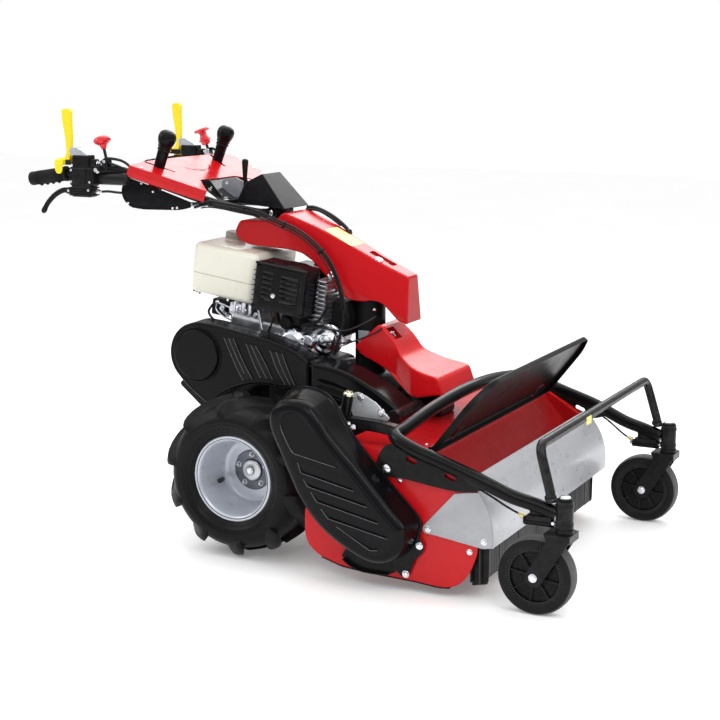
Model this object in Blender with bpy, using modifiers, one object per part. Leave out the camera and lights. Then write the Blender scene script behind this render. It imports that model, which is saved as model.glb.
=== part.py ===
"""Walk-behind hammer knife (flail) mower, built as separate pieces.

Machine axes: +X forward, +Y to the machine's left, +Z up, with the rear
axle above x = 0 and the ground at z = 0.  Every piece hangs under the
'machine' empty, which shifts those axes so that the whole machine stands
centred on the world origin.
"""
import math

import bmesh
import bpy
from mathutils import Matrix, Vector

# ---------------------------------------------------------------- dimensions
ORIGIN_X = -0.1383          # shift that centres the machine's box along X
ORIGIN_Y = 0.0220           # shift that centres the machine's box along Y
GAP = 0.0003                # running gap between pieces that touch

AXLE_Z = 0.226              # rear axle height = tyre radius (18 inch tyre)
TYRE_R = 0.226
TRACK_Y = 0.322             # rear wheel centre plane
RIM_R = 0.119               # 8 inch rim, over the flange

CASTER_R = 0.100            # 200 mm caster wheels
CASTER_Y = 0.461
CASTER_X = 0.909
SWIVEL_X = 0.977

DECK_Y = 0.455              # outer face of the deck's side plates
ROTOR_X, ROTOR_Z = 0.500, 0.182
DRIVE_X, DRIVE_Z = 0.288, 0.428      # upper pulley of the deck drive
FRAME_X, FRAME_Z = 0.496, 0.325      # caster frame pivot bolts
FLAP_X, FLAP_Z = 0.6086, 0.1767      # front flap pivot bolts
LID_X, LID_Z = 0.5965, 0.3790        # lid hinge line

CRANK_X, CRANK_Z = -0.030, 0.5450     # engine crankshaft
INPUT_X, INPUT_Z = -0.2065, 0.5295   # gearbox input pulley
ENGINE_TILT = math.radians(8.0)      # engine leans forward with its bed
TILT_X, TILT_Z = -0.050, 0.5165

BAR_X, BAR_Z = -0.070, 0.924         # handlebar height pivot
PANEL_X, PANEL_Z = -0.407, 1.064     # rear edge of the control panel
PANEL_SLOPE = math.atan(0.3957)

# ------------------------------------------------------------------- scene
for ob in list(bpy.data.objects):
    bpy.data.objects.remove(ob, do_unlink=True)

parts = bpy.data.collections.new("hammer_knife_mower")
cutters = bpy.data.collections.new("cutters")
bpy.context.scene.collection.children.link(parts)
bpy.context.scene.collection.children.link(cutters)


def empty(name, location=(0, 0, 0), rotation=(0, 0, 0), parent=None):
    ob = bpy.data.objects.new(name, None)
    ob.location = location
    ob.rotation_euler = rotation
    ob.parent = parent
    parts.objects.link(ob)
    return ob


machine = empty("machine", (ORIGIN_X, ORIGIN_Y, 0))
_tilt = Matrix.Rotation(ENGINE_TILT, 4, 'Y')
_tp = Vector((TILT_X, 0, TILT_Z))
engine_mount = empty("engine_mount", _tp - _tilt @ _tp, (0, ENGINE_TILT, 0), machine)

MATS = {}


def material(name, rgb, rough, metal=0.0):
    m = bpy.data.materials.new(name)
    m.use_nodes = True
    b = m.node_tree.nodes["Principled BSDF"]
    b.inputs["Base Color"].default_value = (*rgb, 1)
    b.inputs["Roughness"].default_value = rough
    b.inputs["Metallic"].default_value = metal
    MATS[name] = m
    return m


material("red_paint", (0.58, 0.015, 0.018), 0.28)
material("black_paint", (0.018, 0.018, 0.019), 0.32)
material("black_plastic", (0.022, 0.022, 0.023), 0.45)
material("rubber", (0.02, 0.02, 0.02), 0.8)
material("tyre_rubber", (0.018, 0.018, 0.018), 0.85)
material("rim_paint", (0.42, 0.44, 0.47), 0.35, 0.4)
material("cast_aluminium", (0.55, 0.56, 0.57), 0.4, 0.9)
material("steel", (0.55, 0.55, 0.56), 0.35, 1.0)
material("galvanised", (0.60, 0.61, 0.63), 0.42, 0.9)
material("tank_cream", (0.78, 0.77, 0.66), 0.4)
material("yellow_plastic", (0.85, 0.68, 0.02), 0.4)
material("red_plastic", (0.65, 0.03, 0.03), 0.35)
material("cast_black", (0.02, 0.02, 0.02), 0.5)


# ------------------------------------------------------------------ helpers
def link(ob, name):
    ob.name = name
    ob.data.name = name
    if ob.name not in parts.objects:
        for c in list(ob.users_collection):
            c.objects.unlink(ob)
        parts.objects.link(ob)
    return ob


def mesh_object(me, name="tmp"):
    ob = bpy.data.objects.new(name, me)
    parts.objects.link(ob)
    return ob


def weld(me, dist=1e-6):
    bm = bmesh.new()
    bm.from_mesh(me)
    bmesh.ops.remove_doubles(bm, verts=bm.verts, dist=dist)
    bmesh.ops.recalc_face_normals(bm, faces=bm.faces)
    bm.to_mesh(me)
    bm.free()


def settled(ob, name="tmp"):
    """Turn an object (curve or mesh with modifiers) into a plain mesh object
    in machine axes and remove the original."""
    bpy.context.view_layer.update()
    dg = bpy.context.evaluated_depsgraph_get()
    me = bpy.data.meshes.new_from_object(ob.evaluated_get(dg))
    me.transform(ob.matrix_world)
    weld(me, 2e-6)
    bpy.data.objects.remove(ob, do_unlink=True)
    return mesh_object(me, name)


def box(x, y, z, bevel=0.0, segments=1):
    bm = bmesh.new()
    bmesh.ops.create_cube(bm, size=1.0)
    for v in bm.verts:
        v.co = Vector((x[0] + (v.co.x + .5) * (x[1] - x[0]),
                       y[0] + (v.co.y + .5) * (y[1] - y[0]),
                       z[0] + (v.co.z + .5) * (z[1] - z[0])))
    me = bpy.data.meshes.new("box")
    bm.to_mesh(me)
    bm.free()
    ob = mesh_object(me)
    if bevel:
        rounded(ob, bevel, segments)
        ob = settled(ob)
    return ob


def rounded(ob, width, segments=1, angle=40):
    m = ob.modifiers.new("round", 'BEVEL')
    m.width = width
    m.segments = segments
    m.limit_method = 'ANGLE'
    m.angle_limit = math.radians(angle)
    m.use_clamp_overlap = True
    return ob


def outline(loops, lo, hi, axis='Y'):
    """Flat outline(s) extruded between two planes.  axis Y: loops are (x, z);
    axis Z: (x, y); axis X: (y, z)."""
    cu = bpy.data.curves.new("outline", 'CURVE')
    cu.dimensions = '2D'
    cu.fill_mode = 'BOTH'
    cu.extrude = abs(hi - lo) / 2
    for pts in loops:
        sp = cu.splines.new('POLY')
        sp.points.add(len(pts) - 1)
        for p, q in zip(sp.points, pts):
            p.co = (q[0], q[1], 0, 1)
        sp.use_cyclic_u = True
    ob = bpy.data.objects.new("outline", cu)
    parts.objects.link(ob)
    mid = (lo + hi) / 2
    if axis == 'Y':
        ob.matrix_world = Matrix(((1, 0, 0, 0), (0, 0, -1, mid), (0, 1, 0, 0), (0, 0, 0, 1)))
    elif axis == 'X':
        ob.matrix_world = Matrix(((0, 0, 1, mid), (1, 0, 0, 0), (0, 1, 0, 0), (0, 0, 0, 1)))
    else:
        ob.matrix_world = Matrix.Translation((0, 0, mid))
    return settled(ob)


def tube(pts, r, res=2):
    cu = bpy.data.curves.new("tube", 'CURVE')
    cu.dimensions = '3D'
    cu.bevel_depth = r
    cu.bevel_resolution = res
    cu.use_fill_caps = True
    sp = cu.splines.new('POLY')
    sp.points.add(len(pts) - 1)
    for p, q in zip(sp.points, pts):
        p.co = (*q, 1)
    ob = bpy.data.objects.new("tube", cu)
    parts.objects.link(ob)
    return settled(ob)


def bent(points, radius, n=4):
    """Polyline through the points with every inner corner rounded."""
    pts = [Vector(p) for p in points]
    out = [pts[0]]
    for a, b, c in zip(pts, pts[1:], pts[2:]):
        u, v = (a - b), (c - b)
        cut = min(radius, u.length * .45, v.length * .45)
        p, q = b + u.normalized() * cut, b + v.normalized() * cut
        for i in range(n + 1):
            t = i / n
            out.append((1 - t) ** 2 * p + 2 * t * (1 - t) * b + t * t * q)
    out.append(pts[-1])
    return out


def smooth_path(points, per=6):
    """Centripetal-like curve through the points."""
    P = [Vector(p) for p in points]
    P = [P[0] * 2 - P[1]] + P + [P[-1] * 2 - P[-2]]
    out = []
    for a, b, c, d in zip(P, P[1:], P[2:], P[3:]):
        for i in range(per):
            t = i / per
            out.append(0.5 * ((2 * b) + (c - a) * t + (2 * a - 5 * b + 4 * c - d) * t * t
                              + (3 * b - a - 3 * c + d) * t ** 3))
    out.append(P[-2])
    return out


def turned(profile, centre, axis, steps=24):
    """Profile of (radius, height), from the top down its outer side, turned
    about an axis through centre (height 0)."""
    bm = bmesh.new()
    vs = [bm.verts.new((max(r, 0.0), 0, h)) for r, h in profile]
    for a, b in zip(vs, vs[1:]):
        bm.edges.new((a, b))
    if profile[0][0] > 1e-9:
        bm.edges.new((vs[-1], vs[0]))
    me = bpy.data.meshes.new("profile")
    bm.to_mesh(me)
    bm.free()
    ob = mesh_object(me)
    m = ob.modifiers.new("turn", 'SCREW')
    m.axis = 'Z'
    m.angle = 2 * math.pi
    m.steps = steps
    m.render_steps = steps
    m.use_merge_vertices = True
    m.merge_threshold = 0.00001
    m.use_smooth_shade = True
    q = Vector((0, 0, 1)).rotation_difference(Vector(axis).normalized())
    if Vector(axis).normalized().dot(Vector((0, 0, 1))) < -0.9999:
        q = Matrix.Rotation(math.pi, 3, 'X').to_quaternion()
    ob.matrix_world = Matrix.Translation(centre) @ q.to_matrix().to_4x4()
    return settled(ob)


def rod(a, b, r, steps=12):
    a, b = Vector(a), Vector(b)
    h = (b - a).length
    return turned([(0, h), (r, h), (r, 0), (0, 0)], a, b - a, steps)


def boolean(ob, other, op='DIFFERENCE'):
    m = ob.modifiers.new(op.lower(), 'BOOLEAN')
    m.operation = op
    m.solver = 'EXACT'
    m.object = other
    ob = settled(ob)
    bpy.data.objects.remove(other, do_unlink=True)
    return ob


def cut(ob, *others):
    for o in others:
        ob = boolean(ob, o, 'DIFFERENCE')
    return ob


def join(ob, *others):
    for o in others:
        ob = boolean(ob, o, 'UNION')
    return ob


def cleaned(ob, dist=2e-5, angle=0.0):
    bm = bmesh.new()
    bm.from_mesh(ob.data)
    bmesh.ops.remove_doubles(bm, verts=bm.verts, dist=dist)
    bmesh.ops.dissolve_degenerate(bm, edges=bm.edges, dist=dist)
    if angle:
        bmesh.ops.dissolve_limit(bm, angle_limit=math.radians(angle), verts=bm.verts, edges=bm.edges)
    bmesh.ops.triangulate(bm, faces=[f for f in bm.faces if len(f.verts) > 4])
    bmesh.ops.recalc_face_normals(bm, faces=bm.faces)
    bm.to_mesh(ob.data)
    bm.free()
    return ob


def piece(ob, name, mat, pivot=(0, 0, 0), parent=None):
    """Name the piece, put its origin on its pivot and hang it on the machine."""
    ob = link(ob, name)
    p = Vector(pivot)
    ob.data.transform(Matrix.Translation(-p))
    ob.parent = parent or machine
    ob.matrix_parent_inverse = Matrix.Identity(4)
    ob.location = p
    ob.data.materials.clear()
    ob.data.materials.append(MATS[mat])
    ob.data.shade_smooth()
    ob.data.set_sharp_from_angle(angle=math.radians(32))
    return ob


def inset(pts, d):
    """Move every side of a polygon inwards by d (a number, or one per side;
    side i runs from point i to i+1)."""
    n = len(pts)
    area = sum(pts[i][0] * pts[(i + 1) % n][1] - pts[(i + 1) % n][0] * pts[i][1] for i in range(n))
    s = 1 if area > 0 else -1
    ds = [d] * n if isinstance(d, (int, float)) else list(d)
    lines = []
    for i in range(n):
        (x0, y0), (x1, y1) = pts[i], pts[(i + 1) % n]
        dx, dy = x1 - x0, y1 - y0
        k = math.hypot(dx, dy)
        nx, ny = -dy / k * s, dx / k * s
        lines.append((x0 + nx * ds[i], y0 + ny * ds[i], dx / k, dy / k))
    out = []
    for i in range(n):
        x0, y0, ax, ay = lines[i - 1]
        x1, y1, bx, by = lines[i]
        det = ax * by - ay * bx
        if abs(det) < 1e-6:
            out.append((x1, y1))
        else:
            t = ((x1 - x0) * by - (y1 - y0) * bx) / det
            out.append((x0 + ax * t, y0 + ay * t))
    return out


def arc(cx, cz, r, a0, a1, n):
    return [(cx + r * math.cos(math.radians(a0 + (a1 - a0) * i / n)),
             cz + r * math.sin(math.radians(a0 + (a1 - a0) * i / n))) for i in range(n + 1)]


def ring(cx, cz, r, n=32):
    return arc(cx, cz, r, 0, 360 * (n - 1) / n, n - 1)


def belt_loop(c1, r1, c2, r2, n=10):
    """Outline of an open belt round two pulleys."""
    d = math.hypot(c2[0] - c1[0], c2[1] - c1[1])
    base = math.degrees(math.atan2(c2[1] - c1[1], c2[0] - c1[0]))
    k = math.degrees(math.acos((r1 - r2) / d))
    return (arc(*c1, r1, base + k, base + 360 - k, n) +
            arc(*c2, r2, base - k, base + k, n))


def shape_y(ob, fn):
    """Change the width of a piece along Y: fn(x, z) gives the scale."""
    for v in ob.data.vertices:
        v.co.y *= fn(v.co.x, v.co.z)
    return ob


def ramp(x, table):
    if x <= table[0][0]:
        return table[0][1]
    for (a, p), (b, q) in zip(table, table[1:]):
        if x <= b:
            return p + (q - p) * (x - a) / (b - a)
    return table[-1][1]


SIDES = (("right", -1), ("left", 1))
WHEEL_STEPS = 24

# =============================================================== rear wheels
for side, s in SIDES:
    hub_c = (0, 0, AXLE_Z)
    out = (0, s, 0)
    hub = turned([(0, .3165), (.0120, .3165), (.0130, .3065), (.0305, .3060),
                  (.0305, .2904), (.0480, .2904), (.0480, .2805),
                  (.0180, .2750), (.0180, .1400), (0, .1400)], hub_c, out, 14)
    piece(hub, f"axle_hub_{side}", "steel", hub_c)

    rim = turned([(.1190, .4110), (.1190, .4070), (.1045, .4040),
                  (.1005, .3700), (.0900, .3560), (.0900, .3120), (.1005, .2960),
                  (.1045, .2400), (.1190, .2370), (.1190, .2330),
                  (.1020, .2350), (.0965, .2907), (.0311, .2907),
                  (.0311, .2957), (.0850, .2957), (.0868, .3560),
                  (.0972, .3710), (.1020, .4070)],
                 hub_c, out, WHEEL_STEPS)
    piece(rim, f"rim_{side}", "rim_paint", hub_c)

    tyre = turned([(.1225, .4150), (.1400, .4320), (.1750, .4400), (.2080, .4300),
                   (TYRE_R, .3650), (TYRE_R, .2790), (.2080, .2140),
                   (.1750, .2040), (.1400, .2120), (.1225, .2290),
                   (.1200, .2373), (.1060, .2403), (.1042, .2600), (.1700, .2180),
                   (.2110, .2650), (.2110, .3790), (.1700, .4260),
                   (.1042, .3840), (.1060, .4038), (.1200, .4068)],
                  hub_c, out, WHEEL_STEPS)
    piece(tyre, f"tyre_{side}", "tyre_rubber", hub_c)

# ================================================================ main frame
gear = outline([[(-.130, .170), (-.085, .140), (.080, .140), (.150, .190), (.225, .230),
                 (.270, .320), (.300, .379), (.335, .385), (.335, .440), (.285, .480), (.150, .475), (.090, .4800),
                 (.090, .4965), (-.190, .5358), (-.235, .5300), (-.215, .490), (-.150, .400)]],
               -.060, .060)
bed = outline([[(.090, .4805), (.090, .4960), (-.1900, .5353), (-.1900, .5190)]], -.130, .130)
frame = join(gear, bed,
             rod((0, -.186, AXLE_Z), (0, .186, AXLE_Z), .045, 16),
             rod((.30, 0, .415), (.3712, 0, .415), .035, 16),
             rod((.2225, 0, .450), (.2225, 0, .742), .0435, 16),
             outline([[(.195, .700), (.262, .705), (.262, .735), (-.040, .892), (-.100, .876),
                       (-.100, .858), (-.055, .850)]], -.026, .026),
             rod((INPUT_X, -.165, INPUT_Z), (INPUT_X, -.050, INPUT_Z), .030, 20))
frame = cut(frame, rod((INPUT_X, -.170, INPUT_Z), (INPUT_X, -.110, INPUT_Z), .0127, 18),
            rod((0, -.200, AXLE_Z), (0, -.1390, AXLE_Z), .0185, 14),
            rod((0, .200, AXLE_Z), (0, .1390, AXLE_Z), .0185, 14))
piece(cleaned(frame), "main_frame", "cast_black")

# ==================================================================== engine
B0 = TILT_Z + GAP
block = box((-.175, .050), (-.148, .1302), (B0, .625), .012, 1)
cyl = outline([[(.00, .555), (.075, .570), (.0750, .700), (-.02, .640)]], -.076, .024)
block = join(block, cyl,
             box((-.170, -.145), (-.060, .060), (.600, .6545), .003),
             box((-.200, -.170), (-.060, .060), (.560, .6545), .003))
# crankshaft bore, parallel to Y at the true crank place
cp = _tilt.inverted() @ (Vector((CRANK_X, 0, CRANK_Z)) - (_tp - _tilt @ _tp))
block = cut(block, rod((cp.x, -.16, cp.z), (cp.x, -.098, cp.z), .0133, 18))
piece(cleaned(block), "engine_block", "cast_aluminium", parent=engine_mount)

# cylinder head: vertical fins towards the near side, rocker cover in front
x0, x1, nf = .0755, .1085, 5
pitch = (x1 - x0) / nf
slots = []
for i in range(nf):
    a = x0 + pitch * (i + .55)
    b = x0 + pitch * (i + 1) - (.0025 if i == nf - 1 else 0)
    slots.append([(a, -.130), (b, -.130), (b, -.083), (a, -.083)])
head = box((x0, x1), (-.118, -.078), (.625, .772))
head = cut(head, outline(slots, .600, .800, axis='Z'))
head = join(head, box((.0760, .1090), (-.0800, .0240), (.570, .658)),
            box((.0755, .1480), (-.124, .0240), (.568, .655), .018, 2))
piece(cleaned(head), "cylinder_head", "cast_aluminium", parent=engine_mount)

tank = box((-.330, -.110), (-.132, .118), (.6550, .8030), .030, 3)
piece(tank, "fuel_tank", "tank_cream", parent=engine_mount)
CAP = (-.275, .020, .8033)
cap = turned([(0, .022), (.026, .022), (.030, .018), (.030, 0), (0, 0)], CAP, (0, 0, 1), 24)
piece(cap, "fuel_cap", "black_plastic", CAP, engine_mount)

muffler = box((-.0820, .0560), (-.160, -.085), (.6800, .7880), .018, 1)
piece(muffler, "muffler", "steel", parent=engine_mount)
guard = box((-.0960, .0700), (-.1700, -.0800), (.6622, .8022), .003, 1)
guard = cut(guard, box((-.0930, .0670), (-.1670, -.0600), (.6400, .7990)))
piece(cleaned(guard), "muffler_guard", "black_paint", parent=engine_mount)

cleaner = box((-.0900, .0500), (.0350, .1290), (.6800, .7680), .016, 1)
piece(cleaner, "air_cleaner", "black_plastic", parent=engine_mount)

REC = (-.056, .1306, .6000)
recoil = turned([(0, .066), (.040, .066), (.075, .060), (.098, .046), (.112, .030), (.118, 0), (0, 0)],
                REC, (0, 1, 0), 24)
recoil = join(recoil, rod((.020, .170, .655), (.020, .207, .655), .012, 12))
piece(cleaned(recoil), "recoil_starter", "black_plastic", parent=engine_mount)

CR = (CRANK_X, 0, CRANK_Z)
crank = turned([(0, .243), (.0115, .243), (.0127, .241), (.0127, .103), (0, .103)],
               CR, (0, -1, 0), 18)
piece(crank, "crankshaft", "steel", CR)
pulley = turned([(.045, .221), (.045, .2153), (.033, .2153), (.033, .1987), (.045, .1987),
                 (.045, .193), (.0130, .193), (.0130, .221)], CR, (0, -1, 0), 18)
piece(pulley, "engine_pulley", "steel", CR)
IP = (INPUT_X, 0, INPUT_Z)
pulley = turned([(0, .221), (.068, .221), (.068, .2153), (.056, .2153), (.056, .1987), (.068, .1987),
                 (.068, .193), (.022, .193), (.022, .170), (.0123, .170), (.0123, .112), (0, .112)],
                IP, (0, -1, 0), 18)
piece(pulley, "input_pulley", "steel", IP)
c1, c2 = (CRANK_X, CRANK_Z), (INPUT_X, INPUT_Z)
belt = outline([belt_loop(c1, .0425, c2, .0655), belt_loop(c1, .0348, c2, .0580)], -.2145, -.1995)
piece(cleaned(belt), "drive_belt", "rubber")

# ============================================================== belt casings
case = ([(-.245, .607)] + arc(INPUT_X, INPUT_Z, .0925, 135, 215, 6) +
        [(-.2450, .4350), (-.1760, .3870), (-.1150, .4290), (-.0600, .4520), (-.0070, .4620), (.0500, .4600),
         (.0890, .4560), (.1480, .4500), (.1500, .5400), (.0980, .5700), (.0265, .5900), (-.0796, .6080),
         (-.1650, .6230), (-.2150, .6250)])
case = [p for p in case[1:]]
casing = outline([case], -.2500, -.1720)
rounded(casing, .010, 2, 60)
casing = settled(casing)
casing = cut(casing, outline([inset(case, .004)], -.2460, -.1600))
cap_disc = turned([(0, .2580), (.066, .2580), (.071, .2550), (.071, .2480), (0, .2480)], IP, (0, -1, 0), 32)
casing = join(casing, cap_disc)
piece(cleaned(casing), "belt_casing", "black_plastic")

front = [(.1510, .5380), (.1620, .5340), (.2200, .5280), (.2700, .5150), (.3340, .4850), (.3850, .4560), (.4300, .4200),
         (.4370, .4080), (.4300, .3960), (.3600, .4130), (.3000, .4230), (.2300, .4370), (.1510, .4480)]
fcase = outline([front], -.2400, -.1400)
fcase = cut(fcase, outline([inset(front, .004)], -.2360, -.1300))
rounded(fcase, .0035, 1, 60)
fcase = settled(fcase)
piece(cleaned(fcase), "casing_front", "black_plastic")

# ====================================================================== hood
hood_pts = [(-.0200, .9290), (-.0480, .9050), (-.1750, .8980), (-.1936, .8632), (-.1818, .8427),
            (-.1410, .8273), (.0011, .8231), (.0400, .8140), (.0658, .7979), (.1080, .7560), (.1482, .7061),
            (.1813, .6868), (.2274, .6842), (.2506, .6900), (.2826, .6844), (.3309, .6366),
            (.3600, .6270), (.3560, .7600), (.2789, .7930), (.1779, .8430), (.0800, .8910)]
W_HOOD = 0.075


def hood_width(x, z):
    side = ramp(x, [(-.19, .055), (-.05, .070), (.0, .076), (.15, .062), (.36, .050)])
    top = ramp(x, [(-.20, .895), (-.05, .905), (-.02, .928), (.178, .842), (.279, .792), (.36, .757)])
    if z > top - .012:
        side -= ramp(x, [(-.05, .002), (.0, .002), (.15, .016), (.36, .016)])
    return side / W_HOOD


hood = outline([hood_pts], -W_HOOD, W_HOOD)
n_h = len(hood_pts)
# sides of the outline that stay open underneath: indices of the bottom run
open_sides = set(range(4, 15))
inner = inset(hood_pts, [-.030 if i in open_sides else .003 for i in range(n_h)])
shape_y(hood, hood_width)
rounded(hood, .006, 2, 50)
hood = settled(hood)
hollow = outline([inset(hood_pts, [.003] * n_h)], -W_HOOD + .004, W_HOOD - .004)


def hollow_width(x, z):
    return (hood_width(x, z) * W_HOOD - .003) / (W_HOOD - .004)


shape_y(hollow, hollow_width)
hood = cut(hood, hollow)
# the underside is open over the engine, the post and the front
hood = cut(hood,
           box((-.160, .020), (-.046, .046), (.810, .850)),
           outline([[(.020, .780), (.080, .760), (.150, .690), (.310, .600), (.310, .680), (.170, .740), (.060, .840), (.020, .850)]],
                   -.044, .044),
           rod((BAR_X, 0, .880), (BAR_X, 0, .920), .030, 16))
piece(cleaned(hood), "hood", "red_paint")

lc = [(.2895, .6214), (.2770, .6240), (.2015, .5573), (.2235, .5341), (.2967, .5026), (.3859, .4382),
      (.4162, .4337), (.4854, .4500), (.4985, .4470), (.4920, .4960), (.4061, .5138), (.3515, .5446),
      (.3362, .5766)]
W_LC = .116


def lc_width(x, z):
    return ramp(x, [(.2015, .064), (.29, .066), (.336, .070), (.40, .105), (.45, .116)]) / W_LC


lcov = outline([lc], -W_LC, W_LC)
shape_y(lcov, lc_width)
lcov = settled(rounded(lcov, .005, 2, 50))
inner = inset(lc, [.003, -.004, -.004, -.004, -.004, -.004, -.004, -.004, .003, .003, .003, .003, .003])
ihol = outline([inner], -W_LC, W_LC)
for v in ihol.data.vertices:
    v.co.y = math.copysign(lc_width(v.co.x, v.co.z) * W_LC - .003, v.co.y)
lcov = cut(lcov, ihol)
piece(cleaned(lcov), "lower_cover", "red_paint")

# ================================================================ handlebars
turret = rod((BAR_X, 0, .8925), (BAR_X, 0, .9150), .022, 14)
turret = join(turret, box((-.092, -.050), (-.022, .022), (.9125, .9440), .003),
              rod((BAR_X, -.060, BAR_Z), (BAR_X, .060, BAR_Z), .0080, 20),
              box((-.178, -.060), (-.052, .020), (.9415, .9465)),
              box((-.173, -.157), (-.0535, -.0505), (.9425, .9760)), box((-.173, -.157), (-.0295, -.0265), (.9425, .9760)))
turret = cut(turret, rod((-.165, -.060, .968), (-.165, -.020, .968), .0045))
piece(cleaned(turret), "turret", "black_paint", (BAR_X, 0, BAR_Z))

bm = bmesh.new()
for s in (-1, 1):
    for p in ((-.099, .053, 1.0345), (-.014, .074, .9370), (-.148, .070, 1.0080), (-.176, .072, .9490)):
        bm.verts.new((p[0], s * p[1], p[2]))
bmesh.ops.convex_hull(bm, input=bm.verts)
me = bpy.data.meshes.new("wedge")
bm.to_mesh(me)
bm.free()
wedge = settled(rounded(mesh_object(me), .004, 2, 25))
bm = bmesh.new()
for s in (-1, 1):
    for p in ((-.1015, .050, 1.0305), (-.022, .070, .9380), (-.145, .067, 1.0040), (-.190, .069, .9900),
              (-.190, .069, .9200), (-.022, .070, .9200)):
        bm.verts.new((p[0], s * p[1], p[2]))
bmesh.ops.convex_hull(bm, input=bm.verts)
me = bpy.data.meshes.new("wedge_in")
bm.to_mesh(me)
bm.free()
wedge = cut(wedge, mesh_object(me))
piece(cleaned(wedge), "console_cover", "black_plastic", (BAR_X, 0, BAR_Z))

TUBE = {}
hb = None
for side, s in SIDES:
    pts = [(BAR_X, s * .040, BAR_Z), (-.080, s * .068, .924), (-.110, s * .095, .929), (-.232, s * .146, .960),
           (-.400, s * .239, 1.031), (-.460, s * .2700, 1.048), (-.520, s * .285, 1.0465),
           (-.620, s * .292, 1.0325), (-.722, s * .299, 1.0170)]
    path = [Vector(p) for p in pts[:1]] + smooth_path(pts[1:], 2)
    TUBE[side] = path
    t = tube(path, .0125, 2)
    t = join(t, turned([(.0170, .0500), (.0170, .0280), (.0083, .0280), (.0083, .0500)][::1], (BAR_X, 0, BAR_Z),
                       (0, s, 0), 20))
    t = cut(t, rod((BAR_X, s * .02, BAR_Z), (BAR_X, s * .07, BAR_Z), .0083, 20))
    hb = t if hb is None else join(hb, t)
for s in (-1, 1):
    for k in (-1, 1):
        y0, y1 = sorted((s * (.2765 + k * .0095), s * (.2765 + k * .0125)))
        hb = join(hb, box((-.488, -.470), (y0, y1), (1.0480, 1.0790)))
    hb = cut(hb, rod((-.479, s * .255, 1.072), (-.479, s * .295, 1.072), .0045))
hb = join(hb, box((-.205, -.185), (-.130, .130), (.9480, .9560)),
          box((-.205, -.185), (-.126, .126), (.9400, .9600)))
piece(cleaned(hb), "handlebar_frame", "black_paint", (BAR_X, 0, BAR_Z))

# control panel: sloping sheet with a channel along each rail
cp_, sp_ = math.cos(PANEL_SLOPE), math.sin(PANEL_SLOPE)
panel_m = Matrix(((cp_, 0, sp_, PANEL_X), (0, 1, 0, 0), (-sp_, 0, cp_, PANEL_Z), (0, 0, 0, 1)))
plan = [(0, -.2720), (.2043, -.1655), (.1387, -.098), (.1387, .098), (.2043, .1655), (0, .2720), (-.012, .150),
        (-.014, 0), (-.012, -.150)]
panel = outline([plan], -.003, 0, axis='Z')
for s in (-1, 1):
    rail = outline([[(0, s * .2685), (.2043, s * .1615), (.2043, s * .1665), (0, s * .2735)]], -.034, 0, axis='Z')
    panel = join(panel, rail)
    # slot and the two ears of each shift lever
    d = Vector((.886, -s * .463, 0))
    a = Vector((s * .463, .886, 0))
    for k in (-1, 1):
        c = Vector((.0335, s * .1600, 0)) + a * (k * .0125)
        ear = outline([[tuple((c + d * i + a * j)[:2]) for i, j in ((-.016, -.0015), (.016, -.0015), (.016, .0015), (-.016, .0015))]],
                      -.098, -.001, axis='Z')
        panel = join(panel, ear)
    sl = outline([[tuple((Vector((.0335, s * .1600, 0)) + d * i + a * j)[:2])
                   for i, j in ((-.046, -.009), (.040, -.009), (.040, .009), (-.046, .009))]], -.006, .004, axis='Z')
    panel = cut(panel, sl)
    pv = Vector((.0335, s * .1600, -.088))
    panel = cut(panel, rod(pv - a * .03, pv + a * .03, .0064))
panel.data.transform(panel_m)
piece(cleaned(panel), "console_panel", "red_paint", (BAR_X, 0, BAR_Z))

for side, s in SIDES:
    d = Vector((.886, -s * .463, 0))
    a = Vector((s * .463, .886, 0))
    rot = panel_m.to_3x3()
    pv = panel_m @ Vector((.0335, s * .1600, -.088))
    ax = (rot @ a).normalized()
    top = Vector((-.343, s * .156, 1.158))
    up = (top - pv)
    up -= ax * up.dot(ax)
    up.normalize()
    L = (top - pv).length
    lever = turned([(0, L), (.013, L - .002), (.0225, L - .010), (.0238, L - .024), (.0165, L - .046),
                    (.0150, L - .060), (.0138, L - .098),
                    (.0050, L - .102), (.0050, .0), (0, 0)], pv, up, 12)
    lever = join(lever, rod(pv - ax * .0145, pv + ax * .0145, .0060), rod(pv - ax * .0105, pv + ax * .0105, .0100))
    piece(cleaned(lever), f"shift_lever_{side}", "black_plastic", tuple(pv))

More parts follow.
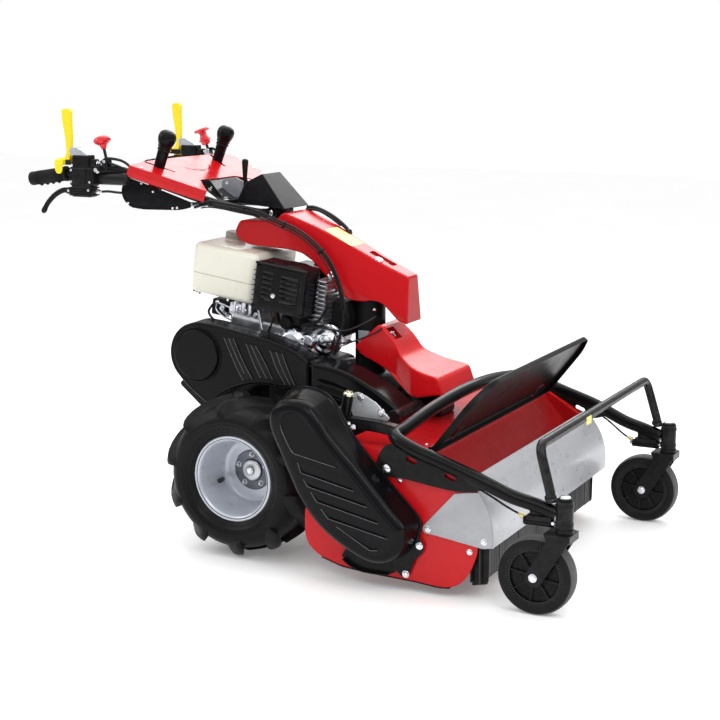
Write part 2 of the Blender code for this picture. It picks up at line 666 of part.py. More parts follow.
# grips, control bodies and hand levers at each end
for side, s in SIDES:
    path = TUBE[side]
    e = path[-1]
    b = Vector((-.606, s * .2910, 1.0345))
    d = (e - b).normalized()
    g = turned([(0, .1255), (.0165, .1255), (.0195, .1215), (.0190, .1100), (.0182, .0100), (.0215, .0080),
                (.0215, 0), (0, 0)], b, d, 16)
    bore = rod(b - d * .05, e + d * .0004, .0130, 16)
    g = cut(g, bore)
    piece(cleaned(g), f"grip_{side}", "rubber", tuple(e))

    body = box((-.590, -.512), (s * .288 - .021, s * .288 + .021), (.968, 1.086), .008, 2)
    body = join(body, box((-.578, -.526), (s * .288 - .016, s * .288 + .016), (1.070, 1.104), .006, 2))
    for k in (-1, 1):
        y0, y1 = sorted((s * .290 + k * .0052, s * .290 + k * .0080))
        body = join(body, box((-.632, -.586), (y0, y1), (1.0600, 1.0740)))
        y0, y1 = sorted((s * .290 + k * .0092, s * .290 + k * .0122))
        body = join(body, box((-.606, -.586), (y0, y1), (.9765, .9960)))
    core = [p for p in path if -.66 < p.x < -.40]
    body = cut(body, tube(core, .0131, 2),
               rod((-.624, s * .270, 1.0670), (-.624, s * .310, 1.0670), .0038),
               rod((-.5985, s * .270, .9860), (-.5985, s * .310, .9860), .0046))
    piece(cleaned(body), f"control_{side}", "black_plastic")

    YP = (-.6240, s * .2900, 1.0670)
    blade = [(-.6330, 1.0650), (-.6260, 1.0590), (-.5960, 1.0580), (-.5905, 1.0640), (-.5905, 1.0830),
             (-.5830, 1.1080), (-.5905, 1.1120), (-.5970, 1.2120), (-.6020, 1.2190), (-.6120, 1.2190), (-.6150, 1.2110),
             (-.6020, 1.1080), (-.6120, 1.0860), (-.6330, 1.0780)]
    blade = [(x - .0015, z) for x, z in blade]
    yl = outline([blade], s * .290 - .0045, s * .290 + .0045)
    yl = join(yl, rod((-.624, s * .290 - .0085, 1.067), (-.624, s * .290 + .0085, 1.067), .0035))
    piece(cleaned(yl), f"yellow_lever_{side}", "yellow_plastic", YP)

    HP = (-.5985, s * .2900, .9860)
    hp = smooth_path([(-.5985, s * .290, .9860), (-.6250, s * .291, .9850), (-.6520, s * .293, .9710),
                      (-.6760, s * .295, .9480), (-.6920, s * .296, .9230)], 2)
    hl = join(tube(hp, .0060, 1), rod((-.5985, s * .290 - .008, .9860), (-.5985, s * .290 + .008, .9860), .0080),
              rod((-.5985, s * .290 - .0128, .9860), (-.5985, s * .290 + .0128, .9860), .0043))
    piece(cleaned(hl), f"hand_lever_{side}", "black_paint", HP)

    RP = (-.4790, s * .2765, 1.0720)
    top = Vector((-.5015, s * .2690, 1.1420))
    up = (top - Vector(RP)).normalized()
    L = (top - Vector(RP)).length
    rl = turned([(0, L), (.012, L - .001), (.0205, L - .007), (.0205, L - .012), (.0120, L - .019), (.0062, L - .027),
                 (.0050, L - .060), (.0050, 0), (0, 0)], RP, up, 12)
    rl = join(rl, rod((-.4790, s * .2765 - .008, 1.072), (-.4790, s * .2765 + .008, 1.072), .0070),
              rod((-.4790, s * .2765 - .0132, 1.072), (-.4790, s * .2765 + .0132, 1.072), .0042))
    piece(cleaned(rl), f"red_lever_{side}", "red_plastic", RP)

# small release lever beside the console cover
SP = (-.1650, -.0400, .9680)
sl = turned([(0, .106), (.0075, .105), (.0095, .098), (.0060, .052), (.0040, .048), (.0040, 0), (0, 0)],
            SP, (.03, 0, 1), 10)
sl = join(sl, rod((-.165, -.0480, .968), (-.165, -.0320, .968), .0065), rod((-.165, -.0545, .968), (-.165, -.0255, .968), .0042))
piece(cleaned(sl), "small_lever", "black_plastic", SP)

# teardrop cable box under the near rail, in the rail's own plane
rail_dir = Vector((.886, .463, 0))
tear = arc(.045, -.070, .046, 128, 250, 7) + [(.060, -.1150), (.165, -.1050), (.198, -.0930), (.198, -.0770), (.140, -.0620), (.054, -.0390)]
tear = [(x, z) for x, z in tear]
cg = outline([tear], -.007, .007)
base = Vector((-.4480, -.2500, 1.0560))
for v in cg.data.vertices:
    u, w, z = v.co.x, v.co.y, v.co.z
    v.co = base + rail_dir * u + Vector((.463, -.886, 0)) * w + Vector((0, 0, z + .0 - .12 * u))
piece(cleaned(cg), "cable_guard", "black_plastic", (BAR_X, 0, BAR_Z))

cable = smooth_path([(-.2000, -.1640, .9540), (-.1600, -.1480, .9480), (-.1060, -.1240, .9370), (-.0720, -.1060, .9230),
                     (-.0200, -.0960, .9020), (.0410, -.0930, .8780), (.0950, -.0910, .8420), (.1365, -.0910, .7980),
                     (.1660, -.0960, .7450), (.1840, -.1020, .6930), (.1900, -.1060, .6550)], 2)
piece(tube(cable, .0085, 2), "cable_bundle", "rubber")

# ====================================================================== deck
SIDE = [(.2500, .1850), (.3000, .3300), (.3450, .3760), (.5900, .3760), (.7250, .3030), (.7466, .1334),
        (.7374, .1047), (.7236, .0703), (.7000, .0410), (.6713, .0274), (.6372, .0252), (.5685, .0310),
        (.4279, .0368), (.3559, .0427), (.2939, .0610), (.2624, .0855), (.2500, .1125)]
SHEET = [(.2560, .1850), (.3030, .3280), (.3470, .3730), (.5890, .3730), (.6050, .3500), (.6800, .2680),
         (.7050, .2100), (.7020, .2090), (.6770, .2660), (.6030, .3470), (.5870, .3700), (.3480, .3700),
         (.3055, .3265), (.2560, .1750)]
deck = outline([SHEET], -.4520, .4520)
for side, s in SIDES:
    y0, y1 = sorted((s * .4510, s * DECK_Y))
    deck = join(deck, outline([SIDE], y0, y1))
    # pivot bolts of the caster frame and of the flap
    y0 = s * .4530
    deck = join(deck, rod((FRAME_X, y0, FRAME_Z), (FRAME_X, s * .4690, FRAME_Z), .0080, 16),
                rod((FLAP_X, y0, FLAP_Z), (FLAP_X, s * .4605, FLAP_Z), .0055, 12))
# bevel gear case on top, coupled to the tractor's output
deck = join(deck, box((.3720, .4650), (-.055, .055), (.3715, .4550), .006))
# bores for the drive shaft and the rotor
deck = cut(deck,
           rod((DRIVE_X + .0, -.470, DRIVE_Z), (DRIVE_X, -.460, DRIVE_Z), .01, 8),
           rod((ROTOR_X, -.470, ROTOR_Z), (ROTOR_X, -.440, ROTOR_Z), .0166, 16),
           rod((ROTOR_X, .440, ROTOR_Z), (ROTOR_X, .470, ROTOR_Z), .0166, 16))
# hinge lugs of the lid
for y in (-.300, .300):
    deck = join(deck, outline([[(.5860, .3690), (.5900, .3880), (.6000, .3920), (.6090, .3870), (.6085, .3760), (.5960, .3610)]], y - .002, y + .002))
deck = cut(deck, rod((.6000, -.320, .3819), (.6000, .320, .3819), .0049))
# carrier of the upper shaft: a bracket standing on the near end of the deck
ear = outline([[(.2450, .4000), (.2620, .3300), (.3060, .3300), (.3400, .3700), (.3380, .4700), (.2600, .4700)]],
              -.4550, -.4510)
deck = join(deck, ear)
deck = cut(deck, rod((DRIVE_X, -.470, DRIVE_Z), (DRIVE_X, -.440, DRIVE_Z), .0130, 24))
piece(cleaned(deck), "deck_housing", "red_paint")

RC = (ROTOR_X, 0, ROTOR_Z)
rotor = turned([(0, .4560), (.0160, .4560), (.0160, .4360), (.0400, .4330), (.0400, -.4330), (.0160, -.4360),
                (.0160, -.5000), (0, -.5000)], RC, (0, 1, 0), 16)
# hammers: three-blade rows standing out from the drum
for i in range(10):
    y = -.405 + .090 * i
    ang = i * 72.0
    for k in range(2):
        t = math.radians(ang + 180 * k)
        h = box((.030, .128), (y - .018, y + .018), (-.005, .005))
        h.data.transform(Matrix.Translation(RC) @ Matrix.Rotation(t, 4, 'Y'))
        rotor = join(rotor, h)
piece(cleaned(rotor), "rotor", "steel", RC)
rp = turned([(.0620, .4960), (.0620, .4903), (.0500, .4903), (.0500, .4737), (.0620, .4737), (.0620, .4680),
             (.0163, .4680), (.0163, .4960)], RC, (0, -1, 0), 18)
piece(rp, "rotor_pulley", "steel", RC)
DC = (DRIVE_X, 0, DRIVE_Z)
ds = turned([(0, .5000), (.0120, .5000), (.0120, .4960), (.0540, .4960), (.0540, .4903), (.0420, .4903), (.0420, .4737),
             (.0540, .4737), (.0540, .4680), (.0200, .4680), (.0127, .4600), (.0127, .2600), (0, .2600)], DC, (0, -1, 0), 18)
piece(ds, "drive_shaft", "steel", DC)
c1, c2 = (DRIVE_X, DRIVE_Z), (ROTOR_X, ROTOR_Z)
belt = outline([belt_loop(c1, .0515, c2, .0595), belt_loop(c1, .0438, c2, .0520)], -.4895, -.4745)
piece(cleaned(belt), "deck_belt", "rubber")

# side cover of the deck drive: slanted capsule, its lower left side bellied
cov = (arc(.2790, .4410, .0820, 43, 170, 7) + [(.2010, .4050), (.2300, .3400), (.2700, .2700), (.3150, .2050), (.3700, .1450), (.4250, .1120)]
       + arc(.5050, .1780, .0800, 245, 402, 8))
cover = outline([cov], -.5450, -.4600)
cover = settled(rounded(cover, .026, 2, 60))
cover = cut(cover, outline([inset(cov, .004)], -.5190, -.4400), outline([inset(cov, .024)], -.5410, -.5100))
flange = outline([inset(cov, -.008), inset(cov, .002)], -.4635, -.4590)
cover = join(cover, flange)
# the flange stops short of the caster frame's pivot bolt
cover = cut(cover, box((.4560, .5400), (-.4700, -.4560), (.2900, .3620)))
piece(cleaned(cover), "side_cover", "black_plastic")

# galvanised front flap: two sector sides and the curved front sheet
sector = ([(.5960, .1600), (.5940, .1850), (.6040, .1920)] + [(.6820, .2780), (.7540, .2900)] +
          arc(FLAP_X, FLAP_Z, .1790, 38, -9.0, 6) + [(.7600, .1430)])
flap = None
for side, s in SIDES:
    y0, y1 = sorted((s * .4555, s * .4582))
    f = outline([sector], y0, y1)
    flap = f if flap is None else flap
    if flap is not f:
        flap2 = f
sheet = outline([arc(FLAP_X, FLAP_Z, .1802, -9.5, 51, 9) + arc(FLAP_X, FLAP_Z, .1776, 51, -9.5, 9)], -.4580, .4580)
flap = join(sheet, flap, flap2)
for s in (-1, 1):
    flap = cut(flap, rod((FLAP_X, s * .450, FLAP_Z), (FLAP_X, s * .470, FLAP_Z), .0060, 16))
piece(cleaned(flap), "front_flap", "galvanised", (FLAP_X, 0, FLAP_Z))

# rubber curtain: strips hanging inside the flap's lower edge, joined by their top band
strips = [(-.4500, .1700)]
n = 12
w = .9000 / n
low = []
for i in range(n):
    a = -.4500 + w * i
    low += [(a + .0008, .045), (a + w - .0008, .045), (a + w - .0008, .140)]
    if i < n - 1:
        low += [(a + w + .0008, .140)]
curtain = outline([[(-.4500, .1750)] + [(-.4500, .045)] + low[1:] + [(.4500, .140), (.4500, .1750)]], .7475, .7510, axis='X')
piece(cleaned(curtain), "rubber_curtain", "rubber")

# lid: pan with flanges, standing open
LW, LH = .4300, .2360
lid = box((.0030, .0055), (-LW, LW), (.0060, LH))
pan = join(lid, box((.0030, .0200), (-LW, LW), (LH - .0025, LH)),
           box((.0030, .0110), (-LW, -LW + .0025), (.0200, LH - .001)),
           box((.0030, .0110), (LW - .0025, LW), (.0200, LH - .001)),
           )
pan = cut(pan, box((-.010, .030), (-.3040, -.2960), (.0, .0200)), box((-.010, .030), (.2960, .3040), (.0, .0200)))
pan = join(pan, rod((.0010, -LW, .0045), (.0010, LW, .0045), .0045, 12))
lid_a = math.atan2(.1435, .1850)
pan.data.transform(Matrix.Translation((LID_X, 0, LID_Z)) @ Matrix.Rotation(lid_a, 4, 'Y'))
piece(cleaned(pan), "lid", "black_paint", (LID_X, 0, LID_Z))

# ============================================================== caster frame
path = []
nearp = [(.9560, -.4580, .2620), (.9000, -.4620, .2790), (.8357, -.4690, .2960), (.7428, -.4785, .3340), (.6500, -.4785, .3640),
         (.5700, -.4785, .3900), (.5150, -.4560, .4100), (.5130, -.4000, .4170), (.5200, -.2000, .4420), (.5280, 0, .4540)]
full = nearp + [(x, -y, z) for x, y, z in reversed(nearp[:-1])]
cf = tube(full, .0180, 2)
for side, s in SIDES:
    y0, y1 = sorted((s * .4600, s * .4650))
    gus = [(.4620, .3300), (.4700, .3560), (.4900, .3900), (.5400, .3950), (.6500, .3600), (.7428, .3300), (.7900, .3100),
           (.7654, .2985), (.6978, .2851), (.6150, .2934), (.5449, .3036), (.5150, .3050), (.4800, .3050)]
    g = outline([gus], y0, y1)
    g = cut(g, rod((FRAME_X, s * .45, FRAME_Z), (FRAME_X, s * .48, FRAME_Z), .0086, 16))
    cf = join(cf, g)
    # swivel housing at the arm's front end
    cf = join(cf, turned([(.0215, .298), (.0215, .228), (.0138, .228), (.0138, .298)], (SWIVEL_X, s * CASTER_Y, 0), (0, 0, 1), 16))
    cf = cut(cf, rod((SWIVEL_X, s * CASTER_Y, .20), (SWIVEL_X, s * CASTER_Y, .32), .0137, 16))
    # lock pin housing under the arm
    cf = join(cf, rod((.8700, s * .4560, .2350), (.9500, s * .4560, .2350), .0110, 14),
              box((.8900, .9400), (s * .456 - .004, s * .456 + .004), (.2380, .2700)))
    cf = cut(cf, rod((.8600, s * .4560, .2350), (.9600, s * .4560, .2350), .0053, 14))
# rear arm that carries the height screw, near side only
cf = join(cf, outline([[(.3180, .4100), (.3180, .4380), (.4400, .4340), (.5100, .4240), (.5100, .3980), (.4400, .4060)]],
                      -.4200, -.3900))
cf = cut(cf, rod((.3370, -.4050, .3900), (.3370, -.4050, .4600), .0103))
piece(cleaned(cf), "caster_frame", "black_paint", (FRAME_X, 0, FRAME_Z))

adj = turned([(0, .5080), (.0090, .5080), (.0090, .5000), (.0150, .4995), (.0150, .4385), (.0100, .4385), (.0100, .3780), (0, .3780)],
             (.3370, -.4050, 0), (0, 0, 1), 12)
piece(adj, "height_adjuster", "black_paint", (.3370, -.4050, 0))

bp = bent([(.9430, -.4620, .2900), (.9400, -.4620, .3100), (.9050, -.4560, .4240), (.9050, .4560, .4240),
           (.9400, .4620, .3100), (.9430, .4620, .2900)], .035, 3)
piece(tube(bp, .0115, 2), "bumper", "black_paint", (FRAME_X, 0, FRAME_Z))

for side, s in SIDES:
    y = s * CASTER_Y
    pin = turned([(0, .3070), (.0160, .3070), (.0190, .3040), (.0190, .2985), (.0133, .2985), (.0133, .2277),
                  (.0230, .2275), (.0230, .2150), (0, .2150)], (SWIVEL_X, y, 0), (0, 0, 1), 16)
    fork = join(pin, box((.9350, 1.0000), (y - .0340, y + .0340), (.2115, .2170), .0015))
    for k in (-1, 1):
        y0, y1 = sorted((y + k * .0300, y + k * .0340))
        leg = outline([[(.9350, .2160), (1.0000, .2160), (1.0000, .2000), (.9320, .0880), (.9150, .0760), (.8950, .0820),
                        (.8860, .1000), (.8900, .1120), (.9250, .1900)]], y0, y1)
        fork = join(fork, leg)
    fork = join(fork, rod((CASTER_X, y - .0400, CASTER_R), (CASTER_X, y + .0400, CASTER_R), .0080, 16))
    piece(cleaned(fork), f"fork_{side}", "black_paint", (SWIVEL_X, y, .2150))
    wheel = turned([(.0086, .0285), (.0200, .0285), (.0220, .0180), (.0700, .0180), (.0740, .0250), (.0930, .0250), (.1000, .0170),
                    (.1000, -.0170), (.0930, -.0250), (.0740, -.0250), (.0700, -.0180), (.0220, -.0180), (.0200, -.0285),
                    (.0086, -.0285)], (CASTER_X, y, CASTER_R), (0, 1, 0), 20)
    piece(wheel, f"caster_wheel_{side}", "rubber", (CASTER_X, y, CASTER_R))
    lp = rod((.8620, s * .4560, .2350), (.9550, s * .4560, .2350), .0050, 14)
    piece(lp, f"lock_pin_{side}", "steel", (.8700, s * .4560, .2350))

for ob in list(cutters.objects):
    ob.hide_render = True
    ob.display_type = 'WIRE'
bpy.context.view_layer.update()
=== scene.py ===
"""Looks of a walk-behind hammer knife mower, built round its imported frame."""
import math

import bmesh
import bpy
from mathutils import Matrix, Vector
from mathutils.geometry import delaunay_2d_cdt, intersect_point_line


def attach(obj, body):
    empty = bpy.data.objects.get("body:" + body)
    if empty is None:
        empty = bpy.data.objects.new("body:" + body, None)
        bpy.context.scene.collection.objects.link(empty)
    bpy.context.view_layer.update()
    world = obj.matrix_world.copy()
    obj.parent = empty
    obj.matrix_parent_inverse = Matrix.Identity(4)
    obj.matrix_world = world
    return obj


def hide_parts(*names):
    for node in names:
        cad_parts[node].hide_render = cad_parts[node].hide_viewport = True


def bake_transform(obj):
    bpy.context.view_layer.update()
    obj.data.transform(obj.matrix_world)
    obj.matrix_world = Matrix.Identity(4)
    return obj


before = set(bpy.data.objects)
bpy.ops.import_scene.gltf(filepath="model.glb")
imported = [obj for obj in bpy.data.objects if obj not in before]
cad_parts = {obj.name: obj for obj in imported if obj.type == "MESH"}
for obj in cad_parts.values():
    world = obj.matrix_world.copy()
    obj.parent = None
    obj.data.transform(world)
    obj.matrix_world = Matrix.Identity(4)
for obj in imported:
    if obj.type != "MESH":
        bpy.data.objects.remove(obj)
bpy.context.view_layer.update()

# machine axes: x forward, y to the left, z up, rear axle above x = 0
OX, OY = -0.1383, 0.0220
SHIFT = Matrix.Translation((OX, OY, 0))
scene = bpy.context.scene

# ------------------------------------------------------------------- camera
cam = bpy.data.cameras.new("camera")
cam.sensor_width = 36
cam.lens = 81.41
camera = bpy.data.objects.new("camera", cam)
scene.collection.objects.link(camera)
az, el = math.radians(26.307), math.radians(10.705)
fwd = Vector((-math.sin(az) * math.cos(el), math.cos(az) * math.cos(el), -math.sin(el)))
right = Vector((math.cos(az), math.sin(az), 0))
look = Matrix((right, right.cross(fwd), -fwd)).transposed().to_4x4()
look.translation = Vector((2.2344 + OX, -4.1376 + OY, 1.3774))
camera.matrix_world = look
scene.camera = camera

# ------------------------------------------------------------ floor and light
floor_me = bpy.data.meshes.new("floor")
floor_me.from_pydata([(-14, -14, 0), (14, -14, 0), (14, 14, 0), (-14, 14, 0)], [], [(0, 1, 2, 3)])
floor = bpy.data.objects.new("floor", floor_me)
scene.collection.objects.link(floor)

world = bpy.data.worlds.new("studio")
scene.world = world
world.use_nodes = True
wn = world.node_tree
wn.nodes.clear()
w_out = wn.nodes.new("ShaderNodeOutputWorld")
w_mix = wn.nodes.new("ShaderNodeMixShader")
w_path = wn.nodes.new("ShaderNodeLightPath")
w_seen = wn.nodes.new("ShaderNodeBackground")
w_seen.inputs[0].default_value = (1, 1, 1, 1)
w_seen.inputs[1].default_value = 1.0
w_room = wn.nodes.new("ShaderNodeBackground")
w_tc = wn.nodes.new("ShaderNodeTexCoord")
w_sep = wn.nodes.new("ShaderNodeSeparateXYZ")
w_ramp = wn.nodes.new("ShaderNodeValToRGB")
w_ramp.color_ramp.elements[0].position = 0.0
w_ramp.color_ramp.elements[0].color = (0.16, 0.16, 0.17, 1)
w_ramp.color_ramp.elements[1].position = 0.75
w_ramp.color_ramp.elements[1].color = (1.0, 1.0, 1.0, 1)
wn.links.new(w_tc.outputs["Generated"], w_sep.inputs[0])
wn.links.new(w_sep.outputs["Z"], w_ramp.inputs[0])
wn.links.new(w_ramp.outputs[0], w_room.inputs[0])
w_room.inputs[1].default_value = 1.12
wn.links.new(w_path.outputs["Is Camera Ray"], w_mix.inputs[0])
wn.links.new(w_room.outputs[0], w_mix.inputs[1])
wn.links.new(w_seen.outputs[0], w_mix.inputs[2])
wn.links.new(w_mix.outputs[0], w_out.inputs[0])


def area_light(name, at, to, size, power, sy=None):
    li = bpy.data.lights.new(name, 'AREA')
    li.shape = 'RECTANGLE'
    li.size, li.size_y = size, sy or size
    li.energy = power
    ob = bpy.data.objects.new(name, li)
    scene.collection.objects.link(ob)
    ob.location = at
    ob.rotation_euler = (Vector(to) - Vector(at)).to_track_quat('-Z', 'Y').to_euler()
    ob.visible_camera = False
    return ob


area_light("softbox_top", (-0.3, 0.9, 3.4), (0, 0.1, 0.4), 3.6, 52, 2.6)
area_light("softbox_rear", (-0.95, 4.2, 3.1), (0, 0, 0.6), 3.3, 72, 2.2)
area_light("softbox_left", (-3.0, -1.6, 2.4), (0, 0, 0.5), 1.6, 26, 1.8)
area_light("softbox_right", (3.2, -1.0, 2.2), (0.2, 0, 0.5), 1.4, 20, 1.6)
area_light("softbox_front", (0.9, -3.6, 3.0), (0, 0, 0.45), 1.5, 17, 1.2)
area_light("strip_edge", (1.9, -1.75, 2.9), (0.1, -0.2, 0.4), 0.22, 17, 1.4)
scene.view_settings.view_transform = 'Standard'
scene.view_settings.look = 'None'
scene.view_settings.exposure = 0.0

# ---------------------------------------------------------------- materials
M = {}


def surface(name, color, rough, metal=0.0, coat=0.0, coat_rough=0.05, spec=0.5, tone=0.08, tone_scale=7.0,
            rvar=0.05, rscale=30.0, grain=0.0, gscale=900.0, peel=0.0, pscale=90.0, edge=None, dust=None,
            spangle=0.0, sscale=70.0, streak=0.0, flow=(1, 1, 1), sheen=0.0):
    """Painted, cast, plated or moulded finish with its own grain, tone drift and worn edges."""
    m = bpy.data.materials.new(name)
    m.use_nodes = True
    nt = m.node_tree
    b = nt.nodes["Principled BSDF"]
    b.inputs["Metallic"].default_value = metal
    b.inputs["Coat Weight"].default_value = coat
    b.inputs["Coat Roughness"].default_value = coat_rough
    b.inputs["Specular IOR Level"].default_value = spec
    b.inputs["Sheen Weight"].default_value = sheen
    N, L = nt.nodes.new, nt.links.new
    tc = N("ShaderNodeTexCoord")
    mp = N("ShaderNodeMapping")
    mp.inputs["Scale"].default_value = flow
    L(tc.outputs["Object"], mp.inputs["Vector"])
    vec = mp.outputs["Vector"]

    def noise(scale, detail=4.0, rough_=0.55, dist=0.0):
        n = N("ShaderNodeTexNoise")
        n.inputs["Scale"].default_value = scale
        n.inputs["Detail"].default_value = detail
        n.inputs["Roughness"].default_value = rough_
        n.inputs["Distortion"].default_value = dist
        L(vec, n.inputs["Vector"])
        return n.outputs["Fac"]

    def remap(v, lo, hi, a=0.3, c=0.7):
        r = N("ShaderNodeMapRange")
        r.inputs["From Min"].default_value = a
        r.inputs["From Max"].default_value = c
        r.inputs["To Min"].default_value = lo
        r.inputs["To Max"].default_value = hi
        L(v, r.inputs["Value"])
        return r.outputs["Result"]

    def mixed(fac, a, c):
        x = N("ShaderNodeMix")
        x.data_type = 'RGBA'
        L(fac, x.inputs["Factor"])
        for sock, val in ((x.inputs[6], a), (x.inputs[7], c)):
            if isinstance(val, tuple):
                sock.default_value = (*val, 1)
            else:
                L(val, sock)
        return x.outputs[2]

    drift = remap(noise(tone_scale, 5.0), 0.0, 1.0)
    lo = tuple(max(c * (1 - tone), 0) for c in color)
    hi = tuple(min(c * (1 + tone), 1) for c in color)
    col = mixed(drift, lo, hi)
    rough_out = remap(noise(rscale, 6.0, 0.6), max(rough - rvar, 0.02), min(rough + rvar, 1.0))
    if spangle:
        vo = N("ShaderNodeTexVoronoi")
        vo.inputs["Scale"].default_value = sscale
        L(vec, vo.inputs["Vector"])
        sp = N("ShaderNodeSeparateColor")
        L(vo.outputs["Color"], sp.inputs[0])
        shade = remap(sp.outputs[0], 0.0, 1.0, 0.0, 1.0)
        darker = tuple(c * (1 - spangle) for c in color)
        lighter = tuple(min(c * (1 + spangle), 1) for c in color)
        col = mixed(shade, darker, lighter)
        add = N("ShaderNodeMath")
        add.operation = 'ADD'
        L(rough_out, add.inputs[0])
        L(remap(sp.outputs[1], -0.04, 0.05, 0.0, 1.0), add.inputs[1])
        rough_out = add.outputs[0]
    # blend towards another colour on up-facing faces: settled dust on most finishes, a painted highlight along the
    # bumper bar's top
    if dust:
        amount, dcol = dust
        up = N("ShaderNodeNewGeometry")
        sx = N("ShaderNodeSeparateXYZ")
        L(up.outputs["Normal"], sx.inputs[0])
        fac = N("ShaderNodeMath")
        fac.operation = 'MULTIPLY'
        L(remap(noise(tone_scale * 3.1, 8.0, 0.7), 0.0, amount, 0.35, 0.75), fac.inputs[0])
        L(remap(sx.outputs["Z"], 0.35, 1.0, -0.2, 0.9), fac.inputs[1])
        col = mixed(fac.outputs[0], col, dcol)
    if edge:
        amount, ecol = edge
        geo = N("ShaderNodeNewGeometry")
        e = remap(geo.outputs["Pointiness"], 0.0, amount, 0.515, 0.60)
        f2 = N("ShaderNodeMath")
        f2.operation = 'MULTIPLY'
        L(e, f2.inputs[0])
        L(remap(noise(45.0, 6.0, 0.7), 0.1, 1.0, 0.35, 0.6), f2.inputs[1])
        col = mixed(f2.outputs[0], col, ecol)
    L(col, b.inputs["Base Color"])
    L(rough_out, b.inputs["Roughness"])
    normal = None
    for strength, scale, distance in ((peel, pscale, 0.0006), (grain, gscale, 0.00025), (streak, 260.0, 0.0003)):
        if strength:
            bu = N("ShaderNodeBump")
            bu.inputs["Strength"].default_value = strength
            bu.inputs["Distance"].default_value = distance
            L(noise(scale, 3.0, 0.5), bu.inputs["Height"])
            if normal is not None:
                L(normal, bu.inputs["Normal"])
            normal = bu.outputs["Normal"]
    if normal is not None:
        L(normal, b.inputs["Normal"])
    M[name] = m
    return m


surface("red_enamel", (0.53, 0.005, 0.009), 0.22, coat=0.04, coat_rough=0.06, spec=0.24, tone=0.05, tone_scale=5, rvar=0.05,
        peel=0.05, pscale=200, edge=(0.25, (0.75, 0.05, 0.05)))
# darker copy of the red enamel for the hood's slot tray: painted shade in the recess; its up-facing blend is dust
surface("red_enamel_lower", (0.44, 0.006, 0.009), 0.26, coat=0.02, coat_rough=0.10, spec=0.20, tone=0.07, tone_scale=6, rvar=0.06,
        peel=0.06, pscale=190, edge=(0.25, (0.70, 0.06, 0.06)), dust=(0.08, (0.50, 0.20, 0.18)))
# brighter copy of the red enamel for the coupling cover, which sits in less light: painted light
surface("red_enamel_cover", (0.66, 0.008, 0.012), 0.25, coat=0.04, coat_rough=0.08, spec=0.24, tone=0.06, tone_scale=6, rvar=0.05,
        peel=0.05, pscale=190, edge=(0.25, (0.75, 0.06, 0.06)))
# darker copy of the red enamel for the sloping panel inside the housing and the latch recess: painted shade
surface("red_enamel_inner", (0.37, 0.005, 0.007), 0.34, spec=0.07, tone=0.08, tone_scale=6, rvar=0.06, peel=0.05, pscale=190,
        edge=(0.25, (0.60, 0.05, 0.05)))
surface("black_coat", (0.0040, 0.0040, 0.0045), 0.22, spec=0.13, tone=0.2, tone_scale=12, rvar=0.05, peel=0.05, pscale=300,
        edge=(0.35, (0.06, 0.06, 0.062)))
# black for the bumper bar, lightened on up-facing faces: a painted highlight standing in for the reflection along the
# bar's top
surface("black_coat_bar", (0.0048, 0.0048, 0.0054), 0.26, spec=0.22, tone=0.2, tone_scale=12, rvar=0.05, peel=0.05, pscale=300,
        edge=(0.35, (0.06, 0.06, 0.062)), dust=(0.22, (0.17, 0.17, 0.175)))
surface("black_cast", (0.0050, 0.0050, 0.0054), 0.40, spec=0.12, tone=0.25, tone_scale=14, rvar=0.10, grain=0.20, gscale=420,
        edge=(0.3, (0.06, 0.06, 0.06)), dust=(0.12, (0.10, 0.095, 0.09)))
surface("black_moulded", (0.0042, 0.0042, 0.0047), 0.27, spec=0.13, tone=0.15, tone_scale=9, rvar=0.05, grain=0.08, gscale=760,
        edge=(0.35, (0.055, 0.055, 0.058)))
surface("black_satin_cover", (0.0038, 0.0038, 0.0046), 0.20, spec=0.12, tone=0.12, tone_scale=6, rvar=0.04, grain=0.05,
        gscale=820, edge=(0.30, (0.05, 0.05, 0.056)))
surface("grip_rubber", (0.0100, 0.0100, 0.0106), 0.58, tone=0.2, tone_scale=22, rvar=0.08, grain=0.45, gscale=520,
        spec=0.13, dust=(0.15, (0.02, 0.02, 0.02)))
surface("hose_rubber", (0.0060, 0.0060, 0.0066), 0.36, tone=0.2, tone_scale=25, rvar=0.08, grain=0.25, gscale=640,
        spec=0.28)
surface("belt_rubber", (0.018, 0.018, 0.018), 0.75, tone=0.25, tone_scale=30, rvar=0.1, grain=0.4, gscale=500, spec=0.3)
surface("curtain_rubber", (0.040, 0.040, 0.041), 0.55, tone=0.35, tone_scale=18, rvar=0.12, grain=0.4, gscale=380,
        spec=0.3, dust=(0.35, (0.09, 0.09, 0.092)), flow=(1, 1, 0.25))
# light grey for thin beads drawn along the louvre and rib outlines: painted edge highlights
surface("moulded_edge", (0.115, 0.115, 0.120), 0.34, tone=0.25, tone_scale=40, rvar=0.08, grain=0.05, gscale=700, spec=0.4)
surface("lid_black", (0.0045, 0.0042, 0.0042), 0.36, spec=0.11, tone=0.2, tone_scale=7, rvar=0.05, grain=0.05, gscale=600,
        edge=(0.3, (0.05, 0.05, 0.05)))
surface("cap_grey", (0.42, 0.43, 0.39), 0.40, tone=0.06, tone_scale=30, rvar=0.06, grain=0.06, gscale=600)
surface("tyre_rubber", (0.0046, 0.0046, 0.0052), 0.40, tone=0.3, tone_scale=16, rvar=0.10, grain=0.35, gscale=460,
        spec=0.14, edge=(0.22, (0.03, 0.03, 0.03)), dust=(0.20, (0.014, 0.014, 0.014)))
surface("tread_grey", (0.070, 0.070, 0.072), 0.62, tone=0.2, tone_scale=22, rvar=0.08, grain=0.4, gscale=520,
        spec=0.35, dust=(0.3, (0.13, 0.13, 0.13)))
surface("nylon_grey", (0.026, 0.026, 0.027), 0.40, tone=0.2, tone_scale=30, rvar=0.08, grain=0.1, gscale=520, spec=0.3)
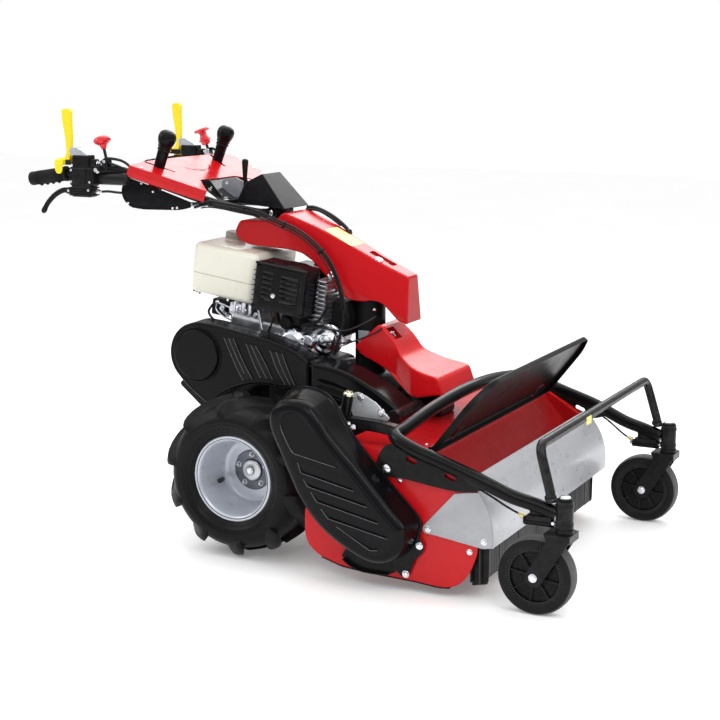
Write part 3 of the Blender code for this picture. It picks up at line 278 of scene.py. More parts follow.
surface("rim_silver", (0.56, 0.585, 0.645), 0.30, metal=0.30, coat=0.10, coat_rough=0.12, tone=0.05, tone_scale=11,
        rvar=0.04, peel=0.02, pscale=260, edge=(0.3, (0.62, 0.64, 0.68)))
surface("hub_grey", (0.12, 0.13, 0.15), 0.38, metal=0.7, tone=0.15, tone_scale=26, rvar=0.09, grain=0.3, gscale=600)
surface("zinc", (0.72, 0.74, 0.78), 0.26, metal=1.0, tone=0.12, tone_scale=60, rvar=0.08, rscale=120, grain=0.15,
        gscale=1300, edge=(0.4, (0.9, 0.9, 0.92)))
surface("yellow_zinc", (0.70, 0.58, 0.26), 0.30, metal=1.0, tone=0.2, tone_scale=70, rvar=0.09, rscale=120, grain=0.15,
        gscale=1200)
surface("pale_zinc", (0.66, 0.66, 0.48), 0.30, metal=1.0, tone=0.15, tone_scale=70, rvar=0.09, rscale=120, grain=0.15,
        gscale=1200)
# darker copy of the galvanised sheet for the flap's side plates: painted shade
surface("galvanised_side", (0.35, 0.355, 0.375), 0.36, metal=0.30, tone=0.05, tone_scale=8, rvar=0.05, spangle=0.018,
        sscale=40, grain=0.02, gscale=500, edge=(0.35, (0.60, 0.61, 0.64)))
surface("galvanised_sheet", (0.52, 0.53, 0.56), 0.32, metal=0.35, tone=0.05, tone_scale=8, rvar=0.05, spangle=0.018,
        sscale=40, grain=0.02, gscale=500, edge=(0.35, (0.80, 0.81, 0.84)))
surface("cast_alloy", (0.46, 0.47, 0.50), 0.36, metal=0.95, tone=0.22, tone_scale=32, rvar=0.12, grain=0.5, gscale=520,
        edge=(0.35, (0.75, 0.76, 0.78)), dust=(0.3, (0.10, 0.095, 0.09)))
surface("bright_alloy", (0.66, 0.68, 0.74), 0.18, metal=1.0, tone=0.15, tone_scale=40, rvar=0.10, rscale=70, grain=0.25,
        gscale=620, edge=(0.35, (0.9, 0.9, 0.93)))
surface("steel_machined", (0.50, 0.51, 0.53), 0.32, metal=1.0, tone=0.15, tone_scale=40, rvar=0.10, streak=0.2,
        flow=(1, 3, 1))
surface("hammer_steel", (0.16, 0.15, 0.14), 0.50, metal=0.85, tone=0.3, tone_scale=24, rvar=0.14, grain=0.5, gscale=340,
        dust=(0.4, (0.20, 0.11, 0.06)))
surface("tank_cream", (0.80, 0.79, 0.68), 0.30, coat=0.3, coat_rough=0.12, tone=0.025, tone_scale=6, rvar=0.05,
        peel=0.12, pscale=240, edge=(0.2, (0.90, 0.89, 0.80)), dust=(0.10, (0.55, 0.53, 0.45)))
surface("yellow_moulded", (0.90, 0.70, 0.005), 0.36, tone=0.05, tone_scale=18, rvar=0.05, grain=0.15, gscale=700,
        edge=(0.2, (0.95, 0.82, 0.15)))
surface("red_moulded", (0.66, 0.012, 0.022), 0.24, coat=0.3, tone=0.06, tone_scale=22, rvar=0.05, grain=0.08,
        gscale=800)
surface("label_yellow", (0.85, 0.72, 0.18), 0.36, tone=0.06, tone_scale=60, rvar=0.05, grain=0.06, gscale=900)
surface("plate_grey", (0.45, 0.48, 0.52), 0.34, metal=0.5, tone=0.06, tone_scale=20, rvar=0.06, peel=0.1, pscale=300,
        spangle=0.05, sscale=90)
surface("brown_cast", (0.09, 0.065, 0.055), 0.55, metal=0.7, tone=0.35, tone_scale=30, rvar=0.15, grain=0.5, gscale=420)
surface("white_floor", (0.90, 0.90, 0.90), 0.60, spec=0.2, tone=0.012, tone_scale=1.2, rvar=0.06, rscale=3.0, grain=0.05,
        gscale=60)
_fb = M["white_floor"].node_tree.nodes["Principled BSDF"]
_fb.inputs["Emission Color"].default_value = (1, 1, 1, 1)
_fb.inputs["Emission Strength"].default_value = 0.16
floor.data.materials.append(M["white_floor"])


# ------------------------------------------------------------------ shapes
class Geo:
    """Vertices and faces with a material number per face."""

    def __init__(self, v=None, f=None, m=0):
        self.v = [Vector(p) for p in (v or [])]
        self.f = [tuple(q) for q in (f or [])]
        self.m = [m] * len(self.f)

    def __iadd__(self, other):
        n = len(self.v)
        self.v += [p.copy() for p in other.v]
        self.f += [tuple(i + n for i in q) for q in other.f]
        self.m += list(other.m)
        return self

    def __add__(self, other):
        g = Geo()
        g += self
        g += other
        return g

    def mat(self, k):
        self.m = [k] * len(self.f)
        return self

    def at(self, mtx):
        self.v = [mtx @ p for p in self.v]
        return self

    def moved(self, x=0, y=0, z=0):
        return self.at(Matrix.Translation((x, y, z)))

    def flipped(self, axis=1):
        """Mirror image through the middle plane."""
        g = Geo()
        g.v = [p.copy() for p in self.v]
        for p in g.v:
            p[axis] = -p[axis]
        g.f = [tuple(reversed(q)) for q in self.f]
        g.m = list(self.m)
        return g


def mesh_of(geo, name="m"):
    me = bpy.data.meshes.new(name)
    me.from_pydata([tuple(p) for p in geo.v], [], geo.f)
    me.polygons.foreach_set("material_index", geo.m)
    me.update()
    return me


def geo_of(me):
    g = Geo()
    g.v = [v.co.copy() for v in me.vertices]
    g.f = [tuple(p.vertices) for p in me.polygons]
    g.m = [p.material_index for p in me.polygons]
    return g


def through(geo, *steps):
    """Send the shape through modifiers, each given as (kind, settings)."""
    me = mesh_of(geo)
    bm = bmesh.new()
    bm.from_mesh(me)
    bmesh.ops.remove_doubles(bm, verts=bm.verts, dist=1e-6)
    bmesh.ops.recalc_face_normals(bm, faces=bm.faces)
    bm.to_mesh(me)
    bm.free()
    ob = bpy.data.objects.new("tmp", me)
    scene.collection.objects.link(ob)
    extra = []
    for kind, settings in steps:
        m = ob.modifiers.new(kind, kind)
        for k, v in settings.items():
            if k == "cutter":
                cm = mesh_of(v)
                bm = bmesh.new()
                bm.from_mesh(cm)
                bmesh.ops.remove_doubles(bm, verts=bm.verts, dist=1e-6)
                bmesh.ops.recalc_face_normals(bm, faces=bm.faces)
                bm.to_mesh(cm)
                bm.free()
                c = bpy.data.objects.new("cut", cm)
                scene.collection.objects.link(c)
                extra.append(c)
                m.object = c
            else:
                setattr(m, k, v)
    bpy.context.view_layer.update()
    out = bpy.data.meshes.new_from_object(ob.evaluated_get(bpy.context.evaluated_depsgraph_get()))
    g = geo_of(out)
    bpy.data.meshes.remove(out)
    for o in [ob] + extra:
        d = o.data
        bpy.data.objects.remove(o, do_unlink=True)
        bpy.data.meshes.remove(d)
    return g


def bevelled(geo, width, segments=2, angle=30):
    return through(geo, ('BEVEL', dict(width=width, segments=segments, limit_method='ANGLE',
                                       angle_limit=math.radians(angle), use_clamp_overlap=True, miter_outer='MITER_ARC')))


def cut(geo, *others):
    for o in others:
        geo = through(geo, ('BOOLEAN', dict(operation='DIFFERENCE', solver='EXACT', cutter=o)))
    return geo


def box(x, y, z, bevel=0.0, segments=2):
    v = [(x[i], y[j], z[k]) for i in (0, 1) for j in (0, 1) for k in (0, 1)]
    f = [(0, 1, 3, 2), (4, 6, 7, 5), (0, 4, 5, 1), (2, 3, 7, 6), (0, 2, 6, 4), (1, 5, 7, 3)]
    g = Geo(v, f)
    return bevelled(g, bevel, segments) if bevel else g


def lathe(profile, centre, axis, steps=48, phase=0.0):
    """Closed or open profile of (radius, height) turned about an axis."""
    q = Vector((0, 0, 1)).rotation_difference(Vector(axis).normalized())
    mtx = Matrix.Translation(centre) @ q.to_matrix().to_4x4()
    g = Geo()
    rows = []
    for r, h in profile:
        if r < 1e-7:
            rows.append([len(g.v)])
            g.v.append(mtx @ Vector((0, 0, h)))
        else:
            rows.append(list(range(len(g.v), len(g.v) + steps)))
            for i in range(steps):
                a = 2 * math.pi * i / steps + phase
                g.v.append(mtx @ Vector((r * math.cos(a), r * math.sin(a), h)))
    pairs = list(zip(rows, rows[1:]))
    if profile[0][0] > 1e-7 and profile[-1][0] > 1e-7 and profile[0] != profile[-1]:
        pairs.append((rows[-1], rows[0]))
    for a, b in pairs:
        for i in range(steps):
            j = (i + 1) % steps
            if len(a) == 1 and len(b) == 1:
                continue
            if len(a) == 1:
                g.f.append((a[0], b[j], b[i]))
            elif len(b) == 1:
                g.f.append((a[i], a[j], b[0]))
            else:
                g.f.append((a[i], a[j], b[j], b[i]))
    g.m = [0] * len(g.f)
    return g


def filleted(pts, r, n=3, closed=False):
    """Round the corners of a polyline."""
    P = [Vector(p) for p in pts]
    out = []
    cnt = len(P)
    for i in range(cnt):
        if not closed and i in (0, cnt - 1):
            out.append(tuple(P[i]))
            continue
        a, b, c = P[i - 1], P[i], P[(i + 1) % cnt]
        u, w = a - b, c - b
        if u.length < 1e-7 or w.length < 1e-7:
            out.append(tuple(b))
            continue
        rr = r[i] if isinstance(r, (list, tuple)) else r
        k = min(rr, u.length * .48, w.length * .48)
        if k < 1e-6 or u.normalized().dot(w.normalized()) < -0.9995:
            out.append(tuple(b))
            continue
        p, q = b + u.normalized() * k, b + w.normalized() * k
        for j in range(n + 1):
            t = j / n
            out.append(tuple((1 - t) ** 2 * p + 2 * t * (1 - t) * b + t * t * q))
    return out


def smooth_path(points, per=6):
    P = [Vector(p) for p in points]
    P = [P[0] * 2 - P[1]] + P + [P[-1] * 2 - P[-2]]
    out = []
    for a, b, c, d in zip(P, P[1:], P[2:], P[3:]):
        for i in range(per):
            t = i / per
            out.append(0.5 * ((2 * b) + (c - a) * t + (2 * a - 5 * b + 4 * c - d) * t * t
                              + (3 * b - a - 3 * c + d) * t ** 3))
    out.append(P[-2])
    return out


def sweep(path, r, sides=16, caps=True, dome=False):
    """Round bar along a path; r is a number or a function of the share of the length."""
    P = [Vector(p) for p in path]
    L = [0.0]
    for a, b in zip(P, P[1:]):
        L.append(L[-1] + (b - a).length)
    T = []
    for i in range(len(P)):
        a = P[max(i - 1, 0)]
        b = P[min(i + 1, len(P) - 1)]
        T.append((b - a).normalized())
    ref = Vector((0, 0, 1)) if abs(T[0].z) < 0.9 else Vector((1, 0, 0))
    n = (ref - T[0] * ref.dot(T[0])).normalized()
    g = Geo()
    rings = []
    for i, p in enumerate(P):
        n = (n - T[i] * n.dot(T[i])).normalized()
        b = T[i].cross(n)
        t = L[i] / L[-1]
        rr = r(t) if callable(r) else r
        rings.append(list(range(len(g.v), len(g.v) + sides)))
        for k in range(sides):
            a = 2 * math.pi * k / sides
            g.v.append(p + (n * math.cos(a) + b * math.sin(a)) * rr)
    for a, b in zip(rings, rings[1:]):
        for k in range(sides):
            j = (k + 1) % sides
            g.f.append((a[k], a[j], b[j], b[k]))
    if caps:
        g.f.append(tuple(reversed(rings[0])))
        g.f.append(tuple(rings[-1]))
    g.m = [0] * len(g.f)
    return g


def rod(a, b, r, steps=24, chamfer=0.0):
    a, b = Vector(a), Vector(b)
    h = (b - a).length
    c = min(chamfer, r * .6, h * .4)
    prof = [(0, h), (r - c, h), (r, h - c), (r, c), (r - c, 0), (0, 0)] if c else [(0, h), (r, h), (r, 0), (0, 0)]
    return lathe(prof, a, b - a, steps)


AX = {'Y': Matrix(((1, 0, 0, 0), (0, 0, -1, 0), (0, 1, 0, 0), (0, 0, 0, 1))),
      'X': Matrix(((0, 0, 1, 0), (1, 0, 0, 0), (0, 1, 0, 0), (0, 0, 0, 1))),
      'Z': Matrix.Identity(4)}


def prism(pts, lo, hi, axis='Y', bevel=0.0, segments=2, angle=30):
    """Flat outline between two planes. Axis Y: points are (x, z); Z: (x, y); X: (y, z)."""
    sgn = -1 if axis == 'Y' else 1
    g = Geo()
    n = len(pts)
    for h in (lo, hi):
        g.v += [AX[axis] @ Vector((p[0], p[1], sgn * h)) for p in pts]
    g.f = [tuple(reversed(range(n))), tuple(range(n, 2 * n))] + [(i, (i + 1) % n, n + (i + 1) % n, n + i) for i in range(n)]
    g.m = [0] * len(g.f)
    return bevelled(g, bevel, segments, angle) if bevel else g


def plate(loops, lo, hi, axis='Y', bevel=0.0, segments=1, angle=40):
    """Flat sheet with holes."""
    sgn = -1 if axis == 'Y' else 1
    pts, edges = [], []
    for lp in loops:
        s = len(pts)
        pts += [Vector((p[0], p[1])) for p in lp]
        edges += [(s + i, s + (i + 1) % len(lp)) for i in range(len(lp))]
    vo, eo, fo, _, _, _ = delaunay_2d_cdt(pts, edges, [], 0, 1e-7)

    def inside(p):
        hit = False
        for lp in loops:
            for i in range(len(lp)):
                (x0, y0), (x1, y1) = lp[i][:2], lp[(i + 1) % len(lp)][:2]
                if (y0 > p.y) != (y1 > p.y) and p.x < (x1 - x0) * (p.y - y0) / (y1 - y0) + x0:
                    hit = not hit
        return hit
    keep = [f for f in fo if inside(sum((vo[i] for i in f), Vector((0, 0))) / len(f))]
    g = Geo()
    n = len(vo)
    for h in (lo, hi):
        g.v += [AX[axis] @ Vector((p.x, p.y, sgn * h)) for p in vo]
    count = {}
    for f in keep:
        for a, b in zip(f, f[1:] + f[:1]):
            count[(a, b)] = 1
    for f in keep:
        g.f.append(tuple(reversed(f)))
        g.f.append(tuple(i + n for i in f))
    for (a, b) in count:
        if (b, a) not in count:
            g.f.append((a, b, b + n, a + n))
    g.m = [0] * len(g.f)
    bmx = through(g)
    me = mesh_of(bmx)
    bm = bmesh.new()
    bm.from_mesh(me)
    bmesh.ops.dissolve_limit(bm, angle_limit=math.radians(1), verts=bm.verts, edges=bm.edges)
    bm.to_mesh(me)
    bm.free()
    g = geo_of(me)
    bpy.data.meshes.remove(me)
    return bevelled(g, bevel, segments, angle) if bevel else g


def arc(cx, cz, r, a0, a1, n):
    return [(cx + r * math.cos(math.radians(a0 + (a1 - a0) * i / n)),
             cz + r * math.sin(math.radians(a0 + (a1 - a0) * i / n))) for i in range(n + 1)]


def circle(cx, cz, r, n=32):
    return arc(cx, cz, r, 0, 360 * (n - 1) / n, n - 1)


def inset(pts, d):
    """Every side of a polygon moved inwards by d."""
    n = len(pts)
    area = sum(pts[i][0] * pts[(i + 1) % n][1] - pts[(i + 1) % n][0] * pts[i][1] for i in range(n))
    s = 1 if area > 0 else -1
    ds = [d] * n if isinstance(d, (int, float)) else list(d)
    lines = []
    for i in range(n):
        (x0, y0), (x1, y1) = pts[i][:2], pts[(i + 1) % n][:2]
        dx, dy = x1 - x0, y1 - y0
        k = math.hypot(dx, dy) or 1e-9
        nx, ny = -dy / k * s, dx / k * s
        lines.append((x0 + nx * ds[i], y0 + ny * ds[i], dx / k, dy / k))
    out = []
    for i in range(n):
        x0, y0, ax, ay = lines[i - 1]
        x1, y1, bx, by = lines[i]
        det = ax * by - ay * bx
        if abs(det) < 1e-6:
            out.append((x1, y1))
        else:
            t = ((x1 - x0) * by - (y1 - y0) * bx) / det
            out.append((x0 + ax * t, y0 + ay * t))
    return out


def loft(rings, cap_first=False, cap_last=False):
    g = Geo()
    n = len(rings[0])
    for r in rings:
        g.v += [Vector(p) for p in r]
    for k in range(len(rings) - 1):
        for i in range(n):
            j = (i + 1) % n
            g.f.append((k * n + i, k * n + j, (k + 1) * n + j, (k + 1) * n + i))
    if cap_first:
        g.f.append(tuple(reversed(range(n))))
    if cap_last:
        g.f.append(tuple(range((len(rings) - 1) * n, len(rings) * n)))
    g.m = [0] * len(g.f)
    return g


def relief(outline_pts, spacing, height, place):
    """Face filled with a fine grid whose points are raised by height(u, w)."""
    us = [p[0] for p in outline_pts]
    ws = [p[1] for p in outline_pts]
    pts = [Vector((p[0], p[1])) for p in outline_pts]
    n = len(pts)
    edges = [(i, (i + 1) % n) for i in range(n)]

    def inside(x, y):
        hit = False
        for i in range(n):
            x0, y0 = outline_pts[i][:2]
            x1, y1 = outline_pts[(i + 1) % n][:2]
            if (y0 > y) != (y1 > y) and x < (x1 - x0) * (y - y0) / (y1 - y0) + x0:
                hit = not hit
        return hit

    def near(x, y):
        best = 1e9
        for i in range(n):
            a, b = pts[i], pts[(i + 1) % n]
            ab = b - a
            t = max(0, min(1, ((x - a.x) * ab.x + (y - a.y) * ab.y) / max(ab.length_squared, 1e-12)))
            d = math.hypot(a.x + ab.x * t - x, a.y + ab.y * t - y)
            best = min(best, d)
        return best
    x = min(us)
    row = 0
    while x < max(us):
        y = min(ws) + (spacing / 2 if row % 2 else 0)
        while y < max(ws):
            if inside(x, y) and near(x, y) > spacing * .55:
                pts.append(Vector((x, y)))
            y += spacing
        x += spacing * .866
        row += 1
    vo, eo, fo, _, _, _ = delaunay_2d_cdt(pts, edges, [], 1, 1e-7)
    g = Geo()
    g.v = [Vector(place(p.x, p.y, height(p.x, p.y))) for p in vo]
    g.f = [tuple(f) for f in fo]
    g.m = [0] * len(g.f)
    return g


def step(x, a, b):
    t = max(0.0, min(1.0, (x - a) / (b - a)))
    return t * t * (3 - 2 * t)


def ramp(x, table):
    if x <= table[0][0]:
        return table[0][1]
    for (a, p), (b, q) in zip(table, table[1:]):
        if x <= b:
            return p + (q - p) * (x - a) / (b - a)
    return table[-1][1]


def frame_at(at, axis, spin=0.0):
    q = Vector((0, 0, 1)).rotation_difference(Vector(axis).normalized())
    return Matrix.Translation(at) @ q.to_matrix().to_4x4() @ Matrix.Rotation(spin, 4, 'Z')


def hex_bolt(at, axis, af=0.013, h=0.0055, washer=0.0, spin=0.2, shank=0.006):
    """Hexagon head with chamfered corners, on a washer, standing on a face."""
    r = af / math.sqrt(3)
    g = Geo()
    w = 0.0
    if washer:
        w = 0.0014
        g += lathe([(0, w), (washer * .92, w), (washer, w * .6), (washer, -.001), (0, -.001)], (0, 0, 0), (0, 0, 1), 28)
    rings = []
    for z, k in ((w - .0002, 1.0), (w + h * .80, 1.0), (w + h, .86)):
        ring = []
        for i in range(24):
            a = 2 * math.pi * i / 24
            sector = (a % (math.pi / 3)) - math.pi / 6
            rr = r * math.cos(math.pi / 6) / math.cos(sector)
            ring.append((min(rr, r * .985) * k * math.cos(a), min(rr, r * .985) * k * math.sin(a), z))
        rings.append(ring)
    g += loft(rings, True, True)
    return g.at(frame_at(at, axis, spin))


def dome_bolt(at, axis, r=0.011, h=0.006):
    """Round headed coach bolt on a face."""
    prof = [(0, h)] + [(r * math.sin(math.radians(a)), h * math.cos(math.radians(a))) for a in range(12, 91, 13)] + \
           [(r, -.0005), (0, -.0005)]
    return lathe(prof, at, axis, 28)


def socket_screw(at, axis, r=0.0055, h=0.005):
    prof = [(0, h * .45), (r * .5, h * .45), (r * .52, h), (r * .9, h), (r, h * .85), (r, -.0005), (0, -.0005)]
    return lathe(prof, at, axis, 20)


def nut(at, axis, af=0.013, h=0.006, bolt=0.004):
    g = hex_bolt((0, 0, 0), (0, 0, 1), af, h, washer=af * .78)
    g += lathe([(0, h + .0045), (bolt * .8, h + .0045), (bolt, h + .0035), (bolt, 0), (0, 0)], (0, 0, 0), (0, 0, 1), 16)
    return g.at(frame_at(at, axis))


ALL = []


def make(name, geo, mats, body, node=(), mtx=None, angle=35, weld=True):
    """Finished piece in its place, on its body."""
    me = mesh_of(geo, name)
    if mtx is not None:
        me.transform(mtx)
    me.transform(SHIFT)
    bm = bmesh.new()
    bm.from_mesh(me)
    if weld:
        bmesh.ops.remove_doubles(bm, verts=bm.verts, dist=2e-6)
    bmesh.ops.recalc_face_normals(bm, faces=bm.faces)
    loose = [v for v in bm.verts if not v.link_faces]
    if loose:
        bmesh.ops.delete(bm, geom=loose, context='VERTS')
    bm.to_mesh(me)
    bm.free()
    for m in ([mats] if isinstance(mats, str) else mats):
        me.materials.append(M[m])
    me.shade_smooth()
    me.set_sharp_from_angle(angle=math.radians(angle))
    ob = bpy.data.objects.new(name, me)
    scene.collection.objects.link(ob)
    wn_ = ob.modifiers.new("normals", 'WEIGHTED_NORMAL')
    wn_.keep_sharp = True
    wn_.weight = 60
    if body:
        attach(ob, body)
    for n in ([node] if isinstance(node, str) else node):
        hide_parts(n)
    ALL.append(ob)
    return ob


SIDES = (("right", -1), ("left", 1))

# =============================================================== rear wheels
AXLE_Z, TRACK = 0.226, 0.322
CARCASS = [(.1205, .0864), (.1222, .0882), (.1262, .0922), (.1310, .0975), (.1330, .0970), (.1400, .1030), (.1440, .1050), (.1500, .1072),
           (.1540, .1086), (.1565, .1078), (.1620, .1088), (.1700, .1076), (.1780, .1035), (.1860, .0955), (.1930, .0850),
           (.1985, .0710), (.2030, .0520), (.2055, .0280), (.2065, .0)]


def lug(phi0, s):
    """One tread bar: from the middle of the tread to the shoulder and down the sidewall."""
    rows = [(-.006, .2255, .2060, 2.8, 2.6), (.020, .2260, .2058, 2.9, 2.8), (.045, .2252, .2042, 3.1, 3.4),
            (.0640, .2225, .2005, 3.3, 5.0), (.0800, .2178, .1950, 3.2, 7.5), (.0910, .2112, .1890, 2.8, 9.5),
            (.0985, .2036, .1835, 2.4, 10.0), (.1035, .1950, .1778, 2.1, 9.0), (.1070, .1858, .1730, 1.9, 7.0),
            (.1092, .1760, .1700, 1.7, 5.0)]
    g = Geo()
    n = 7
    for y, rt, rb, w, grad in rows:
        turn = -26.0 * min(max(y, -.006), .0985) / .0985
        mid = phi0 + turn
        steep = .9
        k = max(0.0, min(1.0, (y - .080) / .02))
        rbb, yb = rb, y - .0045 * k
        prof = [(mid - w - steep, rbb, yb), (mid - w - .25, rt - .0022, y), (mid - w + .35, rt, y), (mid + w * .2, rt, y),
                (mid + w - .2, rt - .0008, y), (mid + w + grad * .35, rt * .45 + rb * .55, (y + yb) / 2), (mid + w + grad, rbb, yb)]
        for a, r, yy in prof:
            t = math.radians(a)
            g.v.append(Vector((r * math.sin(t), s * yy, r * math.cos(t))))
    m = len(rows)
    for i in range(m - 1):
        for j in range(n - 1):
            g.f.append((i * n + j, i * n + j + 1, (i + 1) * n + j + 1, (i + 1) * n + j))
        g.f.append((i * n + n - 1, i * n, (i + 1) * n, (i + 1) * n + n - 1))
    g.f.append(tuple(range(n - 1, -1, -1)))
    g.f.append(tuple((m - 1) * n + j for j in range(n)))
    g.m = [0] * len(g.f)
    return g


one_r = lug(0, -1)
one_l = lug(0, 1)
for side, s in SIDES:
    c = Vector((0, s * TRACK, AXLE_Z))
    half = [(r, h) for r, h in CARCASS]
    prof = filleted(half, .002, 2) + [(r, -h) for r, h in reversed(filleted(half, .002, 2)[:-1])]
    prof += [(.1120, -.0900), (.1060, -.0500), (.1060, .0500), (.1120, .0900)]
    g = lathe(prof, (0, 0, 0), (0, 1, 0), 120)
    for i in range(10):
        turn = Matrix.Rotation(math.radians(36 * i + 17), 4, 'Y')
        half_turn = Matrix.Rotation(math.radians(36 * i + 35), 4, 'Y')
        g += Geo(one_r.v, one_r.f).at(turn)
        g += Geo(one_l.v, one_l.f).at(half_turn)
    # raised bead line and small moulding ribs round the sidewall
    for k in range(60):
        a = math.radians(6 * k)
        for e in (-1, 1):
            g += box((-.0006, .0006), (e * .1036, e * .1062), (.1405, .1465)).at(Matrix.Rotation(a, 4, 'Y'))
    make(f"tyre_tread_{side}", g, "tyre_rubber", f"wheel_{side}", f"tyre_{side}", Matrix.Translation(c), 38, weld=False)

    # deep-dished rim with rolled flanges and a well
    rp = [(.1090, .4092), (.1125, .4110), (.1165, .4118), (.1195, .4110), (.1210, .4085), (.1200, .4040), (.1150, .4005), (.1075, .3990),
          (.1050, .3780), (.1015, .3500), (.0975, .3200), (.1010, .2970), (.1045, .2420), (.1130, .2400), (.1190, .2380),
          (.1208, .2345), (.1190, .2325), (.1165, .2335), (.1150, .2380), (.1060, .2385), (.1020, .2420), (.0975, .2870),
          (.0640, .2906), (.0311, .2907), (.0311, .2957), (.0640, .2957), (.0780, .2962), (.0880, .2990), (.0935, .3080),
          (.0955, .3230), (.0988, .3500), (.1018, .3780), (.1036, .3960), (.1056, .4050)]
    rp = filleted(rp, .0022, 2, closed=True)
    rim = lathe(rp + [rp[0]], (0, 0, AXLE_Z), (0, s, 0), 96)
    # plate, wheel bolts and valve
    rim += lathe(filleted([(.0315, .2950), (.0315, .2990), (.0560, .2990), (.0580, .2950)], .0012, 2), (0, 0, AXLE_Z), (0, s, 0), 64).mat(1)
    for k in range(5):
        a = math.radians(72 * k + 20)
        rim += nut((.0445 * math.cos(a), s * .2988, AXLE_Z + .0445 * math.sin(a)), (0, s, 0), .0105, .0060, .0036).mat(4)
    va = math.radians(200)
    vx, vz = .0860 * math.cos(va), .0860 * math.sin(va)
    rim += sweep([(vx * 1.07, s * .3180, AXLE_Z + vz * 1.07), (vx, s * .3250, AXLE_Z + vz), (vx * .93, s * .3420, AXLE_Z + vz * .93)],
                 .0062, 16).mat(3)
    rim += rod((vx * .93, s * .3415, AXLE_Z + vz * .93), (vx * .895, s * .3580, AXLE_Z + vz * .895), .0070, 16, .001).mat(3)
    make(f"wheel_rim_{side}", rim, ["rim_silver", "hub_grey", "zinc", "hose_rubber", "steel_machined"], f"wheel_{side}", f"rim_{side}")

    hub = lathe(filleted([(0, .3150), (.0105, .3150), (.0118, .3135), (.0118, .3075), (.0180, .3065), (.0270, .3060), (.0303, .3040),
                          (.0303, .2904), (.0480, .2904), (.0480, .2805), (.0180, .2750), (.0180, .1400), (0, .1400)], .001, 2),
                (0, 0, AXLE_Z), (0, s, 0), 56)
    hub += nut((0, s * .3055, AXLE_Z), (0, s, 0), .0200, .0085, .0070).mat(1)
    for k in range(5):
        a = math.radians(72 * k + 20)
        hub += hex_bolt((.0410 * math.cos(a), s * .2803, AXLE_Z + .0410 * math.sin(a)), (0, -s, 0), .013, .006).mat(1)
    make(f"hub_shaft_{side}", hub, ["steel_machined", "zinc"], f"wheel_{side}", f"axle_hub_{side}")

# ============================================================== side cover
FRONT = [(.1835, .4321), (.1931, .3973), (.2180, .3470), (.2440, .2920), (.2720, .2380), (.3160, .1818), (.3600, .1440), (.4132, .1130),
         (.4640, .0915), (.5013, .0880), (.5315, .0966), (.5600, .1190), (.5760, .1500), (.5800, .1780), (.5750, .2030),
         (.5221, .2570), (.4466, .3385), (.3704, .4150), (.3340, .4600), (.3080, .4850), (.2760, .4965), (.2451, .4965),
         (.2130, .4870), (.1920, .4640)]
BACK = [(.1790, .4330), (.1890, .3950), (.2150, .3440), (.2430, .2890), (.2700, .2370), (.3130, .1810), (.3580, .1420), (.4110, .1100),
        (.4640, .0880), (.5030, .0850), (.5360, .0930), (.5680, .1170), (.5850, .1480), (.5920, .1780), (.5890, .2040),
        (.5340, .2600), (.4590, .3370), (.3930, .4130), (.3520, .4780), (.3170, .5080), (.2720, .5190), (.2350, .5140),
        (.2050, .4970), (.1850, .4690)]


def round_trip(pts, n=8):
    """Smooth closed curve through the points."""
    out = []
    k = len(pts)
    for i in range(k):
        p0, p1, p2, p3 = (Vector(pts[(i + j) % k]) for j in (-1, 0, 1, 2))
        for j in range(n):
            t = j / n
            out.append(tuple(.5 * (2 * p1 + (p2 - p0) * t + (2 * p0 - 5 * p1 + 4 * p2 - p3) * t * t + (3 * p1 - p0 - 3 * p2 + p3) * t ** 3)))
    return out


cov_f, cov_b = round_trip(FRONT), round_trip(BACK)


def cover_ring(t, d, y):
    """Outline at a depth: t runs from the back flange (0) to the front edge (1)."""
    mid = [(p[0] * (1 - t) + q[0] * t, p[1] * (1 - t) + q[1] * t) for p, q in zip(cov_b, cov_f)]
    return [(p[0], y, p[1]) for p in inset(mid, d)]


def pierced(outline_pts, holes, place):
    """Flat face with holes, between outlines that are kept as they are."""
    pts, edges = [], []
    for loop in [outline_pts] + holes:
        k0 = len(pts)
        pts += [Vector((p[0], p[1])) for p in loop]
        edges += [(k0 + i, k0 + (i + 1) % len(loop)) for i in range(len(loop))]
    vo, eo, fo, _, _, _ = delaunay_2d_cdt(pts, edges, [], 1, 1e-7)

    def within(c, loop):
        hit = False
        for i in range(len(loop)):
            x0, y0 = loop[i][:2]
            x1, y1 = loop[(i + 1) % len(loop)][:2]
            if (y0 > c.y) != (y1 > c.y) and c.x < (x1 - x0) * (c.y - y0) / (y1 - y0) + x0:
                hit = not hit
        return hit
    g = Geo()
    g.v = [Vector(place(p.x, p.y)) for p in vo]
    for f in fo:
        c = sum((vo[i] for i in f), Vector((0, 0))) / len(f)
        if within(c, outline_pts) and not any(within(c, h) for h in holes):
            g.f.append(tuple(f))
    g.m = [0] * len(g.f)
    return g


rings = [cover_ring(0, .0035, -.4592), cover_ring(0, .0, -.4600), cover_ring(0, -.0010, -.4612), cover_ring(0, -.0010, -.4650), cover_ring(0, .0, -.4664),
         cover_ring(.04, .0030, -.4668), cover_ring(.10, .0034, -.4690), cover_ring(.55, .0020, -.4900), cover_ring(.72, .0016, -.4980),
         cover_ring(.74, .0004, -.4990), cover_ring(.78, .0, -.5010), cover_ring(1, .0, -.5160)]
for k in range(1, 15):
    a_ = math.radians(90 * k / 14)
    rings.append(cover_ring(1, .0250 * (1 - math.cos(a_)), -.5160 - .0275 * math.sin(a_)))
FY = -.5442
rings.append(cover_ring(1, .0275, FY))
g = loft(rings)
inner = [(p[0], p[2]) for p in cover_ring(1, .0275, FY)]
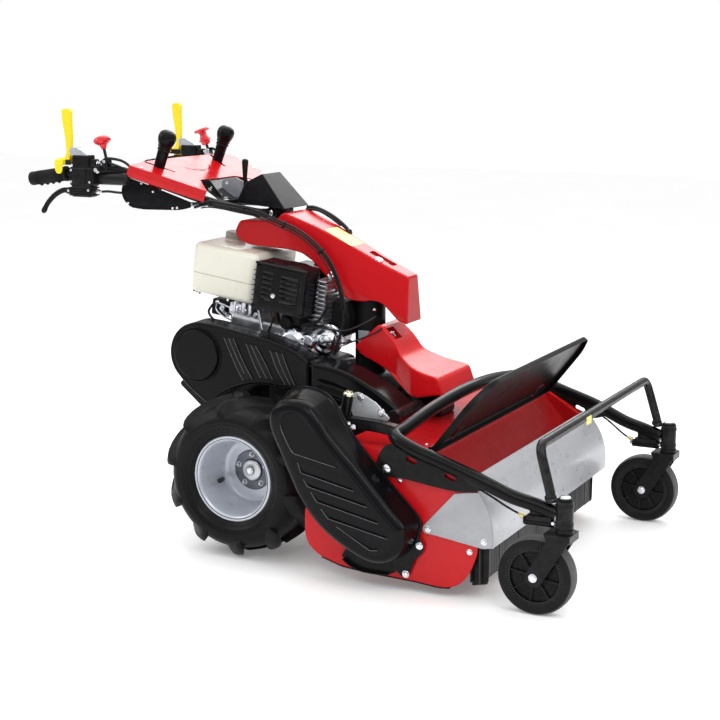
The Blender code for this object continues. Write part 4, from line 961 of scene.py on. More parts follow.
# recess at the top and the slanted louvre pockets below it
rec = [(.2610, .4660), (.2440, .4610), (.2310, .4470), (.2270, .4310), (.2329, .4103), (.2484, .3800), (.2600, .3620), (.2700, .3560), (.2790, .3545),
       (.3880, .3335), (.3935, .3355), (.3940, .3420), (.3870, .3535), (.3459, .3940), (.3080, .4330), (.2900, .4540), (.2770, .4640)]
rec = round_trip(rec, 4)
DEEP = .0030
rec_in = inset(rec, .0024)
LOUVRES = [[(.2775, .3353), (.4230, .3050), (.4400, .2765), (.2870, .3080)], [(.2947, .2911), (.4610, .2640), (.4770, .2390), (.3056, .2735)],
           [(.3160, .2598), (.4960, .2280), (.5090, .1995), (.3315, .2361)], [(.3450, .2189), (.5300, .1900), (.5340, .1625), (.3643, .1953)],
           [(.3900, .1770), (.5080, .1470), (.5060, .1290), (.4850, .1260)]]
holes = [rec]
g += loft([[(p[0], FY, p[1]) for p in rec], [(p[0], FY + DEEP, p[1]) for p in rec_in]])
g += pierced(rec_in, [], lambda x, z: (x, FY + DEEP, z))
for tl, tr, br, bl in LOUVRES:
    tl, tr, br, bl = (Vector(p) for p in (tl, tr, br, bl))
    along_ = (br - bl).normalized()
    up_ = Vector((-along_.y, along_.x))
    if up_.dot(tl - bl) < 0:
        up_ = -up_
    n_ = 10
    low = [bl.lerp(br, i / n_) for i in range(n_ + 1)]
    high = [tl.lerp(tr, i / n_) for i in range(n_ + 1)]
    foot_ = []
    for i, p in enumerate(low):
        t = i / n_
        foot_.append(p + up_ * .0026 + along_ * (.0016 * (1 - t) - .0016 * t))
    holes.append([tuple(p) for p in high] + [tuple(p) for p in reversed(low)])
    base_ = len(g.v)
    for p, q, r_ in zip(high, foot_, low):
        g.v += [Vector((p.x, FY, p.y)), Vector((q.x, FY + .0044, q.y)), Vector((r_.x, FY, r_.y))]
    for i in range(n_):
        for j in (0, 1):
            g.f.append((base_ + 3 * i + j, base_ + 3 * i + j + 1, base_ + 3 * i + j + 4, base_ + 3 * i + j + 3))
    g.f.append((base_, base_ + 1, base_ + 2))
    g.f.append((base_ + 3 * n_, base_ + 3 * n_ + 1, base_ + 3 * n_ + 2))
    g.m += [0] * (len(g.f) - len(g.m))
    # light grey beads along two sides of each pocket: painted edge highlights
    for e0, e1 in ((br, bl), (bl, tl)):
        g += rod((e0.x, FY - .0001, e0.y), (e1.x, FY - .0001, e1.y), .00075, 8).mat(1)
# the same painted edge highlight along the recess's lower lip
lip = [(.2275, .4290), (.2329, .4103), (.2484, .3800), (.2600, .3620), (.2700, .3560), (.2790, .3545), (.3880, .3335)]
for e0, e1 in zip(lip, lip[1:]):
    g += rod((e0[0], FY - .0001, e0[1]), (e1[0], FY - .0001, e1[1]), .00075, 8).mat(1)
g += pierced(inner, holes, lambda x, z: (x, FY, z))
g += loft([cover_ring(0, .0035, -.4592), cover_ring(.3, .0060, -.4800), cover_ring(.9, .0050, -.5120)])
make("cover_shell", g, ["black_satin_cover", "moulded_edge"], "chassis", "side_cover", angle=9)

# bolts, stay and lower guard round the cover
stay = plate([filleted([(.5600, .1560), (.5900, .1500), (.6030, .1330), (.5980, .1120), (.5750, .0900), (.5660, .0620), (.5500, .0400),
                        (.5350, .0440), (.5240, .0560), (.5080, .0700), (.5200, .1000), (.5500, .1200)], .012, 4, closed=True)],
             -.4660, -.4630, 'Y', .0008, 1)
band = [(.3640, .0725), (.3800, .0605), (.3947, .0530), (.4260, .0425), (.4649, .0405), (.5050, .0430), (.5240, .0520), (.5600, .1000), (.5700, .1500),
        (.4700, .1500), (.4000, .1150), (.3730, .0905)]
stay += prism(filleted(band, [.004, .01, .01, .02, .02, .01, .01, .01, .01, .01, .01, .006], 3, closed=True), -.4650, -.4592, 'Y', .0010, 2)
lip_ = [(.3720, .0680), (.3947, .0530), (.4260, .0425), (.4649, .0405), (.5050, .0430), (.5050, .0460), (.4649, .0435), (.4260, .0455), (.3947, .0560), (.3735, .0705)]
stay += prism(filleted(lip_, [.001, .01, .01, .02, .001, .001, .02, .01, .01, .001], 3, closed=True), -.4800, -.4640, 'Y', .0008, 1)
make("cover_stay", stay, "black_coat", "chassis")

# drive parts inside the cover and the casing
for name, centre, prof, mats, body, nodes in (
        ("deck_pulley", (.500, 0, .182),
         [(.0163, .4960), (.0200, .4965), (.0600, .4960), (.0620, .4945), (.0620, .4903), (.0500, .4880), (.0500, .4760), (.0620, .4737),
          (.0620, .4695), (.0600, .4680), (.0163, .4680)], "cast_alloy", "flail", "rotor_pulley"),
        ("engine_sheave", (-.030, 0, .5450),
         [(.0130, .221), (.0435, .221), (.045, .2195), (.045, .2153), (.033, .2135), (.033, .2005), (.045, .1987), (.045, .1945), (.0435, .193),
          (.0130, .193)], "steel_machined", "crank", "engine_pulley")):
    g = lathe(filleted(prof + [prof[0]], .0006, 2), centre, (0, -1, 0), 72)
    for k in range(6):
        a = math.radians(60 * k)
        r = .034 if name == "deck_pulley" else .023
        g += socket_screw((centre[0] + r * math.cos(a), -prof[0][1] - .0003, centre[2] + r * math.sin(a)), (0, -1, 0), .004, .003)
    make(name, g, mats, body, nodes)
g = lathe(filleted([(0, .221), (.066, .221), (.068, .2195), (.068, .2153), (.056, .2135), (.056, .2005), (.068, .1987), (.068, .1945), (.066, .193),
                    (.022, .193), (.022, .170), (.0123, .170), (.0123, .112), (0, .112)], .0007, 2), (-.2065, 0, .5295), (0, -1, 0), 72)
g += hex_bolt((-.2065, -.2210, .5295), (0, -1, 0), .019, .008, .013).mat(1)
make("input_sheave", g, ["steel_machined", "zinc"], "gearbox_input", "input_pulley")
g = lathe(filleted([(0, .5000), (.0110, .5000), (.0120, .4990), (.0120, .4960), (.0540, .4960), (.0540, .4903), (.0420, .4885), (.0420, .4755),
                    (.0540, .4737), (.0540, .4680), (.0200, .4680), (.0127, .4600), (.0127, .2600), (0, .2600)], .0007, 2),
          (.288, 0, .428), (0, -1, 0), 72)
make("upper_sheave_shaft", g, "steel_machined", "deck_drive", "drive_shaft")
g = lathe(filleted([(0, .243), (.0105, .243), (.0127, .2405), (.0127, .103), (0, .103)], .0005, 2), (-.030, 0, .5450), (0, -1, 0), 40)
g += box((-.0325, -.0275), (-.2405, -.2200), (.5575, .5590), .0004)
make("crank_end", g, "steel_machined", "crank", "crankshaft")


def belt(c1, r1, c2, r2, thick, y0, y1, name, node, n=64):
    """Toothed-back V belt round two pulleys."""
    d = math.hypot(c2[0] - c1[0], c2[1] - c1[1])
    base = math.degrees(math.atan2(c2[1] - c1[1], c2[0] - c1[0]))
    k = math.degrees(math.acos((r1 - r2) / d))

    def loop(e):
        return arc(*c1, r1 + e, base + k, base + 360 - k, 28) + arc(*c2, r2 + e, base - k, base + k, 28)
    a, b = loop(0), loop(-thick)
    inset_y = (y1 - y0) * .16
    rings = [[(p[0], y0, p[1]) for p in a], [(p[0], y1, p[1]) for p in a],
             [(p[0], y1 - inset_y, p[1]) for p in b], [(p[0], y0 + inset_y, p[1]) for p in b], [(p[0], y0, p[1]) for p in a]]
    g = loft(rings)
    # cogs on the inner side
    L = [0.0]
    for p, q in zip(b, b[1:] + b[:1]):
        L.append(L[-1] + math.hypot(q[0] - p[0], q[1] - p[1]))
    cnt = int(L[-1] / .009)
    for i in range(cnt):
        t = L[-1] * i / cnt
        for j in range(len(b)):
            if L[j] <= t < L[j + 1]:
                f = (t - L[j]) / max(L[j + 1] - L[j], 1e-9)
                p, q = Vector(b[j]), Vector(b[(j + 1) % len(b)])
                at = p.lerp(q, f)
                dr = (q - p).normalized()
                ang = math.atan2(dr.y, dr.x)
                g += box((-.0026, .0026), (y0 + inset_y * 1.2, y1 - inset_y * 1.2), (-.0004, .0013)).at(
                    Matrix.Translation((at.x, 0, at.y)) @ Matrix.Rotation(-ang, 4, 'Y'))
                break
    make(name, g, "belt_rubber", "chassis", node, weld=False)


belt((.288, .428), .0515, (.500, .182), .0595, .0075, -.4895, -.4745, "deck_v_belt", "deck_belt")
belt((-.030, .5450), .0425, (-.2065, .5295), .0655, .0075, -.2145, -.1995, "drive_v_belt", "drive_belt")

# ============================================================= belt casing
IPX, IPZ = -.2065, .5295
case = (arc(IPX, IPZ, .0925, 118, 218, 22) +
        [(-.2450, .4350), (-.1760, .3870), (-.1150, .4290), (-.0600, .4520), (-.0070, .4620), (.0500, .4600),
         (.0890, .4560), (.1480, .4500), (.1500, .5400), (.0980, .5700), (.0265, .5900), (-.0796, .6080),
         (-.1650, .6210), (-.2150, .6245)])
case = filleted(case, [0] * 23 + [.02, .012, .02, .02, .02, .01, .01, .008, .012, .03, .03, .03, .03, .02], 3, closed=True)
case = [(p[0], p[1]) for p in case]


def case_ring(d, y):
    return [(p[0], y, p[1]) for p in inset(case, d)]


rings = [case_ring(0, -.1720), case_ring(0, -.1735), case_ring(-.0012, -.1745), case_ring(-.0012, -.1790), case_ring(0, -.1800)]
for k in range(0, 7):
    a = math.radians(90 * k / 6)
    rings.append(case_ring(.0060 * (1 - math.cos(a)), -.2420 - .0060 * math.sin(a)))
rings += [case_ring(.0075, -.2480), case_ring(.0085, -.2470), case_ring(.0100, -.2468)]
shell = loft(rings)
face = relief(inset(case, .0100), .0090, lambda u, w: 0.0, lambda x, z, h: (x, -.2468 + h, z))
g = shell + face
for lo_, hi_ in (([(-.1163, .5860), (-.0973, .5468), (-.0764, .5038), (-.0555, .4680)], [(-.0849, .5860), (-.0565, .5261), (-.0250, .4740)]),
                 ([(-.0441, .5745), (-.0215, .5222), (.0012, .4800)], [(-.0132, .5700), (.0133, .5286), (.0397, .4800)]),
                 ([(.0329, .5610), (.0516, .5147), (.0800, .4680)], [(.0710, .5556), (.0896, .5112), (.1100, .4690)])):
    a_ = smooth_path([(p[0], 0, p[1]) for p in lo_], 6)
    b_ = smooth_path([(p[0], 0, p[1]) for p in hi_], 6)
    g += prism([(p.x, p.z) for p in b_] + [(p.x, p.z) for p in reversed(a_)], -.2504, -.2460, 'Y', .0014, 2)
    mid_ = [p.lerp(q, .5) for p, q in zip(a_, b_)]
    # three light grey lines on each band: painted edge highlights
    for line_ in (a_, mid_, b_):
        g += sweep([(p.x, -.2503, p.z) for p in line_], .0008, 8).mat(1)
g += loft([case_ring(0, -.1720), case_ring(.0035, -.1720), case_ring(.0035, -.2400)])
# plain round disc with its groove
g += lathe(filleted([(.0790, .2440), (.0790, .2492), (.0765, .2500), (.0745, .2478), (.0725, .2478), (.0715, .2500), (.0710, .2568),
                     (.0685, .2580), (0, .2580)], .0008, 2), (IPX, 0, IPZ), (0, -1, 0), 72)
make("belt_case", g, ["black_moulded", "moulded_edge"], "chassis", "belt_casing", angle=40)

front = [(.1510, .5380), (.1620, .5340), (.2200, .5280), (.2700, .5150), (.3340, .4850), (.3850, .4560), (.4300, .4200),
         (.4370, .4080), (.4300, .3960), (.3600, .4130), (.3000, .4230), (.2300, .4370), (.1510, .4480)]
front = [(p[0], p[1]) for p in filleted(front, [.002, .02, .03, .03, .03, .03, .012, .006, .012, .02, .03, .03, .002], 4, closed=True)]


def front_ring(d, y):
    return [(p[0], y, p[1]) for p in inset(front, d)]


rings = [front_ring(0, -.1400)]
for k in range(0, 8):
    a = math.radians(90 * k / 7)
    rings.append(front_ring(.0110 * (1 - math.cos(a)), -.2280 - .0110 * math.sin(a)))
rings.append(front_ring(.0130, -.2392))


def front_height(u, w):
    mid = ramp(u, [(.15, .495), (.22, .484), (.27, .470), (.33, .448), (.385, .430), (.43, .408)])
    return .0030 * (1 - step(abs(w - mid + .012), .004, .016)) * step(u, .165, .19) * (1 - step(u, .34, .39))


g = loft(rings) + relief(inset(front, .0130), .0040, front_height, lambda x, z, h: (x, -.2392 + h, z))
g += loft([front_ring(0, -.1400), front_ring(.0035, -.1400), front_ring(.0035, -.2300)])
make("case_front", g, "black_satin_cover", "chassis", "casing_front", angle=42)

# ===================================================================== hood
def sheet_cover(pts, width, r=.005, segs=4, is_open=None, flange=.010, thick=.0022, spacing=.008):
    """Folded sheet: two side faces with rounded edges and the band between them, open underneath."""
    n = len(pts)
    area = sum(pts[i][0] * pts[(i + 1) % n][1] - pts[(i + 1) % n][0] * pts[i][1] for i in range(n))
    sg = 1 if area > 0 else -1
    opened = []
    for i in range(n):
        a, b = Vector(pts[i][:2]), Vector(pts[(i + 1) % n][:2])
        d = (b - a).normalized()
        opened.append(bool(is_open and is_open((a + b) / 2, Vector((d.y, -d.x)) * sg)))
    g = Geo()
    lip = flange if is_open else 0.0
    for s in (-1, 1):
        rings = [[(p[0], s * (width(*p) - r - lip), p[1]) for p in pts]] if lip else []
        for k in range(segs + 1):
            a = math.radians(90 * k / segs)
            rings.append([(p[0], s * (width(*p) - r + r * math.sin(a)), p[1]) for p in inset(pts, r * (1 - math.cos(a)))])
        g += loft(rings)
        g += relief(inset(pts, r), spacing, lambda u, w: width(u, w), lambda x, z, h: (x, s * h, z))
    base = len(g.v)
    for p in pts:
        e = width(*p) - r - lip
        g.v += [Vector((p[0], -e, p[1])), Vector((p[0], e, p[1]))]
    for i in range(n):
        if not opened[i]:
            j = (i + 1) % n
            g.f.append((base + 2 * i, base + 2 * j, base + 2 * j + 1, base + 2 * i + 1))
            g.m.append(0)
    return through(g, ('SOLIDIFY', dict(thickness=thick, offset=-1)))


hood_pts = [(-.0200, .9290), (-.0480, .9050), (-.1750, .8980), (-.1936, .8632), (-.1818, .8427),
            (-.1410, .8273), (.0011, .8231), (.0400, .8140), (.0658, .7979), (.1080, .7560), (.1482, .7061),
            (.1813, .6868), (.2274, .6842), (.2506, .6900), (.2826, .6844), (.3309, .6366),
            (.3600, .6270), (.3560, .7600), (.2789, .7930), (.1779, .8430), (.0800, .8910)]
hood_r = [.010, .016, .012, .012, .012, .02, .02, .02, .02, .02, .02, .02, .02, .015, .015, .008, .006, .006, .03, .03, .03]
hood_o = [(p[0], p[1]) for p in filleted(hood_pts, hood_r, 3, closed=True)]


def hood_width(x, z):
    side = ramp(x, [(-.19, .055), (-.05, .070), (.0, .076), (.15, .062), (.36, .049)])
    top = ramp(x, [(-.20, .895), (-.05, .905), (-.02, .928), (.178, .842), (.279, .792), (.36, .757)])
    lean = ramp(x, [(-.05, .002), (.0, .004), (.15, .015), (.36, .017)])
    return side - lean * max(0.0, min(1.0, (z - top + .115) / .115))


g = sheet_cover(hood_o, hood_width, .0045, 4, lambda m, n: n.y < -.35 and m.x > -.175 and m.x < .325, .010, .0022, .008)
slope = math.atan2(.8910 - .7930, .2789 - .0800)
top_m = Matrix.Translation((.2220, 0, .8210)) @ Matrix.Rotation(slope, 4, 'Y')


def rounded_rect(x, y, r, n=5):
    (x0, x1), (y0, y1) = x, y
    return (arc(x1 - r, y1 - r, r, 0, 90, n) + arc(x0 + r, y1 - r, r, 90, 180, n) +
            arc(x0 + r, y0 + r, r, 180, 270, n) + arc(x1 - r, y0 + r, r, 270, 360, n))


slot_o = rounded_rect((.0, .084), (-.012, .022), .007)
g = cut(g, prism(slot_o, -.010, .008, 'Z').at(top_m))
ex = lambda o, h: [(p[0], p[1], h) for p in o]
# tray under the slot in the darker red copy: painted shade in the recess
tray = loft([ex(inset(slot_o, -.0022), -.0024), ex(inset(slot_o, .0004), -.0030), ex(inset(slot_o, .0012), -.0080),
             ex(inset(slot_o, .0030), -.0105)], False, True)
tray += box((.020, .064), (-.001, .011), (-.0105, -.0040), .002)
g += tray.mat(1).at(top_m)
g += lathe(filleted([(0, .0036), (.0028, .0036), (.0032, .0054), (.0105, .0054), (.0125, .0036), (.0132, -.001), (0, -.001)], .0006, 2),
           (.044, -.0255, 0), (0, 0, 1), 36).mat(2).at(top_m)
g += box((.0355, .0525), (-.0268, -.0242), (.0050, .0058)).mat(3).at(top_m)
# plain label on the top face
lab = prism(rounded_rect((-.150, -.052), (-.046, .034), .006), -.0003, .0006, 'Z', .0002, 1).at(
    Matrix.Translation((.2330, 0, .8156)) @ Matrix.Rotation(slope, 4, 'Y'))
g += lab.mat(4)
make("hood_shell", g, ["red_enamel", "red_enamel_lower", "zinc", "black_coat", "label_yellow"], "chassis", "hood")

lc = [(.2895, .6214), (.2770, .6240), (.2015, .5573), (.2235, .5341), (.2967, .5026), (.3859, .4382),
      (.4162, .4337), (.4854, .4500), (.5025, .4460), (.4835, .4985), (.4061, .5138), (.3515, .5446),
      (.3362, .5766)]
lc_o = [(p[0], p[1]) for p in filleted(lc, [.006, .008, .01, .01, .02, .02, .02, .01, .007, .012, .03, .02, .02], 3, closed=True)]


def lc_width(x, z):
    return ramp(x, [(.2015, .064), (.29, .066), (.336, .070), (.40, .105), (.45, .116)])


# the cover's sheet is in the brighter red copy: painted light
g = sheet_cover(lc_o, lc_width, .0050, 4, lambda m, n: n.y < -.25 or (m.x < .280 and n.x < -.1), .008, .0020, .007)
# latch recess near the right edge of the upper face, its tray in the darker red copy as painted shade
latch_m = Matrix.Translation((.3128, -.0240, .5990)) @ Matrix.Rotation(math.atan2(.0448, .0467), 4, 'Y')
latch_o = rounded_rect((-.0205, .0205), (-.0290, .0150), .004)
g = cut(g, prism(latch_o, -.012, .010, 'Z').at(latch_m))
tray = loft([ex(inset(latch_o, -.0022), -.0026), ex(inset(latch_o, .0004), -.0032), ex(inset(latch_o, .0012), -.0110),
             ex(inset(latch_o, .0030), -.0135)], False, True)
g += tray.mat(1).at(latch_m)
latch = rod((-.0060, -.0230, -.0060), (-.0060, .0090, -.0060), .0022, 16, .0004)
latch += box((-.0100, .0100), (-.0110, -.0060), (-.0100, -.0030), .0012)
latch += box((-.0020, .0080), (-.0060, .0040), (-.0100, -.0070), .0012)
g += latch.mat(2).at(latch_m)
make("coupling_cover", g, ["red_enamel_cover", "red_enamel_inner", "zinc"], "chassis", "lower_cover")

# =================================================================== engine
_tilt = Matrix.Rotation(math.radians(8), 4, 'Y')
_tp = Vector((-.050, 0, .5165))
EM = Matrix.Translation(_tp - _tilt @ _tp) @ _tilt

# fuel tank: two pressed halves with a rolled seam
foot = rounded_rect((-.330, -.110), (-.132, .118), .026, 7)


def tank_ring(d, z):
    return [(p[0], p[1], z) for p in inset(foot, d)]


rings = [tank_ring(.0190, .6552), tank_ring(.0110, .6560), tank_ring(.0055, .6590), tank_ring(.0025, .6640), tank_ring(.0018, .6700),
         tank_ring(.0014, .7120), tank_ring(.0020, .7132), tank_ring(.0042, .7138), tank_ring(.0042, .7152), tank_ring(.0012, .7158),
         tank_ring(.0, .7168), tank_ring(0, .7820), tank_ring(.0012, .7890), tank_ring(.0042, .7950), tank_ring(.0090, .7995),
         tank_ring(.0150, .8018), tank_ring(.0230, .8027)]
g = loft(rings, True, True)
g += lathe(filleted([(.0330, .0), (.0330, .0035), (.0290, .0052), (.0270, .0052)], .001, 2) + [(.0270, 0)], (-.275, .020, .8020), (0, 0, 1), 48)
for (x, y) in ((-.318, -.090), (-.318, .080), (-.122, -.090), (-.122, .080)):
    g += box((x - .014, x + .014), (y - .011, y + .011), (.6490, .6570), .0015).mat(1)
    g += hex_bolt((x, y, .6490), (0, 0, -1), .012, .006, .009).mat(2)
g = bevelled(g, .0004, 1, 60)
make("tank_shell", g, ["tank_cream", "black_coat", "zinc"], "chassis", "fuel_tank", EM, 40)

capg = lathe(filleted([(0, .0205), (.0100, .0212), (.0190, .0205), (.0235, .0225), (.0280, .0215), (.0298, .0180), (.0298, .0020), (.0285, .0003), (0, .0003)], .0012, 3),
             (-.275, .020, .8033), (0, 0, 1), 96)
for k in range(24):
    a = math.radians(15 * k)
    capg += rod((-.275 + .0290 * math.cos(a), .020 + .0290 * math.sin(a), .8058), (-.275 + .0290 * math.cos(a), .020 + .0290 * math.sin(a), .8228), .0018, 10, .0008)
make("tank_cap", capg, "cap_grey", "cap", "fuel_cap", EM, 40)

# muffler and its pressed guard
g = through(box((-.0820, .0560), (-.158, -.085), (.6820, .7870)), ('BEVEL', dict(width=.020, segments=5)))
g += sweep(smooth_path([(-.040, -.120, .690), (-.040, -.125, .660), (-.034, -.128, .640), (-.026, -.122, .610)], 6), .0120, 20).mat(1)
make("muffler_body", g, ["steel_machined", "brown_cast"], "chassis", "muffler", EM)

G0, G1, GB, GT, GY = -.0960, .0700, .6622, .8000, -.1700


def lump(x, y):
    h = .0042 * math.sin((x + .096) / .166 * math.pi) ** .5 if -.096 < x < .07 else 0
    for (cx, cy, r, a) in ((-.050, -.120, .022, .0028), (.0, -.110, .026, .0034), (.042, -.125, .020, .0026), (-.012, -.140, .014, -.0020),
                           (-.075, -.105, .016, .0018), (.028, -.098, .014, .0022)):
        h += a * math.exp(-((x - cx) ** 2 + (y - cy) ** 2) / (r * r))
    return h


gp = rounded_rect((G0, G1), (GY, -.0800), .012, 5)


def g_ring(d, z):
    return [(p[0], p[1], z) for p in inset(gp, d)]


rings = [g_ring(0, GB)] + [g_ring(0, z) for z in (.70, .75, .7860)]
for k in range(1, 6):
    a = math.radians(90 * k / 5)
    rings.append(g_ring(.0100 * (1 - math.cos(a)), .7860 + .0100 * math.sin(a)))
g = loft(rings) + relief(inset(gp, .0100), .0038, lambda u, w: lump(u, w) * step(min(u - G0, G1 - u, w - GY, -.08 - w), .010, .020),
                         lambda x, y, h: (x, y, .7960 + h))
g = through(g, ('SOLIDIFY', dict(thickness=.0018, offset=-1)))
slots = []
for z in (.7680, .7535, .7390, .7245, .7100, .6960):
    slots.append((-.0655, -.0335, z))
for z in (.7650, .7520, .7380, .7245, .7110, .6975):
    slots.append((-.0070, .0470, z))
cutters = Geo()
for (a, b, z) in slots:
    cutters += box((a, b), (-.180, -.160), (z - .0062, z - .0022))
for k in range(15):
    x = -.0570 + .0064 * k
    cutters += box((x - .0014, x + .0014), (-.180, -.160), (.7868, .7895))
cutters += box((-.0890, -.0755), (-.180, -.160), (.7850, .7885))
g = cut(g, cutters)
lips = Geo()
for (a, b, z) in slots:
    lip = prism([(-.1692, z + .0040), (-.1712, z + .0026), (-.1742, z - .0010), (-.1744, z - .0020), (-.1734, z - .0020), (-.1696, z + .0020)], a - .001, b + .001, 'X', .0004, 1)
    lips += lip
for z in (.7700, .7555, .7410, .7265, .7120, .6975, .6830):
    lips += box((-.0968, -.0800), (-.1712, -.1690), (z - .0012, z + .0012), .0005, 1)
lips += box((.0560, .0600), (-.1722, -.1690), (.6720, .7830), .0010, 2)
lips += box((-.0960, .0700), (-.1716, -.1690), (.6624, .6660), .0008, 1)
g += lips
g += lathe([(0, .0012), (.0030, .0012), (.0036, .0030), (.0064, .0028), (.0074, .0), (0, 0)], (-.0273, -.1700, .7067), (0, -1, 0), 24).mat(1)
for (x, z) in ((-.0900, .6700), (.0640, .6700), (.0640, .7900), (-.0900, .7920)):
    g += dome_bolt((x, -.1698, z), (0, -1, 0), .0042, .0026).mat(0)
make("guard_shell", g, ["black_coat", "zinc"], "chassis", "muffler_guard", EM, 38)

# air cleaner
g = through(box((-.0900, .0500), (.0350, .1290), (.6800, .7450)), ('BEVEL', dict(width=.012, segments=4)))
g += through(box((-.0860, .0460), (.0390, .1250), (.7440, .7680)), ('BEVEL', dict(width=.011, segments=4)))
for k in range(7):
    g += box((-.070 + .018 * k, -.066 + .018 * k), (.1280, .1300), (.690, .735), .0008, 1)
g += lathe(filleted([(0, .0120), (.0060, .0120), (.0150, .0080), (.0160, .0), (0, 0)], .0015, 3), (-.020, .082, .7660), (0, 0, 1), 24)
make("air_filter", g, "black_moulded", "chassis", "air_cleaner", EM)

# recoil starter on the far end
REC = (-.056, .1306, .6000)
g = lathe(filleted([(0, .0660), (.0360, .0660), (.0400, .0640), (.0750, .0590), (.0980, .0460), (.1120, .0300), (.1180, .0060), (.1180, 0), (0, 0)], .003, 3),
          REC, (0, 1, 0), 96)
holes = Geo()
for k in range(12):
    a = math.radians(30 * k)
    sl_ = prism(rounded_rect((.050, .086), (-.0045, .0045), .0040, 3), .040, .075, 'Z')
    holes += sl_.at(Matrix.Translation(REC) @ Vector((0, 0, 1)).rotation_difference(Vector((0, 1, 0))).to_matrix().to_4x4() @ Matrix.Rotation(a, 4, 'Z'))
g = cut(g, holes)
g += through(rod((.020, .150, .655), (.020, .2070, .655), .0115, 28), ('BEVEL', dict(width=.003, segments=3, limit_method='ANGLE')))
g += box((.006, .034), (.2000, .2068), (.650, .660), .002)
for k in range(4):
    a = math.radians(45 + 90 * k)
    g += hex_bolt((REC[0] + .108 * math.cos(a), .1620, REC[2] + .108 * math.sin(a)), (0, 1, 0), .010, .006, .008).mat(1)
make("starter_cover", g, ["black_satin_cover", "zinc"], "chassis", "recoil_starter", EM)

# crankcase with its ribs, dome, lugs and controls
g = through(box((-.175, .050), (-.146, .1302), (.5168, .6250)), ('BEVEL', dict(width=.014, segments=4)))
g += through(box((-.170, -.110), (-.060, .060), (.600, .6540)), ('BEVEL', dict(width=.006, segments=2)))
g += through(box((-.200, -.165), (-.058, .058), (.560, .6540)), ('BEVEL', dict(width=.005, segments=2)))
cyl = prism(filleted([(.00, .555), (.075, .570), (.0752, .705), (-.02, .660), (-.03, .60)], .01, 3, closed=True), -.076, .024, 'Y', .004, 2)
g += cyl
for k in range(7):
    z = .590 + .0135 * k
    g += prism(rounded_rect((-.012, .0750), (-.092, .034), .012, 4), z, z + .0030, 'Z', .0008, 1)
make("crank_case", g, "cast_alloy", "chassis", "engine_block", EM)

g = lathe(filleted([(0, .0300), (.0120, .0290), (.0300, .0240), (.0420, .0130), (.0460, .0), (.0470, -.0100), (0, -.0100)], .003, 3),
          (.0395, -.1400, .5800), (0, -1, 0), 64)
g += lathe(filleted([(0, .0220), (.0180, .0210), (.0240, .0140), (.0250, -.01), (0, -.01)], .002, 3), (.0780, -.1300, .5900), (.25, -1, .15), 40)
for k in range(7):
    a = math.radians(-20 + 51.4 * k)
    g += hex_bolt((.0395 + .0410 * math.cos(a), -.1530, .5800 + .0410 * math.sin(a)), (0, -1, 0), .008, .005).mat(1)
for k in range(6):
    g += box((.004 + .013 * k, .0075 + .013 * k), (-.1560, -.1380), (.5400, .5640), .0012, 1).at(Matrix.Translation((0, 0, .0)))
g += lathe(filleted([(0, .0480), (.0100, .0480), (.0115, .0440), (.0210, .0400), (.0330, .0300), (.0385, .0160), (.0400, .0), (.0400, -.0200), (0, -.0200)], .003, 3),
           (.1210, -.0900, .5980), (.25, -1, .10), 56)
g += lathe([(.0405, -.0010), (.0455, -.0010), (.0455, .0050), (.0405, .0065)], (.1210, -.0900, .5980), (.25, -1, .10), 56)
for k in range(5):
    a = math.radians(10 + 72 * k)
    g += hex_bolt((.1210 + .0435 * math.cos(a), -.0960, .5980 + .0435 * math.sin(a)), (.25, -1, .10), .008, .005).mat(1)
g += through(box((-.1650, -.0300), (-.1500, -.1380), (.5240, .5700)), ('BEVEL', dict(width=.004, segments=2)))
for x in (-.158, -.128, -.098, -.068, -.040):
    g += hex_bolt((x, -.1500, .5620), (0, -1, 0), .008, .005).mat(1)
    g += box((x - .004, x - .001), (-.1512, -.1490), (.5280, .5560), .0006, 1)
make("crank_cover", g, ["bright_alloy", "zinc"], "chassis", mtx=EM)

g = Geo()
# pillars, carburettor, taps and linkages under the tank
for (x, y, r) in ((-.1180, -.128, .0062), (-.1430, -.120, .0085), (-.2050, -.110, .0050), (-.1650, -.135, .0045)):
    g += rod((x, y, .600), (x, y, .6560), r, 20, .001)
    g += hex_bolt((x, y, .6080), (0, 0, 1), r * 2.4, .005, r * 1.6)
g += through(box((-.1900, -.1500), (-.125, -.085), (.6150, .6500)), ('BEVEL', dict(width=.005, segments=3)))
g += lathe(filleted([(0, .0260), (.0150, .0240), (.0200, .0180), (.0210, 0), (0, 0)], .003, 3), (-.1700, -.105, .6200), (0, 0, -1), 36)
g += lathe([(.0140, 0), (.0150, .002), (.0150, .010), (.0130, .012), (0, .012)], (-.1700, -.1240, .6330), (0, -1, 0), 32)
g += rod((-.2300, -.125, .6400), (-.1850, -.125, .6320), .0032, 12)
g += rod((-.2300, -.128, .6400), (-.2300, -.118, .6400), .0060, 16, .001)
g += sweep(smooth_path([(-.2300, -.130, .6400), (-.2250, -.133, .6180), (-.1900, -.134, .6020), (-.1400, -.134, .5990), (-.1000, -.134, .6040)], 8), .0024, 10)
for (x, z) in ((-.2080, .6280), (-.1330, .6350), (-.0950, .6300), (-.1000, .6060)):
    g += nut((x, -.1330, z), (0, -1, 0), .010, .006, .003)
for (ax_, az_, bx, bz) in ((-.2050, .6220, -.1800, .6080), (-.1350, .6170, -.1120, .6270)):
    pts = []
    A, B = Vector((ax_, -.1380, az_)), Vector((bx, -.1380, bz))
    d = (B - A)
    up_ = Vector((-d.z, 0, d.x)).normalized()
    for i in range(97):
        t = i / 96
        an = t * 12 * 2 * math.pi
        pts.append(A + d * t + (up_ * math.cos(an) + Vector((0, 1, 0)) * math.sin(an)) * .0032)
    g += sweep(pts, .0007, 6)
g += sweep(smooth_path([(-.0800, -.1450, .6500), (-.0720, -.1480, .6250), (-.0620, -.1500, .6000), (-.0560, -.1500, .5820)], 6), .0045, 14)
